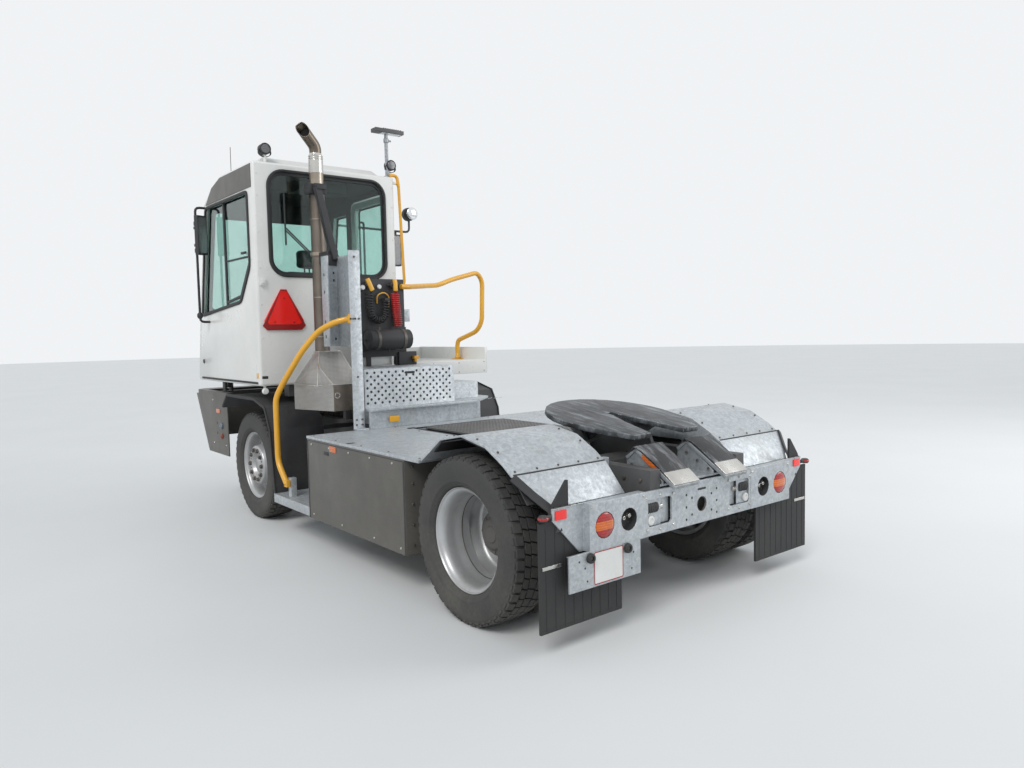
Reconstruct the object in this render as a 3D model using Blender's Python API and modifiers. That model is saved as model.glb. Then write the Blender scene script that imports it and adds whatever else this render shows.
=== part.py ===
# Terminal tractor: a yard vehicle with a half-width tilting cab at the front left, an open galvanised
# deck, a lifting coupling plate over the twin-wheeled rear axle, and a steered front axle.
# Vehicle frame: +X is the vehicle's left, +Y its rear, +Z up, zero on the ground under the rear axle.
from math import atan2, cos, hypot, pi, radians, sin

import bmesh
import bpy
from mathutils import Matrix, Vector

# General clearances
GAP = 0.0003
SINK = 0.004
OVERRUN = 0.03
RUN_GAP = 0.006
FINE_SEGMENTS = 28
ROUND_SEGMENTS = 16
PIN_SEGMENTS = 12

# Axles and wheels
WHEELBASE = 3.38
TYRE_R = 0.478
TYRE_W = 0.275
TYRE_TREAD_HALF = 0.1
TYRE_SHOULDER_DROP = 0.022
TYRE_WALL_R = 0.375
BEAD_SEAT_R = 0.2858
FLANGE_R = 0.2985
RIM_HALF = 0.108
FLANGE_T = 0.012
RIM_WALL = 0.012
TWIN_SPACING = 0.32
REAR_OUTER_X = 1.0775
FRONT_TYRE_X = 0.985
DISC_T = 0.014
HUB_R = 0.14
SPINDLE_R = 0.055
HUB_LENGTH = 0.12
FRONT_DISC_OUT = 0.075
FRONT_HUB_OUT = 0.115
REAR_DISC_X = 0.885
REAR_HUB_END_X = 1.02
REAR_HUB_R = 0.125
HAND_HOLE_R = 0.03
HAND_HOLES = 10
HAND_HOLE_CIRCLE_R = 0.215

# Chassis frame
RAIL_X = 0.39
RAIL_W = 0.08
RAIL_TOP = 0.86
RAIL_BOTTOM = 0.6
RAIL_FRONT_Y = -4.5
RAIL_REAR_Y = 0.69
CROSS_T = 0.08
CROSS_H = 0.16
CAB_BEAM_LEFT_X = 1.05
CAB_BEAM_RIGHT_X = 0.02
CAB_BEAM_TOP = 1.09
CAB_BEAM_H = 0.1
CAB_BEAM_T = 0.08
CAB_REST_Y = -2.97
CAB_REST_W = 0.1

# Front axle and steering
KINGPIN_X = 0.76
KINGPIN_R = 0.028
BEAM_H = 0.1
BEAM_T = 0.08
KNUCKLE_H = 0.17
KNUCKLE_LUG_H = 0.028
KNUCKLE_DEPTH = 0.09
KNUCKLE_ARM_LENGTH = 0.2
KNUCKLE_ARM_T = 0.03
SPRING_LENGTH = 1.1
SPRING_T = 0.04
SPRING_W = 0.07
DRUM_R = 0.19
DRUM_W = 0.05

# Rear axle
AXLE_R = 0.075
DIFF_R = 0.19
DIFF_W = 0.3
AXLE_SEAT_L = 0.24

# Deck and side lockers
DECK_T = 0.02
DECK_HALF = 1.205
DECK_FRONT_Y = -2.02
DECK_REAR_Y = -0.44
SLOT_HALF = 0.4
SLOT_FRONT_Y = -1.78
LOCKER_FRONT_Y = -2.0
LOCKER_REAR_Y = -0.6
LOCKER_BOTTOM = 0.262
LOCKER_INNER_X = 0.5
LOCKER_OUTER_X = 1.21

# Rear mudguards and flaps
GUARD_OUTER_X = 1.195
GUARD_INNER_X = 0.525
GUARD_T = 0.012
GUARD_FRONT_Y = -0.43
GUARD_LOW_Y = -0.31
GUARD_LOW_Z = 0.965
GUARD_RISE_Y = -0.22
GUARD_RISE_Z = 1.03
GUARD_CREST_Y = -0.005
GUARD_CREST_Z = 1.07
GUARD_FOLD_Y = 0.22
GUARD_FOLD_Z = 1.03
GUARD_EDGE_Y = 0.365
GUARD_EDGE_Z = 0.952
GUARD_BEND_Y = 0.44
GUARD_BEND_Z = 0.899
GUARD_END_Y = 0.585
GUARD_END_Z = 0.735
GUARD_END_OUTER_X = 1.065
GUARD_CHEEK_FRONT_Y = 0.12
FLAP_INNER_X = 0.62
FLAP_OUTER_X = 1.2
FLAP_T = 0.014
FLAP_BOTTOM = 0.13
FLAP_TOP = 0.69
FLAP_FIN_INNER_X = 1.003
FLAP_FIN_TOP_X = 1.015
FLAP_FIN_SIDE_X = 1.105
FLAP_FIN_FOOT_X = 1.14
FLAP_FIN_TOP = 0.884
FLAP_FIN_SIDE_Z = 0.775

# Rear bumper plate
REAR_PLATE_T = 0.014
REAR_PLATE_TOP = 0.752
REAR_PLATE_BOTTOM = 0.505
LAMP_BOX_INNER_X = 0.485
LAMP_BOX_OUTER_X = 0.91
LAMP_BOX_DEPTH = 0.055
BRACKET_OUTER_X = 1.12
BRACKET_LOW_X = 0.94
BRACKET_TOP_H = 0.06
POCKET_W = 0.2
POCKET_H = 0.15
POCKET_X = 0.365
COUPLING_HOLE_R = 0.045
COUPLING_HOLE_Z = 0.614
TAIL_LAMP_X = 0.8
TAIL_LAMP_R = 0.07
TAIL_LAMP_Z = 0.628
TAIL_LAMP_OUT = 0.014
TAIL_LAMP_DEPTH = 0.045
SOCKET_X = 0.618
SOCKET_R = 0.062
HOLDER_RIGHT_X = 0.53
HOLDER_LEFT_X = 1.055
HOLDER_BOTTOM = 0.32
HOLDER_T = 0.01

# Guide ramps behind the coupling plate
RAMP_INNER_X = 0.12
RAMP_OUTER_X = 0.335
RAMP_TOP_Y = 0.5
RAMP_TOP_Z = 0.955
RAMP_TIP_Y = 0.785
RAMP_TIP_Z = 0.772
RAMP_T = 0.022
RAMP_WEB_T = 0.014
RAMP_FRONT_Z = 0.9

# Lifting boom and its cylinders
BOOM_HINGE_Y = -1.6
BOOM_HINGE_Z = 0.73
BOOM_HALF = 0.3
BOOM_COVER_HALF = 0.385
BOOM_COVER_T = 0.014
BOOM_COVER_Z = 0.902
BOOM_COVER_REAR_Y = -0.46
BOOM_WALL = 0.03
BOOM_EYE_R = 0.06
BOOM_PIN_R = 0.03
BOOM_LEAD = 0.04
BOOM_LOW_Z = 0.705
PLATE_PIVOT_Y = 0.0
PLATE_PIVOT_Z = 0.965
PLATE_EAR_R = 0.045
PLATE_PIN_R = 0.022
CYL_X = 0.19
CYL_BASE_Y = -1.1
CYL_BASE_Z = 0.4
CYL_TOP_Y = -1.0
CYL_TOP_Z = 0.8
CYL_R = 0.045
CYL_BORE_GAP = 0.001
CYL_BARREL_LENGTH = 0.345
CYL_EYE_R = 0.035
CYL_EYE_W = 0.054
CYL_PIN_R = 0.016
CYL_ROD_R = 0.025
CYL_ROD_IN = 0.327
CYL_NECK = 0.06
CYL_BORE_END = 0.015
CYL_EYE_SLACK = 0.006
CYL_LUG_T = 0.016
CYL_HANGER_Y = -1.27

# Coupling plate
FW_R = 0.457
FW_CENTRE_Y = 0.03
FW_CENTRE_Z = 1.085
FW_TILT = 8.7
FW_T = 0.03
FW_SIDE_Y = 0.17
FW_SIDE_X = 0.42
FW_HORN_Y = 0.43
FW_HORN_OUT_X = 0.29
FW_HORN_IN_X = 0.15
FW_THROAT_Y = -0.07
FW_THROAT_HALF = 0.028
FW_THROAT_MOUTH_Y = 0.16
FW_RIB_X = 0.25
FW_RIB_T = 0.05
FW_RIB_LENGTH = 0.3

# Bumper and front wings
BUMPER_TOP = 1.105
BUMPER_BOTTOM = 0.5
BUMPER_FRONT_Y = -4.83
BUMPER_LOW_FRONT_Y = -4.47
BUMPER_REAR_Y = -3.9
BUMPER_HALF = 1.155
BUMPER_WALL = 0.012
BUMPER_CORNER = 0.09
BUMPER_STAY_Y = -4.595
WING_OUTER_X = 1.2
WING_INNER_X = 0.72
WING_T = 0.016
WING_FRONT_Y = -3.89
WING_FRONT_Z = 0.985
WING_TOP_FRONT_Y = -3.76
WING_TOP_REAR_Y = -3.1
WING_TOP_Z = 1.1
WING_CORNER_Y = -2.86
WING_CORNER_Z = 1.04
WING_BEND_Y = -2.76
WING_BEND_Z = 0.86
WING_END_Y = -2.69
WING_END_Z = 0.3

# Engine and gearbox
ENGINE_HALF = 0.31
ENGINE_FRONT_Y = -4.05
ENGINE_REAR_Y = -2.95
ENGINE_BOTTOM = 0.58
ENGINE_TOP = 1.13
GEARBOX_HALF = 0.2
GEARBOX_REAR_Y = -2.1
GEARBOX_TOP = 0.84
SHAFT_R = 0.045
SHAFT_Z = 0.56

# Access steps, left step and right platform
STEP_LEFT_X = 0.68
STEP_RISER_RIGHT_X = -0.185
STEP_RISER_Y = -2.06
STEP_TOP_Z = 1.352
STEP_TREAD_Z = 1.04
STEP_TREAD_REAR_Y = -1.97
STEP_TREAD_RIGHT_X = -0.7
STEP_CORNER_X = -0.36
STEP_CORNER_Y = -2.26
STEP_FRONT_Y = -2.56
STEP_BAND_T = 0.02
STEP_SIDE_TOP = 1.185
STEP_SIDE_RIGHT_X = -0.57
STEP_SIDE_Y = -2.24
SIDE_STEP_TOP = 0.338
SIDE_STEP_H = 0.07
SIDE_STEP_INNER_X = 0.8
SIDE_STEP_POST_W = 0.05
SIDE_STEP_POST_Y = -2.48
SIDE_STEP_POST_TOP = 0.49
TRAY_LEFT_X = -0.15
TRAY_RIGHT_X = -1.15
TRAY_FRONT_Y = -4.1
TRAY_REAR_Y = -2.86
TRAY_BOTTOM = 1.217
TRAY_FLOOR = 1.35
TRAY_WALL_TOP = 1.477
TRAY_WALL_T = 0.03
TRAY_TOP_INSET = 0.005

# Exhaust stack, guard and column
STACK_X = 0.745
STACK_Y = -2.66
STACK_R = 0.062
STACK_WALL = 0.006
STACK_BOTTOM = 1.05
STACK_TOP = 3.03
COLLAR_R = 0.054
COLLAR_TOP = 3.15
ELBOW_R = 0.049
ELBOW_BEND_R = 0.1
ELBOW_BEND_Z = 3.2
MOUTH_X = 0.872
MOUTH_Y = -2.613
MOUTH_Z = 3.318
MOUTH_FACE = (0.58, 0.8, 0.12)
CLAMP_R = 0.072
CLAMP_H = 0.03
CLAMP_LOW_Z = 2.31
CLAMP_HIGH_Z = 2.85
COVER_FRONT_Y = -2.585
COVER_REAR_Y = -2.14
COVER_RIGHT_X = STEP_LEFT_X + GAP
COVER_LEFT_REAR_X = 0.91
COVER_LEFT_FRONT_X = 1.045
COVER_BOTTOM = 1.03
COVER_RIM_Z = 1.24
COVER_TOP_Z = 1.5
COVER_TOP_LEFT_X = 0.89
COVER_TOP_RIGHT_X = 0.7
COVER_TOP_FRONT_Y = -2.5
COVER_TOP_REAR_Y = -2.42
POST_LEFT_X = 0.795
POST_RIGHT_X = 0.7
POST_Y = -2.05
POST_T = 0.012
POST_TOP = 2.29
POST_FOOT_H = 0.012
CHANNEL_Y = -2.42
CHANNEL_D = 0.1
CHANNEL_LEFT_X = 0.84
CHANNEL_BOTTOM = 1.54
CHANNEL_TOP = 2.27
STAY_T = 0.025
STAY_W = 0.05

# Hose board, air tank and hoses
BOARD_LEFT_X = 0.43
BOARD_RIGHT_X = -0.02
BOARD_Y = -2.6
BOARD_T = 0.02
BOARD_TOP = 2.115
BOARD_BOTTOM = 1.4
TANK_R = 0.085
TANK_Z = 1.585
TANK_Y = -2.46
TANK_LEFT_X = 0.42
TANK_RIGHT_X = 0.02
COUPLER_R = 0.022
COUPLER_LENGTH = 0.08
COUPLER_Z = 2.06
COUPLER_LEFT_X = 0.35
COUPLER_RIGHT_X = 0.1
HOSE_R = 0.034

# Handrails
TUBE_R = 0.021
RAIL_BEND_R = 0.06
LEFT_RAIL_TOP = 1.757
LEFT_RAIL_BEND_Y = -2.12
LEFT_RAIL_REACH_Y = -2.635
LEFT_RAIL_FOOT_Z = 0.44
LEFT_RAIL_SHARES = (
    (0.211, 0.117, 0.017), (0.432, 0.35, 0.07), (0.653, 0.602, 0.195),
    (0.923, 0.932, 0.408), (1.012, 1, 0.484), (1.012, 1, 0.878),
)
RIGHT_RAIL_Z = 2.05
RIGHT_RAIL_TOP = 2.235
RIGHT_RAIL_CORNER_X = -1.17
RIGHT_RAIL_CORNER_Y = -2.94
RIGHT_RAIL_FOOT_X = -1.05
RIGHT_RAIL_FOOT_Y = -3.24
RIGHT_RAIL_UPPER_SHARES = (
    (0.052, 0.108, 0.027), (0.323, 0.58, 0.162), (0.449, 0.738, 0.216),
    (0.612, 0.816, 0.54), (0.937, 0.974, 1),
)
RIGHT_RAIL_LOWER_SHARES = (
    (0, 0, 0.096), (0.125, 0, 0.56), (0.417, 0.133, 0.672), (1, 0.933, 0.774), (1, 1, 0.83),
)

# Cab
CAB_LEFT_X = 1.21
CAB_RIGHT_X = -0.125
CAB_REAR_Y = -2.875
CAB_FRONT_Y = -4.52
CAB_BOTTOM = 1.215
CAB_WAIST_Y = -4.4
CAB_WAIST_Z = 1.84
CAB_BROW_Y = -4.13
CAB_BROW_Z = 2.89
CAB_CROWN_Y = -3.9
CAB_CROWN_Z = 3.02
ROOF_FRONT_Y = -3.66
ROOF_Z = 3.08
ROOF_CAP_H = 0.065
ROOF_CAP_INSET = 0.085
ROOF_CAP_REAR_Y = -2.965
ROOF_CAP_NOSE_Y = -3.92
CAB_WALL = 0.045
CAB_EDGE_R = 0.02
CAB_HINGE_Y = -4.45
CAB_HINGE_Z = 1.165
CAB_LUG_R = 0.045
CAB_LUG_T = 0.03
CAB_LUG_LEFT_X = 0.95
CAB_LUG_RIGHT_X = 0.14
CAB_PIN_R = 0.016
EAR_T = 0.02
EAR_R = 0.038
EAR_GAP = 0.006
REAR_PANE_LEFT_X = 1.085
REAR_PANE_RIGHT_X = -0.02
REAR_PANE_BOTTOM = 2.14
REAR_PANE_TOP = 3.02
REAR_PANE_R = 0.14
SIDE_PANE_REAR_Y = -3.0
SIDE_PANE_FRONT_Y = -4.3
SIDE_PANE_TOP = 2.84
SIDE_PANE_STEP_Z = 2.22
SIDE_PANE_LOW_Y = -3.24
SIDE_PANE_LOW_Z = 1.935
SIDE_PANE_NOSE_Z = 1.845
SIDE_PANE_BROW_Y = -4.07
SCREEN_SIDE = 0.06
SCREEN_LIFT = 0.05
SCREEN_DROP = 0.06
PANE_T = 0.006
DOOR_FRONT_Y = -3.66
DOOR_REAR_Y = -2.955
DOOR_BOTTOM = 1.38
DOOR_TOP = 2.94
DOOR_GAP = 0.006
DOOR_T = 0.04
DOOR_FRAME = 0.07
DOOR_PANE_BOTTOM = 2.0
DOOR_HINGE_R = 0.012
QUARTER_REAR_Y = -3.76
QUARTER_FRONT_Y = -4.22
QUARTER_BOTTOM = 1.95
QUARTER_TOP = 2.84
QUARTER_TOP_FRONT_Y = -4.04
PANE_SHARE = 0.999
DOOR_HINGE_X = CAB_RIGHT_X - DOOR_HINGE_R
DOOR_HINGE_Y = DOOR_FRONT_Y - DOOR_GAP / 2
DOOR_HINGE_H = 0.04
DOOR_HINGE_HEIGHTS = (1.65, 2.72)
POLE_Y = -2.905
POLE_OUT_X = -0.192
POLE_LOW_X = -0.227
POLE_TOP_Z = 3.03
POLE_LOW_Z = 2.085
POLE_R = 0.014

# Cab fittings
SEAT_X = 0.62
SEAT_Y = -3.3
SEAT_W = 0.5
SEAT_D = 0.48
SEAT_BASE_H = 0.34
SEAT_CUSHION_T = 0.12
SEAT_BACK_H = 0.62
SEAT_BACK_T = 0.12
SEAT_HEAD_H = 0.18
SEAT_HEAD_W = 0.26
DASH_DEPTH = 0.34
DASH_H = 0.55
DASH_FRONT_Y = -4.462
DASH_WAIST_Y = -4.345
COLUMN_LENGTH = 0.7
STEERING_HUB_T = 0.04
COLUMN_R = 0.03
WHEEL_CENTRE_Y = -3.83
WHEEL_CENTRE_Z = 2.02
STEERING_RING_R = 0.21
STEERING_TUBE_R = 0.016
STEERING_TILT = 35.0
TRIANGLE_X = 0.985
TRIANGLE_Z = 1.835
TRIANGLE_HALF = 0.2
TRIANGLE_H = 0.355
TRIANGLE_CORNER = 0.045
TRIANGLE_T = 0.01
MIRROR_X = 1.291
MIRROR_Y = -3.99
MIRROR_W = 0.1
MIRROR_D = 0.05
MIRROR_TURN = 20.0
MIRROR_ARM_Y = -4.1
MIRROR_TOP = 2.76
MIRROR_BOTTOM = 2.4
MIRROR_ARM_R = 0.012
MIRROR_ARM_X = 1.3
RIGHT_ARM_ROOT_Y = -4.08
MIRROR_ARM_TOP = 2.85
MIRROR_ARM_LOW = 1.78
RIGHT_MIRROR_X = -0.91
RIGHT_MIRROR_W = 0.1
RIGHT_MIRROR_D = 0.06
RIGHT_MIRROR_Y = -4.2
RIGHT_MIRROR_TOP = 2.74
RIGHT_MIRROR_BOTTOM = 2.39
RIGHT_ARM_Z = 2.78
ROUND_MIRROR_X = -1.09
ROUND_MIRROR_Z = 2.98
ROUND_MIRROR_R = 0.075
ROOF_LAMP_Y = -2.94
ROOF_LAMP_LEFT_X = 1.07
ROOF_LAMP_RIGHT_X = -0.13
ROOF_LAMP_LEAN = 0.04
ROOF_LAMP_Z = 3.195
ROOF_LAMP_R = 0.045
ROOF_LAMP_T = 0.05
MAST_X = -0.095
MAST_R = 0.014
MAST_TOP = 3.49
MAST_HEAD_LEFT_X = 0.034
MAST_HEAD_RIGHT_X = -0.26
MAST_HEAD_W = 0.09
MAST_HEAD_T = 0.03

# Root offset, which puts the origin at the middle of the model's footprint
MIRROR_OUT_X = MIRROR_X + MIRROR_W / 2 * cos(radians(MIRROR_TURN)) + MIRROR_D / 2 * sin(radians(MIRROR_TURN))
TYRE_OUT_X = REAR_OUTER_X + TYRE_W / 2
FOOTPRINT_X = (MIRROR_OUT_X - TYRE_OUT_X) / 2
FOOTPRINT_Y = (BUMPER_FRONT_Y + RAMP_TIP_Y) / 2

for old in list(bpy.data.objects):
    bpy.data.objects.remove(old, do_unlink=True)

parts = bpy.data.collections.new("terminal_tractor")
guides = bpy.data.collections.new("cutters")
bpy.context.scene.collection.children.link(parts)
bpy.context.scene.collection.children.link(guides)

PAINTS = {
    "galvanised": ((0.55, 0.58, 0.6), 0.45, 0.85),
    "cab_white": ((0.85, 0.85, 0.82), 0.3, 0.0),
    "panel_grey": ((0.1, 0.098, 0.09), 0.4, 0.1),
    "black_plastic": ((0.02, 0.02, 0.022), 0.55, 0.0),
    "rubber": ((0.018, 0.018, 0.018), 0.8, 0.0),
    "wheel_silver": ((0.6, 0.61, 0.62), 0.35, 0.8),
    "rail_yellow": ((0.8, 0.42, 0.02), 0.35, 0.0),
    "stainless": ((0.5, 0.47, 0.43), 0.35, 0.9),
    "glass": ((0.35, 0.5, 0.5), 0.05, 0.0),
    "frame_grey": ((0.12, 0.12, 0.12), 0.6, 0.2),
    "iron": ((0.08, 0.08, 0.08), 0.6, 0.6),
    "plate_steel": ((0.22, 0.23, 0.26), 0.5, 0.7),
    "lamp_red": ((0.6, 0.04, 0.02), 0.2, 0.0),
    "triangle_red": ((0.85, 0.04, 0.03), 0.4, 0.0),
    "hose_red": ((0.7, 0.03, 0.03), 0.35, 0.0),
    "hose_black": ((0.02, 0.02, 0.02), 0.4, 0.0),
    "seat_cloth": ((0.05, 0.05, 0.055), 0.9, 0.0),
    "chrome_rod": ((0.75, 0.76, 0.78), 0.12, 1.0),
}

SIDE = Matrix(((0, 0, 1), (1, 0, 0), (0, 1, 0))).to_4x4()
REAR = Matrix(((1, 0, 0), (0, 0, -1), (0, 1, 0))).to_4x4()
TOP = Matrix.Identity(4)


def body(name, place, carrier=None):
    empty = bpy.data.objects.new(name, None)
    empty.empty_display_size = TYRE_W
    parts.objects.link(empty)
    empty["place"] = place
    if carrier is None:
        empty.location = place
    else:
        empty.parent = carrier
        empty.location = Vector(place) - Vector(carrier["place"])
    return empty


def add(name, mesh, matrix, carrier):
    piece = bpy.data.objects.new(name, mesh)
    parts.objects.link(piece)
    piece.parent = carrier
    piece.matrix_local = Matrix.Translation(-Vector(carrier["place"])) @ matrix
    return piece


def block(name, carrier, low, high, turn=None):
    """A box between two corners, turned about its own middle if asked."""
    size = [b - a for a, b in zip(low, high)]
    middle = [(a + b) / 2 for a, b in zip(low, high)]
    mesh = bpy.data.meshes.new(name)
    shape = bmesh.new()
    bmesh.ops.create_cube(shape, size=1, matrix=Matrix.Diagonal((*size, 1)))
    shape.to_mesh(mesh)
    shape.free()
    matrix = Matrix.Translation(middle)
    if turn is not None:
        matrix = matrix @ turn
    return add(name, mesh, matrix, carrier)


def bar(name, carrier, start, end, radius, segments=PIN_SEGMENTS, end_radius=None):
    """A round bar, or a cone, from one point to another."""
    start, end = Vector(start), Vector(end)
    along = end - start
    mesh = bpy.data.meshes.new(name)
    shape = bmesh.new()
    bmesh.ops.create_cone(
        shape,
        cap_ends=True,
        segments=segments,
        radius1=radius,
        radius2=radius if end_radius is None else end_radius,
        depth=along.length,
    )
    shape.to_mesh(mesh)
    shape.free()
    matrix = Matrix.Translation((start + end) / 2) @ along.to_track_quat("Z", "Y").to_matrix().to_4x4()
    return add(name, mesh, matrix, carrier)


def flat_bar(name, carrier, start, end, width, thickness, across=(1, 0, 0)):
    """A flat bar from one point to another, its width along the direction given."""
    start, end = Vector(start), Vector(end)
    along = end - start
    z = along.normalized()
    x = (Vector(across) - z * z.dot(Vector(across))).normalized()
    y = z.cross(x)
    turn = Matrix((x, y, z)).transposed().to_4x4()
    mesh = bpy.data.meshes.new(name)
    shape = bmesh.new()
    bmesh.ops.create_cube(shape, size=1, matrix=Matrix.Diagonal((width, thickness, along.length, 1)))
    shape.to_mesh(mesh)
    shape.free()
    return add(name, mesh, Matrix.Translation((start + end) / 2) @ turn, carrier)


def meshed(curve_object, name, carrier, matrix):
    """The curve's solid as a plain welded mesh."""
    bpy.context.view_layer.update()
    graph = bpy.context.evaluated_depsgraph_get()
    mesh = bpy.data.meshes.new_from_object(curve_object.evaluated_get(graph))
    shape = bmesh.new()
    shape.from_mesh(mesh)
    bmesh.ops.remove_doubles(shape, verts=shape.verts, dist=GAP / 10)
    shape.to_mesh(mesh)
    shape.free()
    bpy.data.objects.remove(curve_object, do_unlink=True)
    return add(name, mesh, matrix, carrier)


def plate(name, carrier, outline, face, place, thickness, holes=()):
    """A flat plate from its outline, centred on the plane through the place."""
    curve = bpy.data.curves.new(name, "CURVE")
    curve.dimensions = "2D"
    curve.fill_mode = "BOTH"
    curve.extrude = thickness / 2
    for ring in (outline, *holes):
        spline = curve.splines.new("POLY")
        spline.points.add(len(ring) - 1)
        for point, (u, v) in zip(spline.points, ring):
            point.co = (u, v, 0, 1)
        spline.use_cyclic_u = True
    drawn = bpy.data.objects.new(name, curve)
    guides.objects.link(drawn)
    return meshed(drawn, name, carrier, Matrix.Translation(place) @ face)


def tube(name, carrier, route, radius, sides=2):
    """A round tube or rail through the points of its route."""
    curve = bpy.data.curves.new(name, "CURVE")
    curve.dimensions = "3D"
    curve.bevel_depth = radius
    curve.bevel_resolution = sides
    curve.use_fill_caps = True
    curve.twist_mode = "MINIMUM"
    spline = curve.splines.new("POLY")
    spline.points.add(len(route) - 1)
    for point, place in zip(spline.points, route):
        point.co = (*place, 1)
    drawn = bpy.data.objects.new(name, curve)
    guides.objects.link(drawn)
    return meshed(drawn, name, carrier, Matrix.Identity(4))


def rounded(route, radius, steps=3):
    """The route with each inner corner replaced by an arc of points."""
    points = [Vector(p) for p in route]
    result = [points[0]]
    for before, corner, after in zip(points, points[1:], points[2:]):
        a, b = (before - corner), (after - corner)
        reach = min(radius, a.length * 0.45, b.length * 0.45)
        start, end = corner + a.normalized() * reach, corner + b.normalized() * reach
        for i in range(steps + 1):
            t = i / steps
            result.append(start * (1 - t) ** 2 + corner * 2 * t * (1 - t) + end * t ** 2)
    result.append(points[-1])
    return [tuple(p) for p in result]


def ring_points(cx, cy, radius, count, start=0.0):
    return [
        (cx + radius * cos(start + 2 * pi * i / count), cy + radius * sin(start + 2 * pi * i / count))
        for i in range(count)
    ]


def rounded_rectangle(x0, x1, y0, y1, radius, steps=4):
    corners = (
        (x1 - radius, y1 - radius, 0),
        (x0 + radius, y1 - radius, pi / 2),
        (x0 + radius, y0 + radius, pi),
        (x1 - radius, y0 + radius, 3 * pi / 2),
    )
    return [
        (cx + radius * cos(a + pi / 2 * i / steps), cy + radius * sin(a + pi / 2 * i / steps))
        for cx, cy, a in corners
        for i in range(steps + 1)
    ]


def strip(points, thickness):
    """The closed outline of a sheet of even thickness under an open line of points."""
    inner = []
    for i, (u, v) in enumerate(points):
        u0, v0 = points[max(i - 1, 0)]
        u1, v1 = points[min(i + 1, len(points) - 1)]
        length = hypot(u1 - u0, v1 - v0)
        inner.append((u + (v1 - v0) / length * thickness, v - (u1 - u0) / length * thickness))
    return list(points) + inner[::-1]


def turned(name, carrier, profile, place, segments=FINE_SEGMENTS, closed=False, flip=False):
    """A solid of revolution about the X axis through the place: profile points are (radius, along)."""
    mesh = bpy.data.meshes.new(name)
    shape = bmesh.new()
    verts = [shape.verts.new((r, 0, a)) for r, a in profile]
    pairs = list(zip(verts, verts[1:]))
    if closed:
        pairs.append((verts[-1], verts[0]))
    for a, b in pairs:
        shape.edges.new((a, b))
    shape.to_mesh(mesh)
    shape.free()
    turn = Matrix.Rotation(-pi / 2 if flip else pi / 2, 4, "Y")
    piece = add(name, mesh, Matrix.Translation(place) @ turn, carrier)
    screw = piece.modifiers.new("Turned", "SCREW")
    screw.steps = segments
    screw.render_steps = segments
    screw.use_merge_vertices = True
    screw.merge_threshold = 0.00001
    screw.use_normal_calculate = True
    return piece


def retire(piece):
    """A helper piece that only joins or cuts another one."""
    for collection in list(piece.users_collection):
        collection.objects.unlink(piece)
    guides.objects.link(piece)
    piece.hide_render = True
    piece.display_type = "WIRE"


def joined(base, others):
    for other in others:
        join = base.modifiers.new("Join", "BOOLEAN")
        join.operation = "UNION"
        join.solver = "EXACT"
        join.object = other
        retire(other)
    return base


def cut(base, cutters):
    for cutter in cutters:
        trim = base.modifiers.new("Cut", "BOOLEAN")
        trim.operation = "DIFFERENCE"
        trim.solver = "EXACT"
        trim.object = cutter
        retire(cutter)
    return base


def share_of(base, others):
    """The volume that the base and each of the others have in common."""
    for other in others:
        share = base.modifiers.new("Share", "BOOLEAN")
        share.operation = "INTERSECT"
        share.solver = "EXACT"
        share.object = other
        retire(other)
    return base


def paint(piece, look):
    colour, roughness, metallic = PAINTS[look]
    material = bpy.data.materials.new(piece.name)
    material.use_nodes = True
    shader = material.node_tree.nodes["Principled BSDF"]
    shader.inputs["Base Color"].default_value = (*colour, 1)
    shader.inputs["Roughness"].default_value = roughness
    shader.inputs["Metallic"].default_value = metallic
    material.diffuse_color = (*colour, 1)
    piece.data.materials.clear()
    piece.data.materials.append(material)
    return piece


root = body("tractor_root", (FOOTPRINT_X, FOOTPRINT_Y, 0))
root.location = (0, 0, 0)


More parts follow.
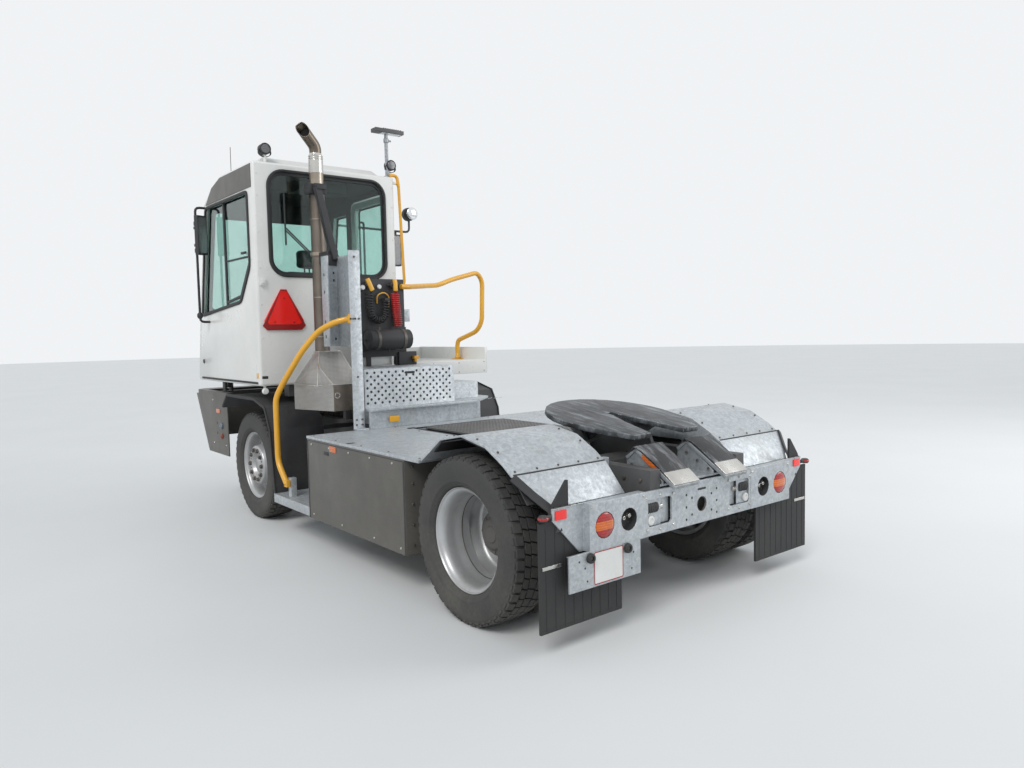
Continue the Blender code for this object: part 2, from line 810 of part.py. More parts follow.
# Chassis frame: two rails, cross members, the cab's front beam and its rear rests
def chassis_frame():
    rails = [
        block(f"rail_{side}", root,
              (side * RAIL_X - RAIL_W / 2, RAIL_FRONT_Y, RAIL_BOTTOM),
              (side * RAIL_X + RAIL_W / 2, RAIL_REAR_Y, RAIL_TOP))
        for side in (1, -1)
    ]
    frame = rails[0]
    frame.name = "chassis_frame"
    others = [rails[1]]
    for y in (RAIL_FRONT_Y + CROSS_T, GEARBOX_REAR_Y + CROSS_T, BOOM_HINGE_Y - BOOM_EYE_R - CROSS_T, RAIL_REAR_Y - CROSS_T):
        others.append(block("cross", root,
                            (-RAIL_X, y - CROSS_T / 2, RAIL_BOTTOM + SINK),
                            (RAIL_X, y + CROSS_T / 2, RAIL_BOTTOM + CROSS_H)))
    others.append(block("cab_beam", root,
                        (CAB_BEAM_RIGHT_X, CAB_HINGE_Y - CAB_BEAM_T / 2, CAB_BEAM_TOP - CAB_BEAM_H),
                        (CAB_BEAM_LEFT_X, CAB_HINGE_Y + CAB_BEAM_T / 2, CAB_BEAM_TOP)))
    others.append(block("beam_leg", root,
                        (RAIL_X - RAIL_W / 4, CAB_HINGE_Y - CAB_BEAM_T / 4, RAIL_TOP - SINK),
                        (RAIL_X + RAIL_W / 4, CAB_HINGE_Y + CAB_BEAM_T / 4, CAB_BEAM_TOP - SINK)))
    for x in (CAB_LUG_LEFT_X, CAB_LUG_RIGHT_X):
        ear = [(CAB_HINGE_Y - EAR_R, CAB_BEAM_TOP - SINK), (CAB_HINGE_Y + EAR_R, CAB_BEAM_TOP - SINK)]
        ear += ring_points(CAB_HINGE_Y, CAB_HINGE_Z, EAR_R, ROUND_SEGMENTS)[:ROUND_SEGMENTS // 2 + 1]
        for side in (1, -1):
            middle = x + side * (CAB_LUG_T / 2 + EAR_GAP + EAR_T / 2)
            others.append(plate("ear", root, ear, SIDE, (middle, 0, 0), EAR_T))
        reach = CAB_LUG_T / 2 + EAR_GAP + EAR_T / 2
        others.append(bar("pin", root, (x - reach, CAB_HINGE_Y, CAB_HINGE_Z),
                          (x + reach, CAB_HINGE_Y, CAB_HINGE_Z), CAB_PIN_R))
    others.append(block("rest_bar", root,
                        (RAIL_X - RAIL_W / 4, CAB_REST_Y - CAB_REST_W / 4, RAIL_TOP - SINK),
                        (RAIL_X + RAIL_W / 4, CAB_REST_Y + CAB_REST_W / 4, CAB_BOTTOM - CAB_REST_W)))
    others.append(block("rest_head", root,
                        (CAB_LUG_RIGHT_X, CAB_REST_Y - CAB_REST_W / 2, CAB_BOTTOM - CAB_REST_W - SINK),
                        (CAB_LUG_LEFT_X, CAB_REST_Y + CAB_REST_W / 2, CAB_BOTTOM - GAP)))
    for side in (1, -1):
        inner = side * CYL_X
        for face in (1, -1):
            a = inner + face * (CYL_EYE_W / 2 + CYL_EYE_SLACK / 2)
            low, high = sorted((a, a + face * CYL_LUG_T))
            ear = [
                (CYL_BASE_Y + CYL_EYE_R, CYL_BASE_Z - CYL_EYE_R), (CYL_BASE_Y + CYL_EYE_R, CYL_BASE_Z + CYL_EYE_R),
                (CYL_HANGER_Y + CROSS_T / 2, CYL_BASE_Z + CYL_EYE_R), (CYL_HANGER_Y + CROSS_T / 2, RAIL_BOTTOM + SINK * 3),
                (CYL_HANGER_Y - CROSS_T / 2, RAIL_BOTTOM + SINK * 3), (CYL_HANGER_Y - CROSS_T / 2, CYL_BASE_Z - CYL_EYE_R),
            ]
            others.append(plate("cylinder_ear", root, ear, SIDE, ((low + high) / 2, 0, 0), CYL_LUG_T))
        reach = CYL_EYE_W / 2 + CYL_EYE_SLACK / 2 + CYL_LUG_T / 2
        others.append(bar("cylinder_pin", root, (inner - reach, CYL_BASE_Y, CYL_BASE_Z),
                          (inner + reach, CYL_BASE_Y, CYL_BASE_Z), CYL_PIN_R))
    others.append(block("cylinder_cross", root,
                        (-RAIL_X, CYL_HANGER_Y - CROSS_T / 2 - SINK, RAIL_BOTTOM + SINK * 2),
                        (RAIL_X, CYL_HANGER_Y + CROSS_T / 2 + SINK, RAIL_BOTTOM + CROSS_T * 3 / 4)))
    for x in (RAIL_X, -RAIL_X):
        others.append(bar("boom_pin", root,
                          (x, BOOM_HINGE_Y, BOOM_HINGE_Z),
                          (x - (1 if x > 0 else -1) * (RAIL_W / 2 + RAIL_X - RAIL_W / 2 - BOOM_HALF + BOOM_WALL / 2),
                           BOOM_HINGE_Y, BOOM_HINGE_Z), BOOM_PIN_R, ROUND_SEGMENTS))
    return paint(joined(frame, others), "frame_grey")


chassis_frame()


# Front axle: a dropped beam carrying the leaf packs, with a fork at each end for the knuckle
def front_axle():
    axle = block("front_axle", root,
                 (-KINGPIN_X + KNUCKLE_DEPTH / 4, -WHEELBASE - BEAM_T / 2, TYRE_R - BEAM_H / 2),
                 (KINGPIN_X - KNUCKLE_DEPTH / 4, -WHEELBASE + BEAM_T / 2, TYRE_R + BEAM_H / 2))
    others = []
    for side in (1, -1):
        others.append(bar("fist", root,
                          (side * KINGPIN_X, -WHEELBASE, TYRE_R - KNUCKLE_H / 2 + KNUCKLE_LUG_H + RUN_GAP),
                          (side * KINGPIN_X, -WHEELBASE, TYRE_R + KNUCKLE_H / 2 - KNUCKLE_LUG_H - RUN_GAP),
                          KNUCKLE_DEPTH / 2))
        others.append(bar("kingpin", root,
                          (side * KINGPIN_X, -WHEELBASE, TYRE_R - KNUCKLE_H / 2 - SINK),
                          (side * KINGPIN_X, -WHEELBASE, TYRE_R + KNUCKLE_H / 2 + SINK), KINGPIN_R, ROUND_SEGMENTS))
        others.append(block("leaf_pack", root,
                            (side * RAIL_X - SPRING_W / 2, -WHEELBASE - SPRING_LENGTH / 2,
                             TYRE_R + BEAM_H / 2 - SINK),
                            (side * RAIL_X + SPRING_W / 2, -WHEELBASE + SPRING_LENGTH / 2,
                             TYRE_R + BEAM_H / 2 + SPRING_T)))
        for end in (1, -1):
            y = -WHEELBASE + end * (SPRING_LENGTH / 2 - SPRING_W / 2)
            others.append(block("hanger", root,
                                (side * RAIL_X - SPRING_W / 4, y - SPRING_W / 2, TYRE_R + BEAM_H / 2 + SPRING_T - SINK),
                                (side * RAIL_X + SPRING_W / 4, y + SPRING_W / 2, RAIL_BOTTOM - GAP)))
    return paint(joined(axle, others), "iron")


front_axle()


# Rear axle: drive housing with its bowl, bolted to the rails through seats
def rear_axle():
    end_x = REAR_DISC_X - DISC_T - RUN_GAP - HUB_LENGTH / 2
    axle = bar("rear_axle", root, (-end_x, 0, TYRE_R), (end_x, 0, TYRE_R), AXLE_R, ROUND_SEGMENTS)
    others = [
        bar("bowl", root, (-DIFF_W / 2, 0, TYRE_R), (DIFF_W / 2, 0, TYRE_R), DIFF_R, ROUND_SEGMENTS),
        bar("nose", root, (0, 0, TYRE_R), (0, -DIFF_R - DIFF_W / 2, SHAFT_Z), AXLE_R, PIN_SEGMENTS),
    ]
    for side in (1, -1):
        reach = end_x + HUB_LENGTH / 2
        others.append(bar("spindle", root, (side * (end_x - SINK), 0, TYRE_R), (side * reach, 0, TYRE_R),
                          SPINDLE_R, ROUND_SEGMENTS))
        others.append(block("spring_seat", root,
                            (side * RAIL_X - RAIL_W / 2, -AXLE_SEAT_L / 2, TYRE_R),
                            (side * RAIL_X + RAIL_W / 2, AXLE_SEAT_L / 2, RAIL_BOTTOM - GAP)))
        others.append(bar("drum", root,
                          (side * (REAR_OUTER_X - TWIN_SPACING - TYRE_W / 2), 0, TYRE_R),
                          (side * (REAR_OUTER_X - TWIN_SPACING - TYRE_W / 2 + DRUM_W * 2), 0, TYRE_R), DRUM_R, ROUND_SEGMENTS))
    return paint(joined(axle, others), "iron")


rear_axle()


# Engine and gearbox between the rails, plain heavy solids
def engine():
    engine_block = block("engine", root,
                         (-ENGINE_HALF, ENGINE_FRONT_Y, ENGINE_BOTTOM + BEAM_H / 2),
                         (ENGINE_HALF, ENGINE_REAR_Y - CAB_REST_W, ENGINE_TOP))
    others = [
        block("gearbox", root, (-GEARBOX_HALF, ENGINE_REAR_Y - CAB_REST_W - SINK, ENGINE_BOTTOM + BEAM_H),
              (GEARBOX_HALF, GEARBOX_REAR_Y, GEARBOX_TOP)),
    ]
    for side in (1, -1):
        others.append(block("engine_mount", root,
                            (min(side * ENGINE_HALF, side * (RAIL_X - RAIL_W / 2 - GAP)), ENGINE_FRONT_Y + CROSS_T, RAIL_TOP - CROSS_H),
                            (max(side * (ENGINE_HALF - SINK), side * (RAIL_X - RAIL_W / 2 - GAP)), ENGINE_FRONT_Y + CROSS_T * 2, RAIL_TOP - CROSS_H / 2)))
    return paint(joined(engine_block, others), "iron")


engine()


# Steered wheel ends: a forked knuckle on its kingpin, with a spindle and a steering arm
steer = {}
for side, word in ((1, "left"), (-1, "right")):
    steer[side] = body(f"{word}_kingpin_axis", (side * KINGPIN_X, -WHEELBASE, TYRE_R), root)


def knuckle(side, word):
    carrier = steer[side]
    outer = side * (KINGPIN_X + KNUCKLE_DEPTH / 2 + RUN_GAP)
    plate_end = outer + side * KNUCKLE_LUG_H
    low, high = sorted((outer, plate_end))
    piece = block(f"knuckle_{word}", carrier,
                  (low, -WHEELBASE - BEAM_T / 2, TYRE_R - KNUCKLE_H / 2),
                  (high, -WHEELBASE + BEAM_T / 2, TYRE_R + KNUCKLE_H / 2))
    others = []
    for end in (1, -1):
        z0 = TYRE_R + end * KNUCKLE_H / 2
        z1 = TYRE_R + end * (KNUCKLE_H / 2 - KNUCKLE_LUG_H)
        lo, hi = sorted((z0, z1))
        lx, hx = sorted((side * (KINGPIN_X - KNUCKLE_DEPTH / 2), plate_end - side * SINK))
        others.append(block("fork", carrier, (lx, -WHEELBASE - BEAM_T / 2 + SINK, lo),
                            (hx, -WHEELBASE + BEAM_T / 2 - SINK, hi)))
    spindle_end = side * (FRONT_TYRE_X + FRONT_DISC_OUT + DISC_T - GAP * 3)
    others.append(bar("spindle", carrier, (plate_end - side * SINK, -WHEELBASE, TYRE_R),
                      (spindle_end, -WHEELBASE, TYRE_R), SPINDLE_R, ROUND_SEGMENTS))
    lx, hx = sorted((side * (KINGPIN_X - KNUCKLE_ARM_T / 2), side * (KINGPIN_X + KNUCKLE_ARM_T / 2)))
    others.append(block("arm", carrier,
                        (lx, -WHEELBASE + BEAM_T / 4, TYRE_R - KNUCKLE_H / 2 + SINK / 2),
                        (hx, -WHEELBASE + KNUCKLE_ARM_LENGTH, TYRE_R - KNUCKLE_H / 2 + KNUCKLE_LUG_H - SINK / 2)))
    joined(piece, others)
    hole = bar("kingpin_hole", carrier,
               (side * KINGPIN_X, -WHEELBASE, TYRE_R - KNUCKLE_H),
               (side * KINGPIN_X, -WHEELBASE, TYRE_R + KNUCKLE_H), KINGPIN_R + GAP * 3, ROUND_SEGMENTS)
    cut(piece, [hole])
    return paint(piece, "iron")


for side, word in ((1, "left"), (-1, "right")):
    knuckle(side, word)

# Wheels: a tyre seated between the rim's flanges, twins on one rim at the rear
wheels = {}
for side, word in ((1, "left"), (-1, "right")):
    wheels["front", side] = body(f"front_{word}_wheel_axis", (side * FRONT_TYRE_X, -WHEELBASE, TYRE_R), steer[side])
    wheels["rear", side] = body(f"rear_{word}_wheel_axis", (side * REAR_OUTER_X, 0, TYRE_R), root)


def tyre(name, carrier, x, y):
    seat = BEAD_SEAT_R + GAP
    bead = RIM_HALF - FLANGE_T - GAP
    over = FLANGE_R + GAP * 3
    half = [
        (TYRE_R, TYRE_TREAD_HALF),
        (TYRE_R - TYRE_SHOULDER_DROP, TYRE_W / 2 - TYRE_SHOULDER_DROP / 2),
        (TYRE_WALL_R, TYRE_W / 2),
        (over + FLANGE_T, RIM_HALF + FLANGE_T / 2),
        (over, bead),
        (seat, bead),
    ]
    profile = half + [(r, -a) for r, a in half[::-1]]
    return paint(turned(name, carrier, profile, (x, y, TYRE_R), closed=True), "rubber")


def front_rim(side, word):
    carrier = wheels["front", side]
    x0, x1 = RIM_HALF, -RIM_HALF
    disc = FRONT_DISC_OUT
    inner_r = BEAD_SEAT_R - RIM_WALL
    profile = [
        (0, FRONT_HUB_OUT),
        (HUB_R * 0.55, FRONT_HUB_OUT),
        (HUB_R, disc),
        (inner_r * 0.85, disc),
        (inner_r, disc - DISC_T),
    ]
    profile += [(BEAD_SEAT_R - RIM_WALL, x0), (FLANGE_R, x0), (FLANGE_R, x0 - FLANGE_T), (BEAD_SEAT_R, x0 - FLANGE_T)]
    profile += [(BEAD_SEAT_R, x1 + FLANGE_T), (FLANGE_R, x1 + FLANGE_T), (FLANGE_R, x1), (BEAD_SEAT_R - RIM_WALL, x1)]
    profile += [
        (inner_r, disc - DISC_T * 3),
        (inner_r * 0.85, disc - DISC_T),
        (SPINDLE_R + GAP * 3, disc - DISC_T),
        (SPINDLE_R + GAP * 3, disc + DISC_T),
        (0, disc + DISC_T),
    ]
    piece = turned(f"front_rim_{word}", carrier, profile, (side * FRONT_TYRE_X, -WHEELBASE, TYRE_R), flip=side < 0)
    holes = []
    for i in range(HAND_HOLES):
        a = 2 * pi * (i + 1 / 2) / HAND_HOLES
        y, z = HAND_HOLE_CIRCLE_R * cos(a), HAND_HOLE_CIRCLE_R * sin(a)
        holes.append(bar("hand_hole", carrier,
                         (side * (FRONT_TYRE_X + disc - DISC_T * 4), -WHEELBASE + y, TYRE_R + z),
                         (side * (FRONT_TYRE_X + disc + DISC_T), -WHEELBASE + y, TYRE_R + z), HAND_HOLE_R, 8))
    return paint(cut(piece, holes), "wheel_silver")


def rear_rim(side, word):
    carrier = wheels["rear", side]
    inner_r = BEAD_SEAT_R - RIM_WALL
    disc = REAR_DISC_X - REAR_OUTER_X
    hub_end = REAR_HUB_END_X - REAR_OUTER_X
    profile = [
        (0, hub_end),
        (REAR_HUB_R, hub_end),
        (REAR_HUB_R, disc + DISC_T / 2),
        (inner_r, disc + DISC_T / 2),
    ]
    for x in (0, -TWIN_SPACING):
        profile += [
            (inner_r if x == 0 else BEAD_SEAT_R, x + RIM_HALF),
            (FLANGE_R, x + RIM_HALF),
            (FLANGE_R, x + RIM_HALF - FLANGE_T),
            (BEAD_SEAT_R, x + RIM_HALF - FLANGE_T),
            (BEAD_SEAT_R, x - RIM_HALF + FLANGE_T),
            (FLANGE_R, x - RIM_HALF + FLANGE_T),
            (FLANGE_R, x - RIM_HALF),
            (BEAD_SEAT_R if x == 0 else inner_r, x - RIM_HALF),
        ]
    profile += [(inner_r, disc - DISC_T / 2)]
    profile += [
        (SPINDLE_R + GAP * 3 + DISC_T, disc - DISC_T / 2),
        (SPINDLE_R + GAP * 3 + DISC_T, disc - DISC_T - HUB_LENGTH / 2),
        (SPINDLE_R + GAP * 3, disc - DISC_T - HUB_LENGTH / 2),
        (SPINDLE_R + GAP * 3, disc),
        (0, disc),
    ]
    piece = turned(f"rear_rim_{word}", carrier, profile, (side * REAR_OUTER_X, 0, TYRE_R), flip=side < 0)
    holes = []
    for i in range(HAND_HOLES // 2):
        a = 2 * pi * (i + 1 / 2) / (HAND_HOLES // 2)
        y, z = HAND_HOLE_CIRCLE_R * cos(a), HAND_HOLE_CIRCLE_R * sin(a)
        holes.append(bar("hand_hole", carrier,
                         (side * (REAR_DISC_X - DISC_T * 3), y, TYRE_R + z),
                         (side * (REAR_DISC_X + DISC_T * 3), y, TYRE_R + z), HAND_HOLE_R, 10))
    return paint(cut(piece, holes), "wheel_silver")


for side, word in ((1, "left"), (-1, "right")):
    tyre(f"front_tyre_{word}", wheels["front", side], side * FRONT_TYRE_X, -WHEELBASE)
    tyre(f"rear_tyre_outer_{word}", wheels["rear", side], side * REAR_OUTER_X, 0)
    tyre(f"rear_tyre_inner_{word}", wheels["rear", side], side * (REAR_OUTER_X - TWIN_SPACING), 0)
    front_rim(side, word)
    rear_rim(side, word)


# Deck plates over the rails, with the slot for the boom
def deck():
    outline = [
        (DECK_HALF, DECK_FRONT_Y), (DECK_HALF, DECK_REAR_Y), (SLOT_HALF, DECK_REAR_Y), (SLOT_HALF, SLOT_FRONT_Y),
        (-SLOT_HALF, SLOT_FRONT_Y), (-SLOT_HALF, DECK_REAR_Y), (-DECK_HALF, DECK_REAR_Y), (-DECK_HALF, DECK_FRONT_Y),
    ]
    piece = plate("deck", root, outline, TOP, (0, 0, RAIL_TOP + GAP + DECK_T / 2), DECK_T)
    return paint(piece, "galvanised")


deck()


# Side lockers hung between the wheels, on the rails' outer faces
def locker(side, word):
    low, high = sorted((side * LOCKER_INNER_X, side * LOCKER_OUTER_X))
    piece = block(f"side_locker_{word}", root, (low, LOCKER_FRONT_Y, LOCKER_BOTTOM),
                  (high, LOCKER_REAR_Y, RAIL_TOP - GAP))
    others = []
    for y in (LOCKER_FRONT_Y + CROSS_T, LOCKER_REAR_Y - CROSS_T):
        a, b = sorted((side * (RAIL_X + RAIL_W / 2 + GAP), side * (LOCKER_INNER_X + SINK)))
        others.append(block("locker_bracket", root, (a, y - CROSS_T / 2, RAIL_BOTTOM + CROSS_T), (b, y + CROSS_T / 2, RAIL_TOP - SINK)))
    return paint(joined(piece, others), "panel_grey")


for side, word in ((1, "left"), (-1, "right")):
    locker(side, word)


# Rear mudguards: a folded arch with a cheek on its inner side, standing on the rail
def mudguard(side, word):
    line = [
        (GUARD_FRONT_Y, RAIL_TOP + DECK_T / 2 + GUARD_T),
        (GUARD_LOW_Y, GUARD_LOW_Z),
        (GUARD_RISE_Y, GUARD_RISE_Z),
        (GUARD_CREST_Y, GUARD_CREST_Z),
        (GUARD_FOLD_Y, GUARD_FOLD_Z),
        (GUARD_EDGE_Y, GUARD_EDGE_Z),
        (GUARD_BEND_Y, GUARD_BEND_Z),
    ]
    middle = side * (GUARD_OUTER_X + GUARD_INNER_X) / 2
    arch = plate(f"mudguard_{word}", root, strip(line, GUARD_T), SIDE, (middle, 0, 0), GUARD_OUTER_X - GUARD_INNER_X)
    drop = Vector((0, GUARD_END_Y - GUARD_BEND_Y, GUARD_END_Z - GUARD_BEND_Z))
    lean = Matrix.Rotation(atan2(drop.z, drop.y), 4, "X")
    apron = plate("apron", root, [
        (side * GUARD_INNER_X, -SINK), (side * GUARD_OUTER_X, -SINK), (side * GUARD_OUTER_X, SINK),
        (side * GUARD_END_OUTER_X, drop.length), (side * GUARD_INNER_X, drop.length),
    ], lean, (0, GUARD_BEND_Y, GUARD_BEND_Z), GUARD_T)
    cheek = [(y, z - GUARD_T / 2) for y, z in line[1:] + [(GUARD_END_Y, GUARD_END_Z)]] + [
        (GUARD_END_Y, REAR_PLATE_BOTTOM + POCKET_H), (GUARD_CHEEK_FRONT_Y, RAIL_TOP + DECK_T),
        (GUARD_LOW_Y, RAIL_TOP + DECK_T)]
    x = side * (GUARD_INNER_X + GUARD_T / 2)
    wall = plate("cheek", root, cheek, SIDE, (x, 0, 0), GUARD_T)
    others = [wall, apron]
    for y in (GUARD_LOW_Y + CROSS_T, GUARD_CHEEK_FRONT_Y + CROSS_T * 3):
        a, b = sorted((side * (RAIL_X + RAIL_W / 2 + GAP), side * (GUARD_INNER_X + SINK)))
        others.append(block("guard_bracket", root, (a, y - CROSS_T / 4, RAIL_TOP - CROSS_T),
                            (b, y + CROSS_T / 4, RAIL_TOP + DECK_T * 2)))
        a, b = sorted((side * (GUARD_INNER_X - GUARD_T), side * (GUARD_INNER_X + SINK)))
        others.append(block("guard_foot", root, (a, y - CROSS_T / 4, RAIL_TOP - CROSS_T),
                            (b, y + CROSS_T / 4, RAIL_TOP + DECK_T * 2)))
    return paint(joined(arch, others), "galvanised")


for side, word in ((1, "left"), (-1, "right")):
    mudguard(side, word)


# Rear plate with its pockets and coupling hole, and a lamp box and bracket on each side
def rear_plate():
    y = RAIL_REAR_Y + GAP + REAR_PLATE_T / 2
    outline = [
        (-LAMP_BOX_INNER_X, REAR_PLATE_BOTTOM), (LAMP_BOX_INNER_X, REAR_PLATE_BOTTOM),
        (LAMP_BOX_INNER_X, REAR_PLATE_TOP), (-LAMP_BOX_INNER_X, REAR_PLATE_TOP),
    ]
    holes = [ring_points(0, COUPLING_HOLE_Z, COUPLING_HOLE_R, ROUND_SEGMENTS)]
    middle = (REAR_PLATE_TOP + REAR_PLATE_BOTTOM) / 2
    for side in (1, -1):
        holes.append(rounded_rectangle(side * POCKET_X - POCKET_W / 2, side * POCKET_X + POCKET_W / 2,
                                       middle - POCKET_H / 2, middle + POCKET_H / 2, REAR_PLATE_T, 1))
    piece = plate("rear_plate", root, outline, REAR, (0, y, 0), REAR_PLATE_T, holes)
    face = y + REAR_PLATE_T / 2
    others = []
    cutters = []
    for side in (1, -1):
        a, b = sorted((side * (LAMP_BOX_INNER_X - SINK), side * LAMP_BOX_OUTER_X))
        others.append(block("lamp_box", root, (a, face - LAMP_BOX_DEPTH, REAR_PLATE_BOTTOM),
                            (b, face + SINK / 2, REAR_PLATE_TOP)))
        wing = [
            (side * (LAMP_BOX_OUTER_X - SINK), REAR_PLATE_BOTTOM), (side * BRACKET_LOW_X, REAR_PLATE_BOTTOM),
            (side * BRACKET_OUTER_X, REAR_PLATE_TOP - BRACKET_TOP_H), (side * BRACKET_OUTER_X, REAR_PLATE_TOP),
            (side * (LAMP_BOX_OUTER_X - SINK), REAR_PLATE_TOP),
        ]
        others.append(plate("bracket", root, wing, REAR, (0, face - LAMP_BOX_DEPTH + HOLDER_T / 2, 0), HOLDER_T))
        cutters.append(bar("lamp_recess", root, (side * TAIL_LAMP_X, face - TAIL_LAMP_DEPTH, TAIL_LAMP_Z),
                           (side * TAIL_LAMP_X, face + OVERRUN, TAIL_LAMP_Z), TAIL_LAMP_R + GAP, ROUND_SEGMENTS))
        cutters.append(bar("socket_recess", root, (side * SOCKET_X, face - TAIL_LAMP_DEPTH, TAIL_LAMP_Z),
                           (side * SOCKET_X, face + OVERRUN, TAIL_LAMP_Z), SOCKET_R, ROUND_SEGMENTS))
    others.append(block("plate_holder", root, (HOLDER_RIGHT_X, face - HOLDER_T, HOLDER_BOTTOM),
                        (HOLDER_LEFT_X, face, REAR_PLATE_BOTTOM + SINK)))
    joined(piece, others)
    cut(piece, cutters)
    return paint(piece, "galvanised")


rear_plate()
REAR_FACE_Y = RAIL_REAR_Y + GAP + REAR_PLATE_T

# Mudflaps hung behind the wheels from the mudguards' lower edge
def mudflap(side, word):
    low, high = sorted((side * FLAP_INNER_X, side * FLAP_OUTER_X))
    y = REAR_FACE_Y - LAMP_BOX_DEPTH - GAP - FLAP_T
    top = FLAP_TOP
    piece = block(f"mudflap_{word}", root, (low, y, FLAP_BOTTOM), (high, y + FLAP_T, top))
    fin = plate("flap_fin", root, [
        (side * FLAP_FIN_INNER_X, top - SINK), (side * FLAP_FIN_FOOT_X, top - SINK), (side * FLAP_FIN_SIDE_X, FLAP_FIN_SIDE_Z),
        (side * FLAP_FIN_TOP_X, FLAP_FIN_TOP), (side * FLAP_FIN_INNER_X, FLAP_FIN_TOP),
    ], REAR, (0, y + FLAP_T / 2, 0), FLAP_T)
    return paint(joined(piece, [fin]), "rubber")


for side, word in ((1, "left"), (-1, "right")):
    mudflap(side, word)


# Guide ramps that lift a trailer's coupling onto the plate, with their webs on the frame's rear end
def guide_ramps():
    pieces = []
    drop = [(RAMP_TOP_Y, RAMP_TOP_Z), (RAMP_TIP_Y, RAMP_TIP_Z)]
    front = (RAMP_TOP_Y - CROSS_T, RAMP_FRONT_Z)
    for side in (1, -1):
        middle = side * (RAMP_INNER_X + RAMP_OUTER_X) / 2
        top = plate("ramp", root, strip([front] + drop, RAMP_T), SIDE, (middle, 0, 0), RAMP_OUTER_X - RAMP_INNER_X)
        pieces.append(top)
        for x in (RAMP_INNER_X + RAMP_WEB_T, RAMP_OUTER_X - RAMP_WEB_T):
            web = [
                (front[0] + SINK, front[1] - RAMP_T / 2),
                (RAMP_TOP_Y, RAMP_TOP_Z - RAMP_T / 2),
                (RAIL_REAR_Y - SINK, REAR_PLATE_TOP + CROSS_T / 2),
                (RAIL_REAR_Y - SINK, RAIL_BOTTOM + CROSS_H + GAP),
                (front[0] + SINK, RAIL_BOTTOM + CROSS_H + GAP),
            ]
            pieces.append(plate("web", root, web, SIDE, (side * x, 0, 0), RAMP_WEB_T))
    floor = block("guide_ramps", root,
                  (-RAIL_X + RAIL_W / 2 + GAP, RAIL_REAR_Y - CROSS_T * 3, RAIL_BOTTOM + CROSS_H + GAP),
                  (RAIL_X - RAIL_W / 2 - GAP, RAIL_REAR_Y - GAP, RAIL_BOTTOM + CROSS_H + RAMP_WEB_T))
    return paint(joined(floor, pieces), "galvanised")


guide_ramps()

# Lifting boom: a box arm hinged between the rails, carrying the coupling plate's pivot
boom_axis = body("boom_axis", (0, BOOM_HINGE_Y, BOOM_HINGE_Z), root)


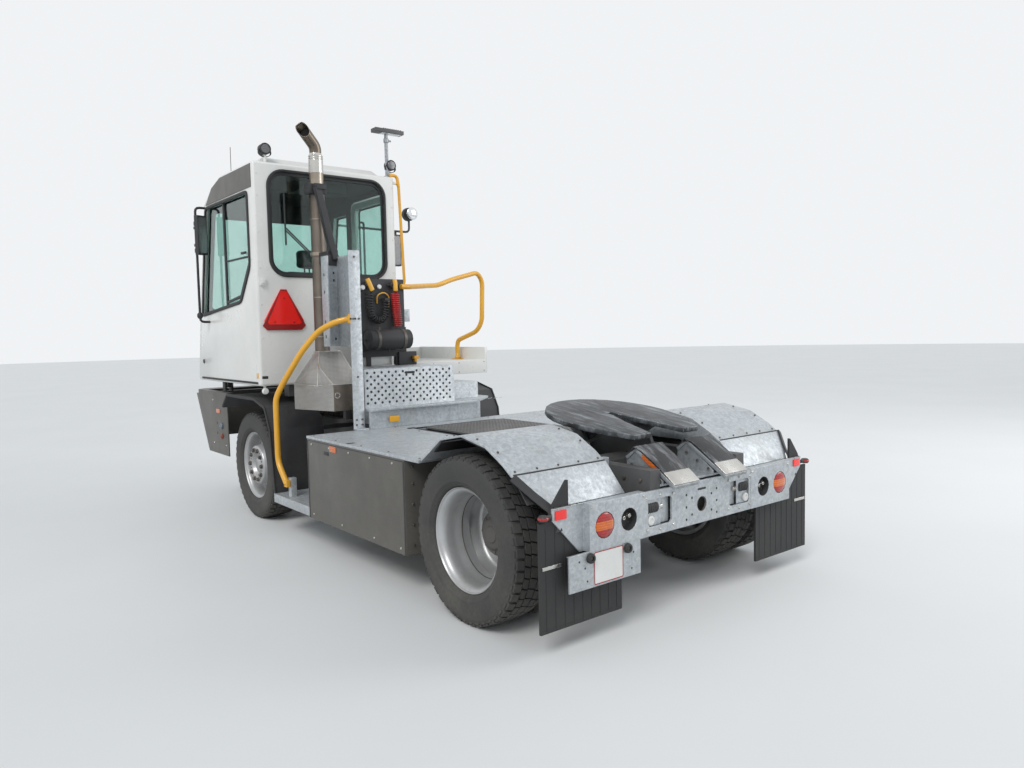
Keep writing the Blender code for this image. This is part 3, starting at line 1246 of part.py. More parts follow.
def boom():
    under = BOOM_COVER_Z - BOOM_COVER_T
    web = [
        (BOOM_HINGE_Y - BOOM_EYE_R, BOOM_HINGE_Z),
        (BOOM_HINGE_Y - BOOM_EYE_R / 2, BOOM_HINGE_Z - BOOM_EYE_R),
        (BOOM_HINGE_Y + BOOM_EYE_R, BOOM_HINGE_Z - BOOM_EYE_R),
        (PLATE_PIVOT_Y - PLATE_EAR_R * 3, BOOM_LOW_Z),
        (PLATE_PIVOT_Y + PLATE_EAR_R * 3, BOOM_LOW_Z + PLATE_EAR_R * 2),
        (PLATE_PIVOT_Y + PLATE_EAR_R, PLATE_PIVOT_Z),
        (PLATE_PIVOT_Y + PLATE_EAR_R / 2, PLATE_PIVOT_Z + PLATE_EAR_R),
        (PLATE_PIVOT_Y - PLATE_EAR_R / 2, PLATE_PIVOT_Z + PLATE_EAR_R),
        (PLATE_PIVOT_Y - PLATE_EAR_R * 2, PLATE_PIVOT_Z - PLATE_EAR_R),
        (BOOM_COVER_REAR_Y, under + SINK),
        (BOOM_HINGE_Y - BOOM_LEAD, under + SINK),
    ]
    sides = [
        plate("boom" if side > 0 else "boom_side", boom_axis, web, SIDE, (side * (BOOM_HALF - BOOM_WALL / 2), 0, 0), BOOM_WALL)
        for side in (1, -1)
    ]
    cover = block("cover", boom_axis, (-BOOM_COVER_HALF, BOOM_HINGE_Y - BOOM_LEAD, under),
                  (BOOM_COVER_HALF, BOOM_COVER_REAR_Y, BOOM_COVER_Z))
    ties = [
        block("tie", boom_axis, (-BOOM_HALF + SINK, PLATE_PIVOT_Y - PLATE_EAR_R * 4, BOOM_LOW_Z + SINK),
              (BOOM_HALF - SINK, PLATE_PIVOT_Y + PLATE_EAR_R, BOOM_LOW_Z + PLATE_EAR_R * 2)),
        bar("tie_bar", boom_axis, (-BOOM_HALF + SINK, BOOM_HINGE_Y, BOOM_HINGE_Z),
            (BOOM_HALF - SINK, BOOM_HINGE_Y, BOOM_HINGE_Z), BOOM_EYE_R - SINK, ROUND_SEGMENTS),
    ]
    lugs = []
    for side in (1, -1):
        for face in (1, -1):
            a = side * CYL_X + face * (CYL_EYE_W / 2 + CYL_EYE_SLACK / 2)
            low, high = sorted((a, a + face * CYL_LUG_T))
            lugs.append(block("lug", boom_axis, (low, CYL_TOP_Y - CYL_EYE_R, CYL_TOP_Z - CYL_EYE_R),
                              (high, CYL_TOP_Y + CYL_EYE_R, under + SINK / 2)))
        reach = CYL_EYE_W / 2 + CYL_EYE_SLACK / 2 + CYL_LUG_T / 2
        lugs.append(bar("lug_pin", boom_axis, (side * CYL_X - reach, CYL_TOP_Y, CYL_TOP_Z),
                        (side * CYL_X + reach, CYL_TOP_Y, CYL_TOP_Z), CYL_PIN_R))
        a, b = sorted((side * CYL_X - side * CYL_LUG_T, side * (BOOM_HALF - SINK)))
        lugs.append(block("lug_beam", boom_axis, (a, CYL_TOP_Y - CYL_EYE_R + SINK, under - BOOM_COVER_T),
                          (b, CYL_TOP_Y + CYL_EYE_R - SINK, under + SINK)))
    pins = [bar("plate_pin", boom_axis, (side * (BOOM_HALF - BOOM_WALL / 2), PLATE_PIVOT_Y, PLATE_PIVOT_Z),
                (side * (BOOM_HALF - BOOM_WALL - FW_RIB_T), PLATE_PIVOT_Y, PLATE_PIVOT_Z), PLATE_PIN_R)
            for side in (1, -1)]
    piece = joined(sides[0], [sides[1], cover] + ties + lugs + pins)
    holes = [bar("pin_hole", boom_axis, (side * (BOOM_HALF - BOOM_WALL * 2), BOOM_HINGE_Y, BOOM_HINGE_Z),
                 (side * (BOOM_HALF + OVERRUN), BOOM_HINGE_Y, BOOM_HINGE_Z), BOOM_PIN_R + GAP * 3, ROUND_SEGMENTS)
             for side in (1, -1)]
    cut(piece, holes)
    return paint(piece, "frame_grey")


boom()

# Coupling plate: a round plate with a wedge throat, tilted down to the rear as it rests
plate_axis = body("coupling_axis", (0, PLATE_PIVOT_Y, PLATE_PIVOT_Z), boom_axis)


def coupling_plate():
    tilt = Matrix.Rotation(-radians(FW_TILT), 4, "X")
    arc = []
    for i in range(FINE_SEGMENTS // 2 + 1):
        a = pi * i / (FINE_SEGMENTS // 2) + pi
        arc.append((FW_R * cos(a), FW_R * sin(a)))
    outline = arc + [
        (FW_SIDE_X, FW_SIDE_Y), (FW_HORN_OUT_X, FW_HORN_Y), (FW_HORN_IN_X, FW_HORN_Y),
        (FW_THROAT_HALF * 3, FW_THROAT_MOUTH_Y), (FW_THROAT_HALF, 0),
        (FW_THROAT_HALF, FW_THROAT_Y), (-FW_THROAT_HALF, FW_THROAT_Y), (-FW_THROAT_HALF, 0),
        (-FW_THROAT_HALF * 3, FW_THROAT_MOUTH_Y), (-FW_HORN_IN_X, FW_HORN_Y), (-FW_HORN_OUT_X, FW_HORN_Y),
        (-FW_SIDE_X, FW_SIDE_Y),
    ]
    centre = Matrix.Translation((0, FW_CENTRE_Y, FW_CENTRE_Z)) @ tilt
    piece = plate("coupling_plate", plate_axis, outline, TOP, (0, 0, 0), FW_T)
    piece.matrix_local = Matrix.Translation(-Vector(plate_axis["place"])) @ centre @ Matrix.Translation((0, 0, -FW_T / 2))
    others = []
    for side in (1, -1):
        a, b = sorted((side * (FW_RIB_X - FW_RIB_T), side * (BOOM_HALF - BOOM_WALL - RUN_GAP)))
        rib = [
            (PLATE_PIVOT_Y - PLATE_EAR_R, PLATE_PIVOT_Z - PLATE_EAR_R / 2),
            (PLATE_PIVOT_Y, PLATE_PIVOT_Z - PLATE_EAR_R),
            (PLATE_PIVOT_Y + PLATE_EAR_R, PLATE_PIVOT_Z - PLATE_EAR_R / 2),
            (PLATE_PIVOT_Y + FW_RIB_LENGTH / 2, FW_CENTRE_Z - FW_T - FW_RIB_T),
            (PLATE_PIVOT_Y + FW_RIB_LENGTH / 2, FW_CENTRE_Z - FW_T / 2 - (FW_RIB_LENGTH / 2 - FW_CENTRE_Y) * sin(radians(FW_TILT))),
            (PLATE_PIVOT_Y - FW_RIB_LENGTH / 2, FW_CENTRE_Z - FW_T / 2 + (FW_RIB_LENGTH / 2 + FW_CENTRE_Y) * sin(radians(FW_TILT))),
            (PLATE_PIVOT_Y - FW_RIB_LENGTH / 2, FW_CENTRE_Z - FW_T / 2 - FW_RIB_T / 2),
        ]
        others.append(plate("rib", plate_axis, rib, SIDE, ((a + b) / 2, 0, 0), b - a))
    joined(piece, others)
    holes = [bar("pivot_hole", plate_axis,
                 (side * (FW_RIB_X - FW_RIB_T - OVERRUN), PLATE_PIVOT_Y, PLATE_PIVOT_Z),
                 (side * BOOM_HALF, PLATE_PIVOT_Y, PLATE_PIVOT_Z), PLATE_PIN_R + GAP * 3)
             for side in (1, -1)]
    cut(piece, holes)
    return paint(piece, "plate_steel")


coupling_plate()

# Lift cylinders: a barrel on the frame's ears and a rod whose eye rides the boom's pin
CYL_ANGLE = atan2(CYL_TOP_Z - CYL_BASE_Z, CYL_TOP_Y - CYL_BASE_Y)


def along_cylinder(distance, x):
    return (x, CYL_BASE_Y + cos(CYL_ANGLE) * distance, CYL_BASE_Z + sin(CYL_ANGLE) * distance)


def cylinder(side, word):
    x = side * CYL_X
    length = hypot(CYL_TOP_Y - CYL_BASE_Y, CYL_TOP_Z - CYL_BASE_Z)
    barrel_axis = body(f"cylinder_{word}_axis", (x, CYL_BASE_Y, CYL_BASE_Z), root)
    rod_axis = body(f"rod_{word}_axis", (x, CYL_BASE_Y, CYL_BASE_Z), barrel_axis)
    barrel = bar(f"lift_barrel_{word}", barrel_axis, along_cylinder(CYL_NECK, x),
                 along_cylinder(CYL_BARREL_LENGTH, x), CYL_R, ROUND_SEGMENTS)
    neck = bar("barrel_neck", barrel_axis, along_cylinder(CYL_EYE_R - SINK, x), along_cylinder(CYL_NECK + SINK, x), CYL_ROD_R)
    eye = bar("barrel_eye", barrel_axis, (x - CYL_EYE_W / 2, CYL_BASE_Y, CYL_BASE_Z),
              (x + CYL_EYE_W / 2, CYL_BASE_Y, CYL_BASE_Z), CYL_EYE_R, ROUND_SEGMENTS)
    joined(barrel, [eye, neck])
    cut(barrel, [
        bar("bore", barrel_axis, along_cylinder(CYL_NECK + CYL_BORE_END, x),
            along_cylinder(CYL_BARREL_LENGTH + OVERRUN, x), CYL_ROD_R + CYL_BORE_GAP, ROUND_SEGMENTS),
        bar("eye_hole", barrel_axis, (x - CYL_EYE_W, CYL_BASE_Y, CYL_BASE_Z),
            (x + CYL_EYE_W, CYL_BASE_Y, CYL_BASE_Z), CYL_PIN_R + GAP * 3),
    ])
    paint(barrel, "frame_grey")
    rod = bar(f"lift_rod_{word}", rod_axis, along_cylinder(length - CYL_ROD_IN, x),
              along_cylinder(length - CYL_EYE_R + SINK, x), CYL_ROD_R, ROUND_SEGMENTS)
    eye = bar("rod_eye", rod_axis, (x - CYL_EYE_W / 2, CYL_TOP_Y, CYL_TOP_Z),
              (x + CYL_EYE_W / 2, CYL_TOP_Y, CYL_TOP_Z), CYL_EYE_R, ROUND_SEGMENTS)
    joined(rod, [eye])
    cut(rod, [bar("rod_eye_hole", rod_axis, (x - CYL_EYE_W, CYL_TOP_Y, CYL_TOP_Z),
                  (x + CYL_EYE_W, CYL_TOP_Y, CYL_TOP_Z), CYL_PIN_R + CYL_EYE_SLACK / 2)])
    paint(rod, "chrome_rod")


for side, word in ((1, "left"), (-1, "right")):
    cylinder(side, word)


# Front bumper: a raked steel wrap, open at the back and the underside
def bumper():
    outline = [
        (BUMPER_FRONT_Y, BUMPER_TOP), (BUMPER_LOW_FRONT_Y, BUMPER_BOTTOM),
        (BUMPER_REAR_Y, BUMPER_BOTTOM), (BUMPER_REAR_Y, BUMPER_TOP),
    ]
    piece = plate("front_bumper", root, outline, SIDE, (0, 0, 0), BUMPER_HALF * 2)
    inner = [
        (BUMPER_FRONT_Y + BUMPER_WALL * 2, BUMPER_TOP - BUMPER_WALL),
        (BUMPER_LOW_FRONT_Y + BUMPER_WALL, BUMPER_BOTTOM - OVERRUN),
        (BUMPER_REAR_Y + OVERRUN, BUMPER_BOTTOM - OVERRUN),
        (BUMPER_REAR_Y + OVERRUN, BUMPER_TOP - BUMPER_WALL),
    ]
    hollow = plate("bumper_hollow", root, inner, SIDE, (0, 0, 0), (BUMPER_HALF - BUMPER_WALL) * 2)
    clear_top = block("bumper_back", root, (-RAIL_X - RAIL_W, BUMPER_FRONT_Y + BUMPER_CORNER * 2, BUMPER_TOP - CROSS_T),
                      (CAB_BEAM_LEFT_X + RAIL_W / 2, BUMPER_REAR_Y + OVERRUN, BUMPER_TOP + OVERRUN))
    corners = []
    for side in (1, -1):
        reach = BUMPER_CORNER
        edge = [
            (side * (BUMPER_HALF + OVERRUN), BUMPER_FRONT_Y - OVERRUN),
            (side * (BUMPER_HALF + OVERRUN), BUMPER_FRONT_Y + reach + OVERRUN),
            (side * (BUMPER_HALF - reach - OVERRUN), BUMPER_FRONT_Y - OVERRUN),
        ]
        corners.append(plate("bumper_corner", root, edge, TOP, (0, 0, BUMPER_TOP), CROSS_T))
    cut(piece, [hollow, clear_top] + corners)
    stays = []
    for side in (1, -1):
        x = side * RAIL_X
        stays.append(block("stay", root, (x - RAIL_W / 4, BUMPER_STAY_Y, RAIL_BOTTOM + CROSS_T),
                           (x + RAIL_W / 4, RAIL_FRONT_Y - GAP, RAIL_BOTTOM + CROSS_T * 2)))
    return paint(joined(piece, stays), "panel_grey")


bumper()


# Front wings over the steered wheels
def wing(side, word):
    line = [
        (WING_FRONT_Y, WING_FRONT_Z), (WING_TOP_FRONT_Y, WING_TOP_Z), (WING_TOP_REAR_Y, WING_TOP_Z),
        (WING_CORNER_Y, WING_CORNER_Z), (WING_BEND_Y, WING_BEND_Z), (WING_END_Y, WING_END_Z),
    ]
    middle = side * (WING_OUTER_X + WING_INNER_X) / 2
    piece = plate(f"front_wing_{word}", root, strip(line, WING_T), SIDE, (middle, 0, 0), WING_OUTER_X - WING_INNER_X)
    stays = []
    a, b = sorted((side * (RAIL_X + RAIL_W / 2 + GAP), side * (WING_INNER_X + SINK)))
    stays.append(block("wing_stay", root, (a, WING_BEND_Y - CROSS_T / 4 - GAP, RAIL_TOP - CROSS_T / 2),
                       (b, WING_BEND_Y + CROSS_T / 4, RAIL_TOP - SINK)))
    a, b = sorted((side * (RAIL_X + RAIL_W / 4), side * (WING_INNER_X + SINK)))
    return paint(joined(piece, stays), "black_plastic")


for side, word in ((1, "left"), (-1, "right")):
    wing(side, word)


# Left step under the handrail, and the steps up to the cab's rear and right
def side_step():
    rear = LOCKER_FRONT_Y - GAP
    piece = block("left_step", root, (SIDE_STEP_INNER_X, WING_END_Y + GAP * 3, SIDE_STEP_TOP - SIDE_STEP_H),
                  (LOCKER_OUTER_X, rear, SIDE_STEP_TOP))
    post = block("step_post", root,
                 (LOCKER_OUTER_X - SIDE_STEP_POST_W * 2, SIDE_STEP_POST_Y - SIDE_STEP_POST_W / 2, SIDE_STEP_TOP - SINK),
                 (LOCKER_OUTER_X - SIDE_STEP_POST_W, SIDE_STEP_POST_Y + SIDE_STEP_POST_W / 2, SIDE_STEP_POST_TOP))
    return paint(joined(piece, [post]), "galvanised")


side_step()


def access_steps():
    base = RAIL_TOP + GAP + DECK_T + GAP
    lower = [
        (STEP_LEFT_X, STEP_TREAD_REAR_Y), (STEP_CORNER_X, STEP_TREAD_REAR_Y), (STEP_TREAD_RIGHT_X, STEP_CORNER_Y),
        (STEP_TREAD_RIGHT_X, STEP_FRONT_Y), (STEP_LEFT_X, STEP_FRONT_Y),
    ]
    piece = plate("access_steps", root, lower, TOP, (0, 0, STEP_TREAD_Z - STEP_BAND_T / 2), STEP_BAND_T)
    others = [
        block("band", root, (STEP_CORNER_X, STEP_TREAD_REAR_Y - STEP_BAND_T * 2, base),
              (STEP_LEFT_X, STEP_TREAD_REAR_Y - STEP_BAND_T, STEP_TREAD_Z - SINK)),
        block("riser", root, (STEP_RISER_RIGHT_X, STEP_RISER_Y - STEP_BAND_T, STEP_TREAD_Z - SINK),
              (STEP_LEFT_X, STEP_RISER_Y, STEP_TOP_Z)),
        block("tread", root, (STEP_RISER_RIGHT_X, BOARD_Y + BOARD_T + GAP, STEP_TOP_Z - STEP_BAND_T),
              (STEP_LEFT_X, STEP_RISER_Y - SINK, STEP_TOP_Z)),
        block("side_riser", root, (STEP_SIDE_RIGHT_X, STEP_SIDE_Y - STEP_BAND_T, STEP_TREAD_Z - SINK),
              (STEP_RISER_RIGHT_X + SINK, STEP_SIDE_Y, STEP_SIDE_TOP)),
        block("side_tread", root, (STEP_SIDE_RIGHT_X, STEP_FRONT_Y, STEP_SIDE_TOP - STEP_BAND_T),
              (STEP_RISER_RIGHT_X + SINK, STEP_SIDE_Y - SINK, STEP_SIDE_TOP)),
        block("side_wall", root, (STEP_RISER_RIGHT_X, STEP_FRONT_Y, STEP_TREAD_Z - SINK),
              (STEP_RISER_RIGHT_X + STEP_BAND_T, STEP_RISER_Y - SINK, STEP_TOP_Z - SINK)),
        block("left_wall", root, (STEP_LEFT_X - STEP_BAND_T, STEP_FRONT_Y, STEP_TREAD_Z - SINK),
              (STEP_LEFT_X, STEP_RISER_Y - SINK, STEP_TOP_Z - SINK)),
    ]
    for x in (RAIL_X, -RAIL_X):
        others.append(block("foot", root, (x - RAIL_W / 2, STEP_FRONT_Y, RAIL_TOP + GAP),
                            (x + RAIL_W / 2, DECK_FRONT_Y - GAP, STEP_TREAD_Z - SINK)))
    return paint(joined(piece, others), "galvanised")


access_steps()


# Right platform: a white engine cover with a raised outer wall
def right_platform():
    piece = block("right_platform", root, (TRAY_RIGHT_X, TRAY_FRONT_Y, TRAY_BOTTOM), (TRAY_LEFT_X, TRAY_REAR_Y, TRAY_FLOOR))
    wall = block("outer_wall", root, (TRAY_RIGHT_X, TRAY_FRONT_Y, TRAY_FLOOR - SINK),
                 (TRAY_RIGHT_X + TRAY_WALL_T, TRAY_REAR_Y, TRAY_WALL_TOP))
    front = block("front_wall", root, (TRAY_RIGHT_X + SINK, TRAY_FRONT_Y, TRAY_FLOOR - SINK),
                  (TRAY_LEFT_X, TRAY_FRONT_Y + TRAY_WALL_T, TRAY_WALL_TOP - SINK))
    skirt = block("skirt", root, (-RAIL_X - RAIL_W / 2, TRAY_FRONT_Y, RAIL_TOP + GAP),
                  (-RAIL_X + RAIL_W / 4, TRAY_REAR_Y - CROSS_T, TRAY_BOTTOM + SINK))
    return paint(joined(piece, [wall, front, skirt]), "cab_white")


right_platform()


# Exhaust stack with its elbow and clamps
def exhaust_stack():
    mouth = Vector((MOUTH_X, MOUTH_Y, MOUTH_Z))
    aim = (mouth - Vector((STACK_X, STACK_Y, ELBOW_BEND_Z))).normalized()
    piece = bar("exhaust_stack", root, (STACK_X, STACK_Y, STACK_BOTTOM), (STACK_X, STACK_Y, STACK_TOP), STACK_R, ROUND_SEGMENTS)
    route = rounded([
        (STACK_X, STACK_Y, STACK_TOP - STACK_R), (STACK_X, STACK_Y, ELBOW_BEND_Z), tuple(mouth + aim * ELBOW_BEND_R)
    ], ELBOW_BEND_R, 4)
    elbow = tube("elbow", root, route, ELBOW_R, 3)
    rings = [
        bar("clamp", root, (STACK_X, STACK_Y, z - CLAMP_H / 2), (STACK_X, STACK_Y, z + CLAMP_H / 2), CLAMP_R, ROUND_SEGMENTS)
        for z in (CLAMP_LOW_Z, CLAMP_HIGH_Z)
    ]
    collar = bar("collar", root, (STACK_X, STACK_Y, STACK_TOP - STACK_R), (STACK_X, STACK_Y, COLLAR_TOP), COLLAR_R, ROUND_SEGMENTS)
    joined(piece, rings + [collar, elbow])
    face = Vector(MOUTH_FACE).normalized()
    cut(piece, [
        bar("slash", root, mouth, mouth + face * ELBOW_BEND_R * 3, ELBOW_BEND_R * 2, ROUND_SEGMENTS),
        bar("mouth", root, mouth - aim * ELBOW_BEND_R, mouth + aim * ELBOW_BEND_R * 2, ELBOW_R - STACK_WALL, ROUND_SEGMENTS),
    ])
    return paint(piece, "stainless")


exhaust_stack()


# Exhaust guard: a box with a hipped top, standing behind the stack
def exhaust_guard():
    side_view = [
        (COVER_FRONT_Y, COVER_BOTTOM), (COVER_REAR_Y, COVER_BOTTOM), (COVER_REAR_Y, COVER_RIM_Z),
        (COVER_TOP_REAR_Y, COVER_TOP_Z), (COVER_TOP_FRONT_Y, COVER_TOP_Z), (COVER_FRONT_Y, COVER_RIM_Z),
    ]
    rear_view = [
        (COVER_RIGHT_X, COVER_BOTTOM), (COVER_LEFT_FRONT_X, COVER_BOTTOM), (COVER_LEFT_FRONT_X, COVER_RIM_Z),
        (COVER_TOP_LEFT_X, COVER_TOP_Z), (COVER_TOP_RIGHT_X, COVER_TOP_Z), (COVER_RIGHT_X, COVER_RIM_Z),
    ]
    plan = [
        (COVER_RIGHT_X, COVER_REAR_Y), (COVER_LEFT_REAR_X, COVER_REAR_Y),
        (COVER_LEFT_FRONT_X, COVER_FRONT_Y), (COVER_RIGHT_X, COVER_FRONT_Y),
    ]
    wide = (COVER_RIGHT_X + COVER_LEFT_FRONT_X) / 2
    piece = plate("exhaust_guard", root, side_view, SIDE, (wide, 0, 0), COVER_LEFT_FRONT_X - COVER_RIGHT_X)
    deep = (COVER_FRONT_Y + COVER_REAR_Y) / 2
    across = plate("guard_front", root, rear_view, REAR, (0, deep, 0), COVER_REAR_Y - COVER_FRONT_Y + OVERRUN)
    below = plate("guard_plan", root, plan, TOP, (0, 0, COVER_RIM_Z), COVER_TOP_Z - COVER_BOTTOM + OVERRUN * 8)
    return paint(share_of(piece, [across, below]), "stainless")


exhaust_guard()


# Column: a galvanised post on the deck with a channel behind it and a stay to the stack
def stack_column():
    foot = RAIL_TOP + GAP + DECK_T + GAP
    piece = block("stack_column", root, (POST_RIGHT_X, POST_Y, foot), (POST_LEFT_X, POST_Y + POST_T, POST_TOP))
    others = [
        block("post_foot", root, (POST_RIGHT_X, POST_Y, foot), (POST_LEFT_X, POST_Y + CROSS_T, foot + POST_FOOT_H)),
        block("web", root, (POST_RIGHT_X, CHANNEL_Y, CHANNEL_BOTTOM), (POST_RIGHT_X + POST_T, POST_Y + SINK, CHANNEL_TOP)),
        block("channel", root, (POST_RIGHT_X, CHANNEL_Y - POST_T, CHANNEL_BOTTOM), (CHANNEL_LEFT_X, CHANNEL_Y, CHANNEL_TOP)),
        block("channel_lip", root, (CHANNEL_LEFT_X - POST_T, CHANNEL_Y - SINK, CHANNEL_BOTTOM),
              (CHANNEL_LEFT_X, CHANNEL_Y + CHANNEL_D, CHANNEL_TOP)),
        block("stay_lug", root, (STACK_X - STAY_T, STACK_Y + CLAMP_R + GAP, CLAMP_HIGH_Z - CLAMP_H / 2),
              (STACK_X + STAY_W, STACK_Y + CLAMP_R + STAY_T * 2, CLAMP_HIGH_Z + CLAMP_H / 2)),
        flat_bar("stay", root, (STACK_X + CLAMP_R / 2, STACK_Y + CLAMP_R + GAP + STAY_T, CLAMP_HIGH_Z),
                 (POST_RIGHT_X + STAY_T, CHANNEL_Y + STAY_T, CHANNEL_TOP - STAY_T), STAY_W, STAY_T),
        block("low_bracket", root, (POST_RIGHT_X + SINK, STACK_Y + CLAMP_R + GAP, CHANNEL_TOP - STAY_W),
              (POST_RIGHT_X + CROSS_T, CHANNEL_Y - POST_T / 2, CLAMP_LOW_Z + CLAMP_H / 4)),
    ]
    return paint(joined(piece, others), "galvanised")


stack_column()


# Hose board behind the cab: a dark panel with the hose couplers' pegs, and the air tank under it
def hose_board():
    piece = block("hose_board", root, (BOARD_RIGHT_X, BOARD_Y, STEP_TOP_Z + CROSS_T), (BOARD_LEFT_X, BOARD_Y + BOARD_T, BOARD_TOP))
    others = []
    for x in (BOARD_LEFT_X - CROSS_T, BOARD_RIGHT_X + CROSS_T):
        others.append(block("board_leg", root, (x - BOARD_T, BOARD_Y, RAIL_TOP + GAP),
                            (x + BOARD_T, BOARD_Y + BOARD_T, STEP_TOP_Z + CROSS_T + SINK)))
    others.append(bar("air_tank", root, (TANK_RIGHT_X, TANK_Y, TANK_Z), (TANK_LEFT_X, TANK_Y, TANK_Z), TANK_R, ROUND_SEGMENTS))
    for x in (TANK_RIGHT_X + TANK_R, TANK_LEFT_X - TANK_R):
        others.append(block("tank_seat", root, (x - BOARD_T, BOARD_Y + BOARD_T - SINK, TANK_Z - TANK_R / 2),
                            (x + BOARD_T, TANK_Y, TANK_Z + TANK_R / 2)))
    for x in (COUPLER_LEFT_X, COUPLER_RIGHT_X):
        others.append(bar("coupler", root, (x, BOARD_Y + BOARD_T - SINK, COUPLER_Z), (x, BOARD_Y + COUPLER_LENGTH, COUPLER_Z), COUPLER_R))
    return paint(joined(piece, others), "black_plastic")


hose_board()


# Coiled hoses as tubes of their outer diameter: the black one loops up, the red one hangs
def coil(word, route, look):
    piece = tube(f"coiled_hose_{word}", root, rounded(route, HOSE_R * 2, 4), HOSE_R, 2)
    return paint(piece, look)


HOSE_Y = BOARD_Y + BOARD_T + GAP + COUPLER_LENGTH / 2
HOSE_TOP = COUPLER_Z - COUPLER_R - GAP
coil("black", [
    (COUPLER_LEFT_X, HOSE_Y, HOSE_TOP), (0.35, HOSE_Y, 1.86), (0.33, HOSE_Y, 1.77), (0.25, HOSE_Y, 1.745),
    (0.2, HOSE_Y, 1.79), (0.19, HOSE_Y, 1.88), (0.19, HOSE_Y, 1.93)], "hose_black")
coil("red", [(COUPLER_RIGHT_X, HOSE_Y, HOSE_TOP), (0.09, HOSE_Y, 1.9), (0.07, HOSE_Y, 1.7)], "hose_red")


# Handrails: each bend is a share of the way from the start of its run to the end
def between(start, end, shares):
    return tuple(a + (b - a) * share for a, b, share in zip(start, end, shares))


def handrails():
    foot_x = LOCKER_OUTER_X - SIDE_STEP_POST_W + GAP + TUBE_R
    start_x = POST_LEFT_X - TUBE_R
    top = (start_x, LEFT_RAIL_BEND_Y, LEFT_RAIL_TOP)
    foot = (foot_x, LEFT_RAIL_REACH_Y, LEFT_RAIL_FOOT_Z)
    route = [(start_x, POST_Y - GAP, LEFT_RAIL_TOP), top]
    route += [between(top, foot, shares) for shares in LEFT_RAIL_SHARES]
    route.append((foot_x, SIDE_STEP_POST_Y, LEFT_RAIL_FOOT_Z))
    left = tube("handrail_left", root, rounded(route, RAIL_BEND_R), TUBE_R, 2)
    paint(left, "rail_yellow")
    right_y = BOARD_Y + BOARD_T + GAP + TUBE_R
    start = (BOARD_RIGHT_X - TUBE_R * 2, right_y, RIGHT_RAIL_Z)
    corner = (RIGHT_RAIL_CORNER_X, RIGHT_RAIL_CORNER_Y, RIGHT_RAIL_TOP)
    floor_end = (RIGHT_RAIL_FOOT_X, RIGHT_RAIL_FOOT_Y, TRAY_FLOOR + GAP)
    route = [(BOARD_RIGHT_X + TUBE_R * 2, right_y, RIGHT_RAIL_Z), start]
    route += [between(start, corner, shares) for shares in RIGHT_RAIL_UPPER_SHARES]
    route += [between(corner, floor_end, shares) for shares in RIGHT_RAIL_LOWER_SHARES]
    route.append(floor_end)
    right = tube("handrail_right", root, rounded(route, RAIL_BEND_R), TUBE_R, 2)
    paint(right, "rail_yellow")


handrails()


# Cab: a hollow shell on two front lugs, tilting forward about their pins
cab_axis = body("cab_axis", (0, CAB_HINGE_Y, CAB_HINGE_Z), root)
CAB_MID_X = (CAB_LEFT_X + CAB_RIGHT_X) / 2
SCREEN_LENGTH = hypot(CAB_BROW_Y - CAB_WAIST_Y, CAB_BROW_Z - CAB_WAIST_Z)
SCREEN_TURN = Matrix.Rotation(-atan2(CAB_BROW_Y - CAB_WAIST_Y, CAB_BROW_Z - CAB_WAIST_Z), 4, "X")
SIDE_PANE = [
    (SIDE_PANE_REAR_Y, SIDE_PANE_TOP), (SIDE_PANE_REAR_Y, SIDE_PANE_STEP_Z), (SIDE_PANE_LOW_Y, SIDE_PANE_LOW_Z),
    (SIDE_PANE_FRONT_Y, SIDE_PANE_NOSE_Z), (SIDE_PANE_BROW_Y, SIDE_PANE_TOP),
]
QUARTER = [
    (QUARTER_REAR_Y, QUARTER_TOP), (QUARTER_REAR_Y, QUARTER_BOTTOM),
    (QUARTER_FRONT_Y, QUARTER_BOTTOM), (QUARTER_TOP_FRONT_Y, QUARTER_TOP),
]
REAR_PANE = rounded_rectangle(REAR_PANE_RIGHT_X, REAR_PANE_LEFT_X, REAR_PANE_BOTTOM, REAR_PANE_TOP, REAR_PANE_R)
DOOR_PANE = rounded_rectangle(DOOR_FRONT_Y + DOOR_FRAME, DOOR_REAR_Y - DOOR_FRAME, DOOR_PANE_BOTTOM,
                              DOOR_TOP - DOOR_FRAME, DOOR_FRAME / 2, 2)
DOOR_OUTLINE = rounded_rectangle(DOOR_FRONT_Y, DOOR_REAR_Y, DOOR_BOTTOM, DOOR_TOP, DOOR_FRAME, 2)


def shrunk(outline, share):
    cu = sum(p[0] for p in outline) / len(outline)
    cv = sum(p[1] for p in outline) / len(outline)
    return [(cu + (u - cu) * share, cv + (v - cv) * share) for u, v in outline]


def screen_block(name, width, thickness, length):
    y = (CAB_WAIST_Y + CAB_BROW_Y) / 2 + CAB_WALL / 2
    z = (CAB_WAIST_Z + CAB_BROW_Z) / 2
    return block(name, cab_axis, (CAB_MID_X - width / 2, y - thickness / 2, z - length / 2),
                 (CAB_MID_X + width / 2, y + thickness / 2, z + length / 2), SCREEN_TURN)


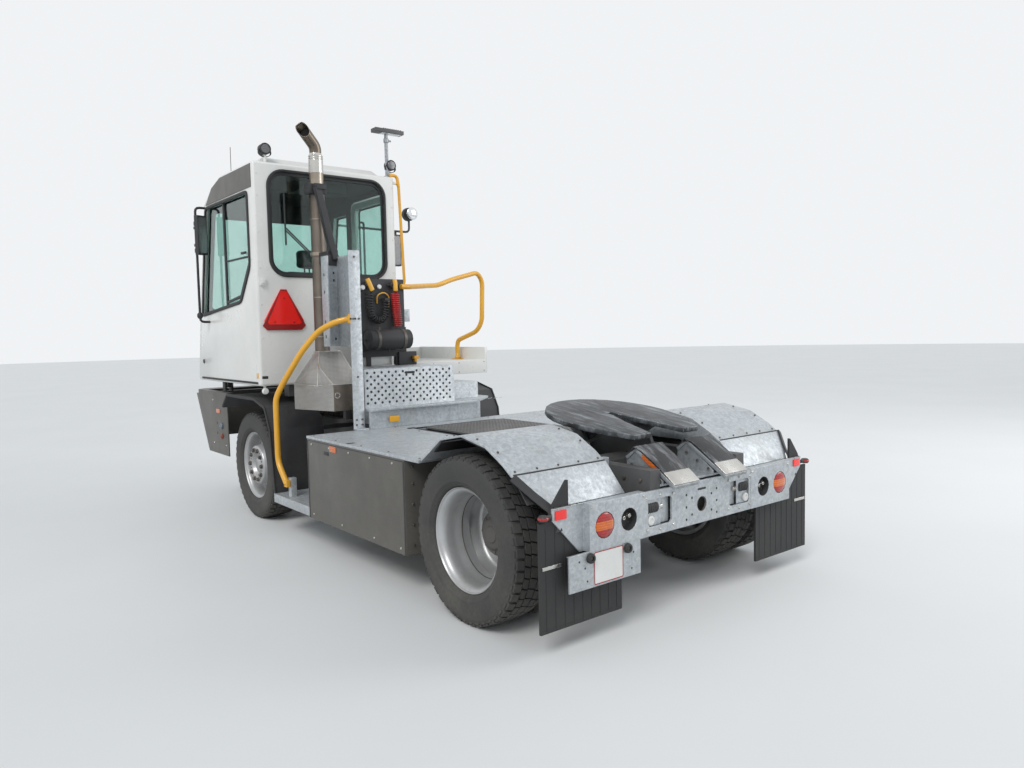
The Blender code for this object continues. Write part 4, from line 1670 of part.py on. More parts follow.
def cab_shell():
    outside = [
        (CAB_REAR_Y, CAB_BOTTOM), (CAB_REAR_Y, ROOF_Z), (ROOF_FRONT_Y, ROOF_Z), (CAB_CROWN_Y, CAB_CROWN_Z),
        (CAB_BROW_Y, CAB_BROW_Z), (CAB_WAIST_Y, CAB_WAIST_Z), (CAB_FRONT_Y, CAB_BOTTOM),
    ]
    inside = [
        (CAB_REAR_Y - CAB_WALL, CAB_BOTTOM + CAB_WALL), (CAB_REAR_Y - CAB_WALL, ROOF_Z - CAB_WALL),
        (ROOF_FRONT_Y, ROOF_Z - CAB_WALL), (CAB_CROWN_Y + CAB_WALL / 2, CAB_CROWN_Z - CAB_WALL),
        (CAB_BROW_Y + CAB_WALL, CAB_BROW_Z - CAB_WALL / 2), (CAB_WAIST_Y + CAB_WALL, CAB_WAIST_Z),
        (CAB_FRONT_Y + CAB_WALL * 1.1, CAB_BOTTOM + CAB_WALL),
    ]
    width = CAB_LEFT_X - CAB_RIGHT_X
    shell = plate("cab_shell", cab_axis, outside, SIDE, (CAB_MID_X, 0, 0), width)
    edge = shell.modifiers.new("Edge", "BEVEL")
    edge.width = CAB_EDGE_R
    edge.segments = 2
    edge.limit_method = "ANGLE"
    edge.angle_limit = radians(60)
    room = plate("cab_room", cab_axis, inside, SIDE, (CAB_MID_X, 0, 0), width - CAB_WALL * 2)
    cut(shell, [room])
    cut(shell, [
        plate("rear_opening", cab_axis, REAR_PANE, REAR, (0, CAB_REAR_Y - CAB_WALL / 2, 0), CAB_WALL * 2),
        plate("side_opening", cab_axis, SIDE_PANE, SIDE, (CAB_LEFT_X - CAB_WALL / 2, 0, 0), CAB_WALL * 2),
        plate("quarter_opening", cab_axis, QUARTER, SIDE, (CAB_RIGHT_X + CAB_WALL / 2, 0, 0), CAB_WALL * 2),
        plate("door_opening", cab_axis, DOOR_OUTLINE, SIDE, (CAB_RIGHT_X + CAB_WALL / 2, 0, 0), CAB_WALL * 2),
        screen_block("screen_opening", width - (CAB_WALL + SCREEN_SIDE) * 2, CAB_WALL * 3,
                     SCREEN_LENGTH - SCREEN_LIFT - SCREEN_DROP),
    ])
    cap = plate("roof_cap", cab_axis, [
        (ROOF_CAP_REAR_Y, ROOF_Z - SINK), (ROOF_CAP_REAR_Y - ROOF_CAP_H, ROOF_Z + ROOF_CAP_H),
        (ROOF_FRONT_Y, ROOF_Z + ROOF_CAP_H), (CAB_CROWN_Y + CAB_EDGE_R, CAB_CROWN_Z + ROOF_CAP_H * 3 / 4),
        (ROOF_CAP_NOSE_Y, CAB_CROWN_Z - CAB_EDGE_R), (ROOF_FRONT_Y, ROOF_Z - CAB_EDGE_R),
        (ROOF_CAP_REAR_Y - ROOF_CAP_H, ROOF_Z - CAB_EDGE_R),
    ], SIDE, (CAB_MID_X, 0, 0), width - ROOF_CAP_INSET * 2)
    side_x = width / 2 - ROOF_CAP_INSET
    taper = plate("cap_taper", cab_axis, [
        (CAB_MID_X - side_x, CAB_BROW_Z), (CAB_MID_X + side_x, CAB_BROW_Z), (CAB_MID_X + side_x, ROOF_Z),
        (CAB_MID_X + side_x - ROOF_CAP_H, ROOF_Z + ROOF_CAP_H), (CAB_MID_X - side_x + ROOF_CAP_H, ROOF_Z + ROOF_CAP_H),
        (CAB_MID_X - side_x, ROOF_Z),
    ], REAR, (0, (ROOF_CAP_REAR_Y + ROOF_CAP_NOSE_Y) / 2, 0), ROOF_CAP_REAR_Y - ROOF_CAP_NOSE_Y + OVERRUN)
    share_of(cap, [taper])
    others = [cap]
    for x in (CAB_LUG_LEFT_X, CAB_LUG_RIGHT_X):
        others.append(bar("lug_eye", cab_axis, (x - CAB_LUG_T / 2, CAB_HINGE_Y, CAB_HINGE_Z),
                          (x + CAB_LUG_T / 2, CAB_HINGE_Y, CAB_HINGE_Z), CAB_LUG_R - SINK, ROUND_SEGMENTS))
        others.append(block("lug", cab_axis, (x - CAB_LUG_T / 2, CAB_HINGE_Y - CAB_LUG_R / 2, CAB_HINGE_Z + SINK),
                            (x + CAB_LUG_T / 2, CAB_HINGE_Y + CAB_LUG_R / 2, CAB_BOTTOM + SINK)))
    for x, foot_x in ((ROOF_LAMP_LEFT_X, ROOF_LAMP_LEFT_X), (ROOF_LAMP_RIGHT_X, ROOF_LAMP_RIGHT_X + ROOF_LAMP_LEAN)):
        others.append(bar("lamp_stalk", cab_axis, (foot_x, ROOF_LAMP_Y, ROOF_Z - SINK), (x, ROOF_LAMP_Y, ROOF_LAMP_Z), MAST_R))
        others.append(bar("roof_lamp", cab_axis, (x, ROOF_LAMP_Y - ROOF_LAMP_T / 2, ROOF_LAMP_Z),
                          (x, ROOF_LAMP_Y + ROOF_LAMP_T / 2, ROOF_LAMP_Z), ROOF_LAMP_R, ROUND_SEGMENTS))
    others.append(bar("mast", cab_axis, (MAST_X, ROOF_LAMP_Y, ROOF_Z - SINK), (MAST_X, ROOF_LAMP_Y, MAST_TOP), MAST_R))
    others.append(block("mast_head", cab_axis, (MAST_HEAD_RIGHT_X, ROOF_LAMP_Y - MAST_HEAD_W / 2, MAST_TOP - SINK),
                        (MAST_HEAD_LEFT_X, ROOF_LAMP_Y + MAST_HEAD_W / 2, MAST_TOP - SINK + MAST_HEAD_T)))
    pole = rounded([
        (CAB_RIGHT_X + SINK, POLE_Y, POLE_TOP_Z), (POLE_OUT_X, POLE_Y, POLE_TOP_Z), (POLE_LOW_X, POLE_Y, POLE_LOW_Z),
        (CAB_RIGHT_X + SINK, POLE_Y, POLE_LOW_Z)], POLE_R * 4)
    others.append(tube("grab_pole", cab_axis, pole, POLE_R))
    for z in DOOR_HINGE_HEIGHTS:
        others.append(bar("hinge_knuckle", cab_axis, (DOOR_HINGE_X, DOOR_HINGE_Y, z - DOOR_HINGE_H),
                          (DOOR_HINGE_X, DOOR_HINGE_Y, z), DOOR_HINGE_R))
        others.append(bar("hinge_pin", cab_axis, (DOOR_HINGE_X, DOOR_HINGE_Y, z - SINK),
                          (DOOR_HINGE_X, DOOR_HINGE_Y, z + DOOR_HINGE_H), DOOR_HINGE_R / 2))
        others.append(block("hinge_leaf", cab_axis, (DOOR_HINGE_X, DOOR_HINGE_Y - DOOR_HINGE_H, z - DOOR_HINGE_H + GAP),
                            (CAB_RIGHT_X + SINK, DOOR_HINGE_Y - GAP, z - GAP)))
    joined(shell, others)
    cut(shell, [bar("lug_hole", cab_axis, (x - CAB_LUG_T, CAB_HINGE_Y, CAB_HINGE_Z),
                    (x + CAB_LUG_T, CAB_HINGE_Y, CAB_HINGE_Z), CAB_PIN_R + GAP * 3)
                for x in (CAB_LUG_LEFT_X, CAB_LUG_RIGHT_X)])
    return paint(shell, "cab_white")


cab_shell()


# Panes, each in the middle of the wall it closes
def panes():
    paint(plate("rear_pane", cab_axis, shrunk(REAR_PANE, PANE_SHARE), REAR, (0, CAB_REAR_Y - CAB_WALL / 2, 0), PANE_T), "glass")
    paint(plate("side_pane", cab_axis, shrunk(SIDE_PANE, PANE_SHARE), SIDE, (CAB_LEFT_X - CAB_WALL / 2, 0, 0), PANE_T), "glass")
    paint(plate("quarter_pane", cab_axis, shrunk(QUARTER, PANE_SHARE), SIDE, (CAB_RIGHT_X + CAB_WALL / 2, 0, 0), PANE_T), "glass")
    width = CAB_LEFT_X - CAB_RIGHT_X - (CAB_WALL + SCREEN_SIDE) * 2
    paint(screen_block("windscreen", width * PANE_SHARE, PANE_T, (SCREEN_LENGTH - SCREEN_LIFT - SCREEN_DROP) * PANE_SHARE), "glass")


panes()


# Door on the right side, hinged at its front edge
door_axis = body("door_axis", (DOOR_HINGE_X, DOOR_HINGE_Y, DOOR_BOTTOM), cab_axis)


def cab_door():
    share = 1 - DOOR_GAP * 2 / (DOOR_REAR_Y - DOOR_FRONT_Y)
    x = CAB_RIGHT_X + DOOR_T / 2
    door = plate("cab_door", door_axis, shrunk(DOOR_OUTLINE, share), SIDE, (x, 0, 0), DOOR_T, [DOOR_PANE])
    leaves = []
    for z in DOOR_HINGE_HEIGHTS:
        leaves.append(bar("door_knuckle", door_axis, (DOOR_HINGE_X, DOOR_HINGE_Y, z + GAP),
                          (DOOR_HINGE_X, DOOR_HINGE_Y, z + DOOR_HINGE_H), DOOR_HINGE_R))
        leaves.append(block("door_leaf", door_axis, (DOOR_HINGE_X - SINK, DOOR_HINGE_Y + GAP, z + GAP * 2),
                            (CAB_RIGHT_X - GAP, DOOR_HINGE_Y + DOOR_HINGE_H, z + DOOR_HINGE_H - GAP)))
        leaves.append(block("leaf_foot", door_axis, (DOOR_HINGE_X, DOOR_FRONT_Y + DOOR_GAP + SINK, z + GAP * 4),
                            (CAB_RIGHT_X + SINK, DOOR_HINGE_Y + DOOR_HINGE_H - GAP, z + DOOR_HINGE_H - GAP * 4)))
    joined(door, leaves)
    cut(door, [bar("knuckle_hole", door_axis, (DOOR_HINGE_X, DOOR_HINGE_Y, z - OVERRUN),
                   (DOOR_HINGE_X, DOOR_HINGE_Y, z + DOOR_HINGE_H + OVERRUN), DOOR_HINGE_R / 2 + GAP * 2)
               for z in DOOR_HINGE_HEIGHTS])
    paint(door, "cab_white")
    paint(plate("door_pane", door_axis, shrunk(DOOR_PANE, PANE_SHARE), SIDE, (x, 0, 0), PANE_T), "glass")


cab_door()


# Seat, dash with its column, and the steering wheel on the column's spigot
def seat():
    floor = CAB_BOTTOM + CAB_WALL + GAP
    top = floor + SEAT_BASE_H
    piece = block("seat", cab_axis, (SEAT_X - SEAT_W / 2, SEAT_Y - SEAT_D / 2, top), (SEAT_X + SEAT_W / 2, SEAT_Y + SEAT_D / 2, top + SEAT_CUSHION_T))
    back_y = SEAT_Y + SEAT_D / 2 - SEAT_BACK_T / 2
    others = [
        block("seat_base", cab_axis, (SEAT_X - SEAT_W / 3, SEAT_Y - SEAT_D / 3, floor), (SEAT_X + SEAT_W / 3, SEAT_Y + SEAT_D / 3, top + SINK)),
        block("seat_back", cab_axis, (SEAT_X - SEAT_W / 2 + SINK, back_y - SEAT_BACK_T / 2, top + SEAT_CUSHION_T / 2),
              (SEAT_X + SEAT_W / 2 - SINK, back_y + SEAT_BACK_T / 2 - SINK, top + SEAT_BACK_H)),
        block("seat_head", cab_axis, (SEAT_X - SEAT_HEAD_W / 2, back_y - SEAT_BACK_T / 2 + SINK, top + SEAT_BACK_H - SINK),
              (SEAT_X + SEAT_HEAD_W / 2, back_y + SEAT_BACK_T / 2 - SINK * 2, top + SEAT_BACK_H + SEAT_HEAD_H)),
    ]
    return paint(joined(piece, others), "seat_cloth")


seat()

COLUMN_AIM = Vector((0, sin(radians(STEERING_TILT)), cos(radians(STEERING_TILT))))
WHEEL_CENTRE = Vector((SEAT_X, WHEEL_CENTRE_Y, WHEEL_CENTRE_Z))


def dash():
    floor = CAB_BOTTOM + CAB_WALL + GAP
    outline = [
        (DASH_FRONT_Y, floor), (DASH_FRONT_Y + DASH_DEPTH / 2, floor),
        (DASH_WAIST_Y + DASH_DEPTH, floor + DASH_H), (DASH_WAIST_Y, floor + DASH_H),
    ]
    width = CAB_LEFT_X - CAB_RIGHT_X - CAB_WALL * 2 - GAP * 2
    piece = plate("dash", cab_axis, outline, SIDE, (CAB_MID_X, 0, 0), width)
    hub_face = WHEEL_CENTRE - COLUMN_AIM * STEERING_HUB_T
    low = WHEEL_CENTRE - COLUMN_AIM * COLUMN_LENGTH
    column = bar("column", cab_axis, low, hub_face - COLUMN_AIM * GAP, COLUMN_R)
    spigot = bar("spigot", cab_axis, hub_face - COLUMN_AIM * STEERING_HUB_T, hub_face + COLUMN_AIM * STEERING_HUB_T / 2, COLUMN_R / 3)
    return paint(joined(piece, [column, spigot]), "black_plastic")


dash()
steering_axis = body("steering_axis", tuple(WHEEL_CENTRE), cab_axis)


def steering_wheel():
    rim = [(STEERING_RING_R + STEERING_TUBE_R * cos(pi * i / 4), STEERING_TUBE_R * sin(pi * i / 4)) for i in range(8)]
    piece = turned("steering_wheel", steering_axis, rim, (0, 0, 0), FINE_SEGMENTS, True)
    aim = Matrix.Rotation(-radians(STEERING_TILT), 4, "X")
    piece.matrix_local = aim
    hub = bar("hub", steering_axis, WHEEL_CENTRE - COLUMN_AIM * (STEERING_HUB_T - GAP), WHEEL_CENTRE + COLUMN_AIM * STEERING_TUBE_R, COLUMN_R * 1.5, ROUND_SEGMENTS)
    spokes = []
    for turn in (0, 120, 240):
        across = Matrix.Rotation(radians(turn), 4, COLUMN_AIM) @ Vector((1, 0, 0))
        spokes.append(bar("spoke", steering_axis, WHEEL_CENTRE + across * COLUMN_R, WHEEL_CENTRE + across * STEERING_RING_R, STEERING_TUBE_R / 2))
    joined(piece, [hub] + spokes)
    cut(piece, [bar("hub_bore", steering_axis, WHEEL_CENTRE - COLUMN_AIM * STEERING_HUB_T * 2,
                    WHEEL_CENTRE - COLUMN_AIM * STEERING_TUBE_R / 2, COLUMN_R / 3 + GAP * 2)])
    return paint(piece, "black_plastic")


steering_wheel()


# Warning triangle on the cab's rear face
def warning_triangle():
    low, high = TRIANGLE_Z - TRIANGLE_H / 3, TRIANGLE_Z + TRIANGLE_H * 2 / 3
    c = TRIANGLE_CORNER
    slope = TRIANGLE_HALF / TRIANGLE_H
    outline = [
        (TRIANGLE_X - TRIANGLE_HALF + c, low), (TRIANGLE_X + TRIANGLE_HALF - c, low),
        (TRIANGLE_X + TRIANGLE_HALF - c * slope, low + c), (TRIANGLE_X + c * slope, high - c),
        (TRIANGLE_X - c * slope, high - c), (TRIANGLE_X - TRIANGLE_HALF + c * slope, low + c),
    ]
    y = CAB_REAR_Y + GAP + TRIANGLE_T / 2
    return paint(plate("warning_triangle", cab_axis, outline, REAR, (0, y, 0), TRIANGLE_T), "triangle_red")


warning_triangle()


# Mirrors on their arms
def left_mirror():
    housing = block("mirror_left", cab_axis, (MIRROR_X - MIRROR_W / 2, MIRROR_Y - MIRROR_D / 2, MIRROR_BOTTOM),
                    (MIRROR_X + MIRROR_W / 2, MIRROR_Y + MIRROR_D / 2, MIRROR_TOP),
                    Matrix.Rotation(radians(MIRROR_TURN), 4, "Z"))
    arm_y = MIRROR_ARM_Y
    route = rounded([
        (CAB_LEFT_X + GAP, arm_y, MIRROR_ARM_TOP), (MIRROR_ARM_X, arm_y, MIRROR_ARM_TOP),
        (MIRROR_ARM_X, arm_y, MIRROR_ARM_LOW), (CAB_LEFT_X + GAP, arm_y, MIRROR_ARM_LOW)], MIRROR_ARM_R * 4)
    others = [tube("mirror_arm", cab_axis, route, MIRROR_ARM_R)]
    for z in (MIRROR_BOTTOM + MIRROR_D * 2, MIRROR_TOP - MIRROR_D * 2):
        others.append(block("mirror_clamp", cab_axis, (MIRROR_ARM_X - MIRROR_ARM_R * 1.5, arm_y - MIRROR_ARM_R * 1.5, z - MIRROR_ARM_R),
                            (MIRROR_ARM_X + MIRROR_ARM_R * 1.5, MIRROR_Y - MIRROR_D / 2 + SINK, z + MIRROR_ARM_R)))
    return paint(joined(housing, others), "black_plastic")


left_mirror()


def right_mirror():
    housing = block("mirror_right", cab_axis,
                    (RIGHT_MIRROR_X - RIGHT_MIRROR_W / 2, RIGHT_MIRROR_Y - RIGHT_MIRROR_D / 2, RIGHT_MIRROR_BOTTOM),
                    (RIGHT_MIRROR_X + RIGHT_MIRROR_W / 2, RIGHT_MIRROR_Y + RIGHT_MIRROR_D / 2, RIGHT_MIRROR_TOP))
    route = rounded([
        (CAB_RIGHT_X - GAP, RIGHT_ARM_ROOT_Y, RIGHT_ARM_Z), (CAB_RIGHT_X - RIGHT_MIRROR_D, RIGHT_ARM_ROOT_Y, RIGHT_ARM_Z),
        (RIGHT_MIRROR_X, RIGHT_MIRROR_Y, RIGHT_ARM_Z), (ROUND_MIRROR_X, RIGHT_MIRROR_Y, RIGHT_ARM_Z),
        (ROUND_MIRROR_X, RIGHT_MIRROR_Y, ROUND_MIRROR_Z)], MIRROR_ARM_R * 4)
    others = [
        tube("mirror_arm", cab_axis, route, MIRROR_ARM_R),
        bar("mirror_drop", cab_axis, (RIGHT_MIRROR_X, RIGHT_MIRROR_Y, RIGHT_MIRROR_TOP - SINK),
            (RIGHT_MIRROR_X, RIGHT_MIRROR_Y, RIGHT_ARM_Z), MIRROR_ARM_R),
        bar("round_mirror", cab_axis, (ROUND_MIRROR_X, RIGHT_MIRROR_Y - RIGHT_MIRROR_D / 2, ROUND_MIRROR_Z),
            (ROUND_MIRROR_X, RIGHT_MIRROR_Y + RIGHT_MIRROR_D / 4, ROUND_MIRROR_Z), ROUND_MIRROR_R, ROUND_SEGMENTS),
    ]
    return paint(joined(housing, others), "black_plastic")


right_mirror()
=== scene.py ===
from math import cos, pi, radians, sin

import bmesh
import bpy
from mathutils import Matrix, Vector


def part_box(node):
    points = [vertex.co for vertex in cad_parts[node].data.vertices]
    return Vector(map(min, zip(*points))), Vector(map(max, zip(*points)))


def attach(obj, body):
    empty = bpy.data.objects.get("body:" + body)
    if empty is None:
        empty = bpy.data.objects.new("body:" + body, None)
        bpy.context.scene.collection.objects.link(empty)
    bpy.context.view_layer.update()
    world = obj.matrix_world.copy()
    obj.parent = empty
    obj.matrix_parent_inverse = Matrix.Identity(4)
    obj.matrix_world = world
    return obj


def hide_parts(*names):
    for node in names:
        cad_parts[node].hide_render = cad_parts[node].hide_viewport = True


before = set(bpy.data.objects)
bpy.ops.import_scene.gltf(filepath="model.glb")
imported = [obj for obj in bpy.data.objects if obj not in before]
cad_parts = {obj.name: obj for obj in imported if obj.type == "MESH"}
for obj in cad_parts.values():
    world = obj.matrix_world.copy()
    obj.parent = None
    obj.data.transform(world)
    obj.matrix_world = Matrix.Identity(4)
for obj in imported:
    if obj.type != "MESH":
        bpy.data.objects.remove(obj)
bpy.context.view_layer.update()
scene = bpy.context.scene
scene.view_settings.view_transform = "Standard"

# The tractor's own axes: X to its left, Y to its rear from the rear axle, Z up from the ground
FRONT_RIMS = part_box("front_rim_right")[0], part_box("front_rim_left")[1]
REAR_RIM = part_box("rear_rim_left")
ORIGIN = Vector(((FRONT_RIMS[0].x + FRONT_RIMS[1].x) / 2, (REAR_RIM[0].y + REAR_RIM[1].y) / 2, 0))
SIDES = ((1, "left"), (-1, "right"))


# Camera at the photograph's place
CAMERA_AT = Vector((3.635, 3.490, 1.640))
YAW, PITCH, ROLL = radians(218.80), radians(3.95), radians(1.196)
FOCAL_PIXELS, PICTURE_PIXELS, SENSOR = 776.7, 1024, 36
ahead = Vector((sin(YAW) * cos(PITCH), cos(YAW) * cos(PITCH), -sin(PITCH)))
right = Vector((cos(YAW), -sin(YAW), 0))
down = ahead.cross(right)
right, down = right * cos(ROLL) + down * sin(ROLL), down * cos(ROLL) - right * sin(ROLL)
camera_data = bpy.data.cameras.new("photo_camera")
camera_data.sensor_width = SENSOR
camera_data.lens = FOCAL_PIXELS * SENSOR / PICTURE_PIXELS
camera = bpy.data.objects.new("photo_camera", camera_data)
turned = Matrix((right, -down, -ahead)).transposed().to_4x4()
camera.matrix_world = Matrix.Translation(CAMERA_AT + ORIGIN) @ turned
scene.collection.objects.link(camera)
scene.camera = camera


# Shader groups
def node(tree, kind, inputs=None, **settings):
    """One shader node, its settings set and its inputs linked or given a value."""
    made = tree.nodes.new(kind)
    for key, value in settings.items():
        setattr(made, key, value)
    for key, value in (inputs or {}).items():
        if isinstance(value, bpy.types.NodeSocket):
            tree.links.new(value, made.inputs[key])
        else:
            made.inputs[key].default_value = value
    return made


def reckon(tree, operation, *values, clamp=False):
    """The result of one Math node."""
    made = node(tree, "ShaderNodeMath", dict(enumerate(values)), operation=operation)
    made.use_clamp = clamp
    return made.outputs[0]


def band_of(tree, value, low, high, out_low=0.0, out_high=1.0):
    """value eased from low..high to out_low..out_high."""
    made = node(tree, "ShaderNodeMapRange", {"Value": value, "From Min": low, "From Max": high,
                "To Min": out_low, "To Max": out_high}, interpolation_type="SMOOTHSTEP")
    return made.outputs["Result"]


def blended(tree, share, a, b):
    """Colour a to b by share."""
    made = node(tree, "ShaderNodeMix", {"Factor": share}, data_type="RGBA")
    for key, value in (("A_Color", a), ("B_Color", b)):
        socket = next(s for s in made.inputs if s.identifier == key)
        if isinstance(value, bpy.types.NodeSocket):
            tree.links.new(value, socket)
        else:
            socket.default_value = (*value[:3], 1)
    return next(s for s in made.outputs if s.identifier == "Result_Color")


def cloudy(tree, place, scale, detail=4.0, rough=0.55, sideways=0.0):
    """Noise over place."""
    made = node(tree, "ShaderNodeTexNoise", {"Vector": place, "Scale": scale, "Detail": detail,
                "Roughness": rough, "Distortion": sideways})
    return made.outputs["Fac"]


def stretched(tree, place, scale):
    return node(tree, "ShaderNodeMapping", {"Vector": place, "Scale": scale}).outputs[0]


def effect(name, inputs, outputs):
    """An empty shader group with named number inputs and named outputs, and its place and normal."""
    tree = bpy.data.node_groups.new(name, "ShaderNodeTree")
    for key, value in inputs.items():
        tree.interface.new_socket(key, in_out="INPUT", socket_type="NodeSocketFloat").default_value = value
    for key in outputs:
        kind = "NodeSocketVector" if key == "Normal" else "NodeSocketFloat"
        tree.interface.new_socket(key, in_out="OUTPUT", socket_type=kind)
    begin = tree.nodes.new("NodeGroupInput").outputs
    end = tree.nodes.new("NodeGroupOutput").inputs
    place = tree.nodes.new("ShaderNodeTexCoord").outputs["Object"]
    return tree, begin, end, place


def spangle_group():
    """The frosted flakes and darker runs of hot-dipped zinc."""
    tree, begin, end, place = effect("zinc_spangle", {"Flake Scale": 55.0, "Run Scale": 5.0},
                                     ["Shade", "Height"])
    bent = node(tree, "ShaderNodeVectorMath", {0: place, 1: node(tree, "ShaderNodeTexNoise",
                {"Vector": place, "Scale": 20.0}).outputs["Color"]}, operation="ADD").outputs[0]
    flakes = node(tree, "ShaderNodeTexVoronoi", {"Vector": place, "Scale": begin[0]}).outputs["Color"]
    flake = node(tree, "ShaderNodeSeparateColor", {"Color": flakes}).outputs[0]
    run = cloudy(tree, stretched(tree, bent, (1, 1, 0.45)), begin[1], 6, 0.65, 0.4)
    fine = cloudy(tree, place, 130.0, 3)
    mixed = reckon(tree, "ADD", reckon(tree, "MULTIPLY", flake, 0.34),
                   reckon(tree, "MULTIPLY", band_of(tree, run, 0.32, 0.7), 0.5))
    shade = reckon(tree, "ADD", mixed, reckon(tree, "MULTIPLY", fine, 0.18), clamp=True)
    tree.links.new(shade, end["Shade"])
    tree.links.new(reckon(tree, "ADD", reckon(tree, "MULTIPLY", flake, 0.3), fine), end["Height"])
    return tree


def dust_group():
    """Road dust: thick low down and on faces that look up, broken by noise."""
    tree, begin, end, place = effect("road_dust", {"Low Share": 0.6, "Low Height": 0.9, "Top Share": 0.3},
                                     ["Dust"])
    height = node(tree, "ShaderNodeSeparateXYZ", {"Vector": place}).outputs[2]
    facing = node(tree, "ShaderNodeSeparateXYZ",
                  {"Vector": tree.nodes.new("ShaderNodeNewGeometry").outputs["Normal"]}).outputs[2]
    low = node(tree, "ShaderNodeMapRange", {"Value": height, "From Min": 0.05, "From Max": begin[1],
               "To Min": begin[0], "To Max": 0.0}).outputs["Result"]
    top = reckon(tree, "MULTIPLY", band_of(tree, facing, 0.3, 0.95), begin[2])
    patches = band_of(tree, cloudy(tree, place, 4.2, 7, 0.62), 0.3, 0.72, 0.25, 1.0)
    specks = band_of(tree, cloudy(tree, place, 46.0, 3), 0.3, 0.7, 0.65, 1.0)
    dust = reckon(tree, "MULTIPLY", reckon(tree, "MULTIPLY", reckon(tree, "ADD", low, top), patches),
                  specks, clamp=True)
    tree.links.new(dust, end["Dust"])
    return tree


def edge_group():
    """Soft edges, and a mask of the places along them where the coat is rubbed away."""
    tree, begin, end, place = effect("rubbed_edges", {"Edge Width": 0.005, "Rub": 0.6}, ["Rub", "Normal"])
    soft = node(tree, "ShaderNodeBevel", {"Radius": begin[0]}, samples=4).outputs[0]
    plain = tree.nodes.new("ShaderNodeNewGeometry").outputs["Normal"]
    near = node(tree, "ShaderNodeVectorMath", {0: soft, 1: plain}, operation="DOT_PRODUCT").outputs["Value"]
    edge = band_of(tree, reckon(tree, "SUBTRACT", 1.0, near), 0.01, 0.14)
    broken = band_of(tree, cloudy(tree, place, 31.0, 6, 0.7), 0.45, 0.62)
    tree.links.new(reckon(tree, "MULTIPLY", reckon(tree, "MULTIPLY", edge, broken), begin[1], clamp=True),
                   end["Rub"])
    tree.links.new(soft, end["Normal"])
    return tree


def grain_group():
    """Fine grain with a few scratches, for colour, roughness and bump."""
    tree, begin, end, place = effect("fine_grain", {"Grain Scale": 300.0, "Cloud Scale": 3.0},
                                     ["Grain", "Cloud", "Scratch"])
    tree.links.new(cloudy(tree, place, begin[0], 2), end["Grain"])
    tree.links.new(cloudy(tree, place, begin[1], 6, 0.6), end["Cloud"])
    long_way = stretched(tree, place, (7, 3, 90))
    scratch = band_of(tree, cloudy(tree, long_way, 2.2, 3, 0.6, 0.6), 0.66, 0.74)
    tree.links.new(scratch, end["Scratch"])
    return tree


def streak_group():
    """Dirt that rain has washed down upright faces."""
    tree, begin, end, place = effect("washed_streaks", {"Streak Scale": 9.0, "Streak Share": 0.5}, ["Streak"])
    runs = cloudy(tree, stretched(tree, place, (1, 1, 0.08)), begin[0], 5, 0.6)
    patch = cloudy(tree, place, 2.1, 3)
    streak = reckon(tree, "MULTIPLY", band_of(tree, runs, 0.47, 0.75), band_of(tree, patch, 0.35, 0.65))
    tree.links.new(reckon(tree, "MULTIPLY", streak, begin[1], clamp=True), end["Streak"])
    return tree


def perforation_group():
    """Rows of small round holes over any upright or flat face."""
    tree, begin, end, place = effect("punched_holes", {"Pitch": 0.009, "Hole Share": 0.6}, ["Hole"])
    along = node(tree, "ShaderNodeSeparateXYZ", {"Vector": place}).outputs
    facing = node(tree, "ShaderNodeSeparateXYZ",
                  {"Vector": tree.nodes.new("ShaderNodeNewGeometry").outputs["True Normal"]}).outputs
    to_side = reckon(tree, "GREATER_THAN", reckon(tree, "ABSOLUTE", facing[0]),
                     reckon(tree, "ABSOLUTE", facing[1]))
    flat = reckon(tree, "GREATER_THAN", reckon(tree, "ABSOLUTE", facing[2]), 0.9)
    across = node(tree, "ShaderNodeMix", {"Factor": to_side, 2: along[0], 3: along[1]}).outputs[0]
    upward = node(tree, "ShaderNodeMix", {"Factor": flat, 2: along[2], 3: along[1]}).outputs[0]
    row = reckon(tree, "DIVIDE", upward, reckon(tree, "MULTIPLY", begin[0], 0.866))
    shift = reckon(tree, "MULTIPLY", reckon(tree, "MODULO", reckon(tree, "FLOOR", row), 2.0), 0.5)
    column = reckon(tree, "ADD", reckon(tree, "DIVIDE", across, begin[0]), shift)
    a = reckon(tree, "SUBTRACT", reckon(tree, "FRACT", column), 0.5)
    b = reckon(tree, "SUBTRACT", reckon(tree, "FRACT", row), 0.5)
    far = reckon(tree, "SQRT", reckon(tree, "ADD", reckon(tree, "MULTIPLY", a, a),
                                      reckon(tree, "MULTIPLY", b, b)))
    half = reckon(tree, "MULTIPLY", begin[1], 0.5)
    tree.links.new(reckon(tree, "LESS_THAN", far, half), end["Hole"])
    return tree


SPANGLE, DUST, EDGES, GRAIN = spangle_group(), dust_group(), edge_group(), grain_group()
STREAKS, HOLES = streak_group(), perforation_group()


# Finishes
def new_look(name, rough=0.5, metal=0.0, **plain):
    """A material with its shader, whose sockets are set from plain."""
    made = bpy.data.materials.new(name)
    made.use_nodes = True
    tree = made.node_tree
    shader = tree.nodes["Principled BSDF"]
    shader.inputs["Roughness"].default_value = rough
    shader.inputs["Metallic"].default_value = metal
    for key, value in plain.items():
        shader.inputs[key.replace("_", " ")].default_value = value
    return made, tree, shader.inputs


def placed(tree, group, **values):
    """A shader group placed in tree, its inputs set from values; returns its outputs."""
    made = node(tree, "ShaderNodeGroup", node_tree=group)
    for key, value in values.items():
        made.inputs[key.replace("_", " ")].default_value = value
    return made.outputs


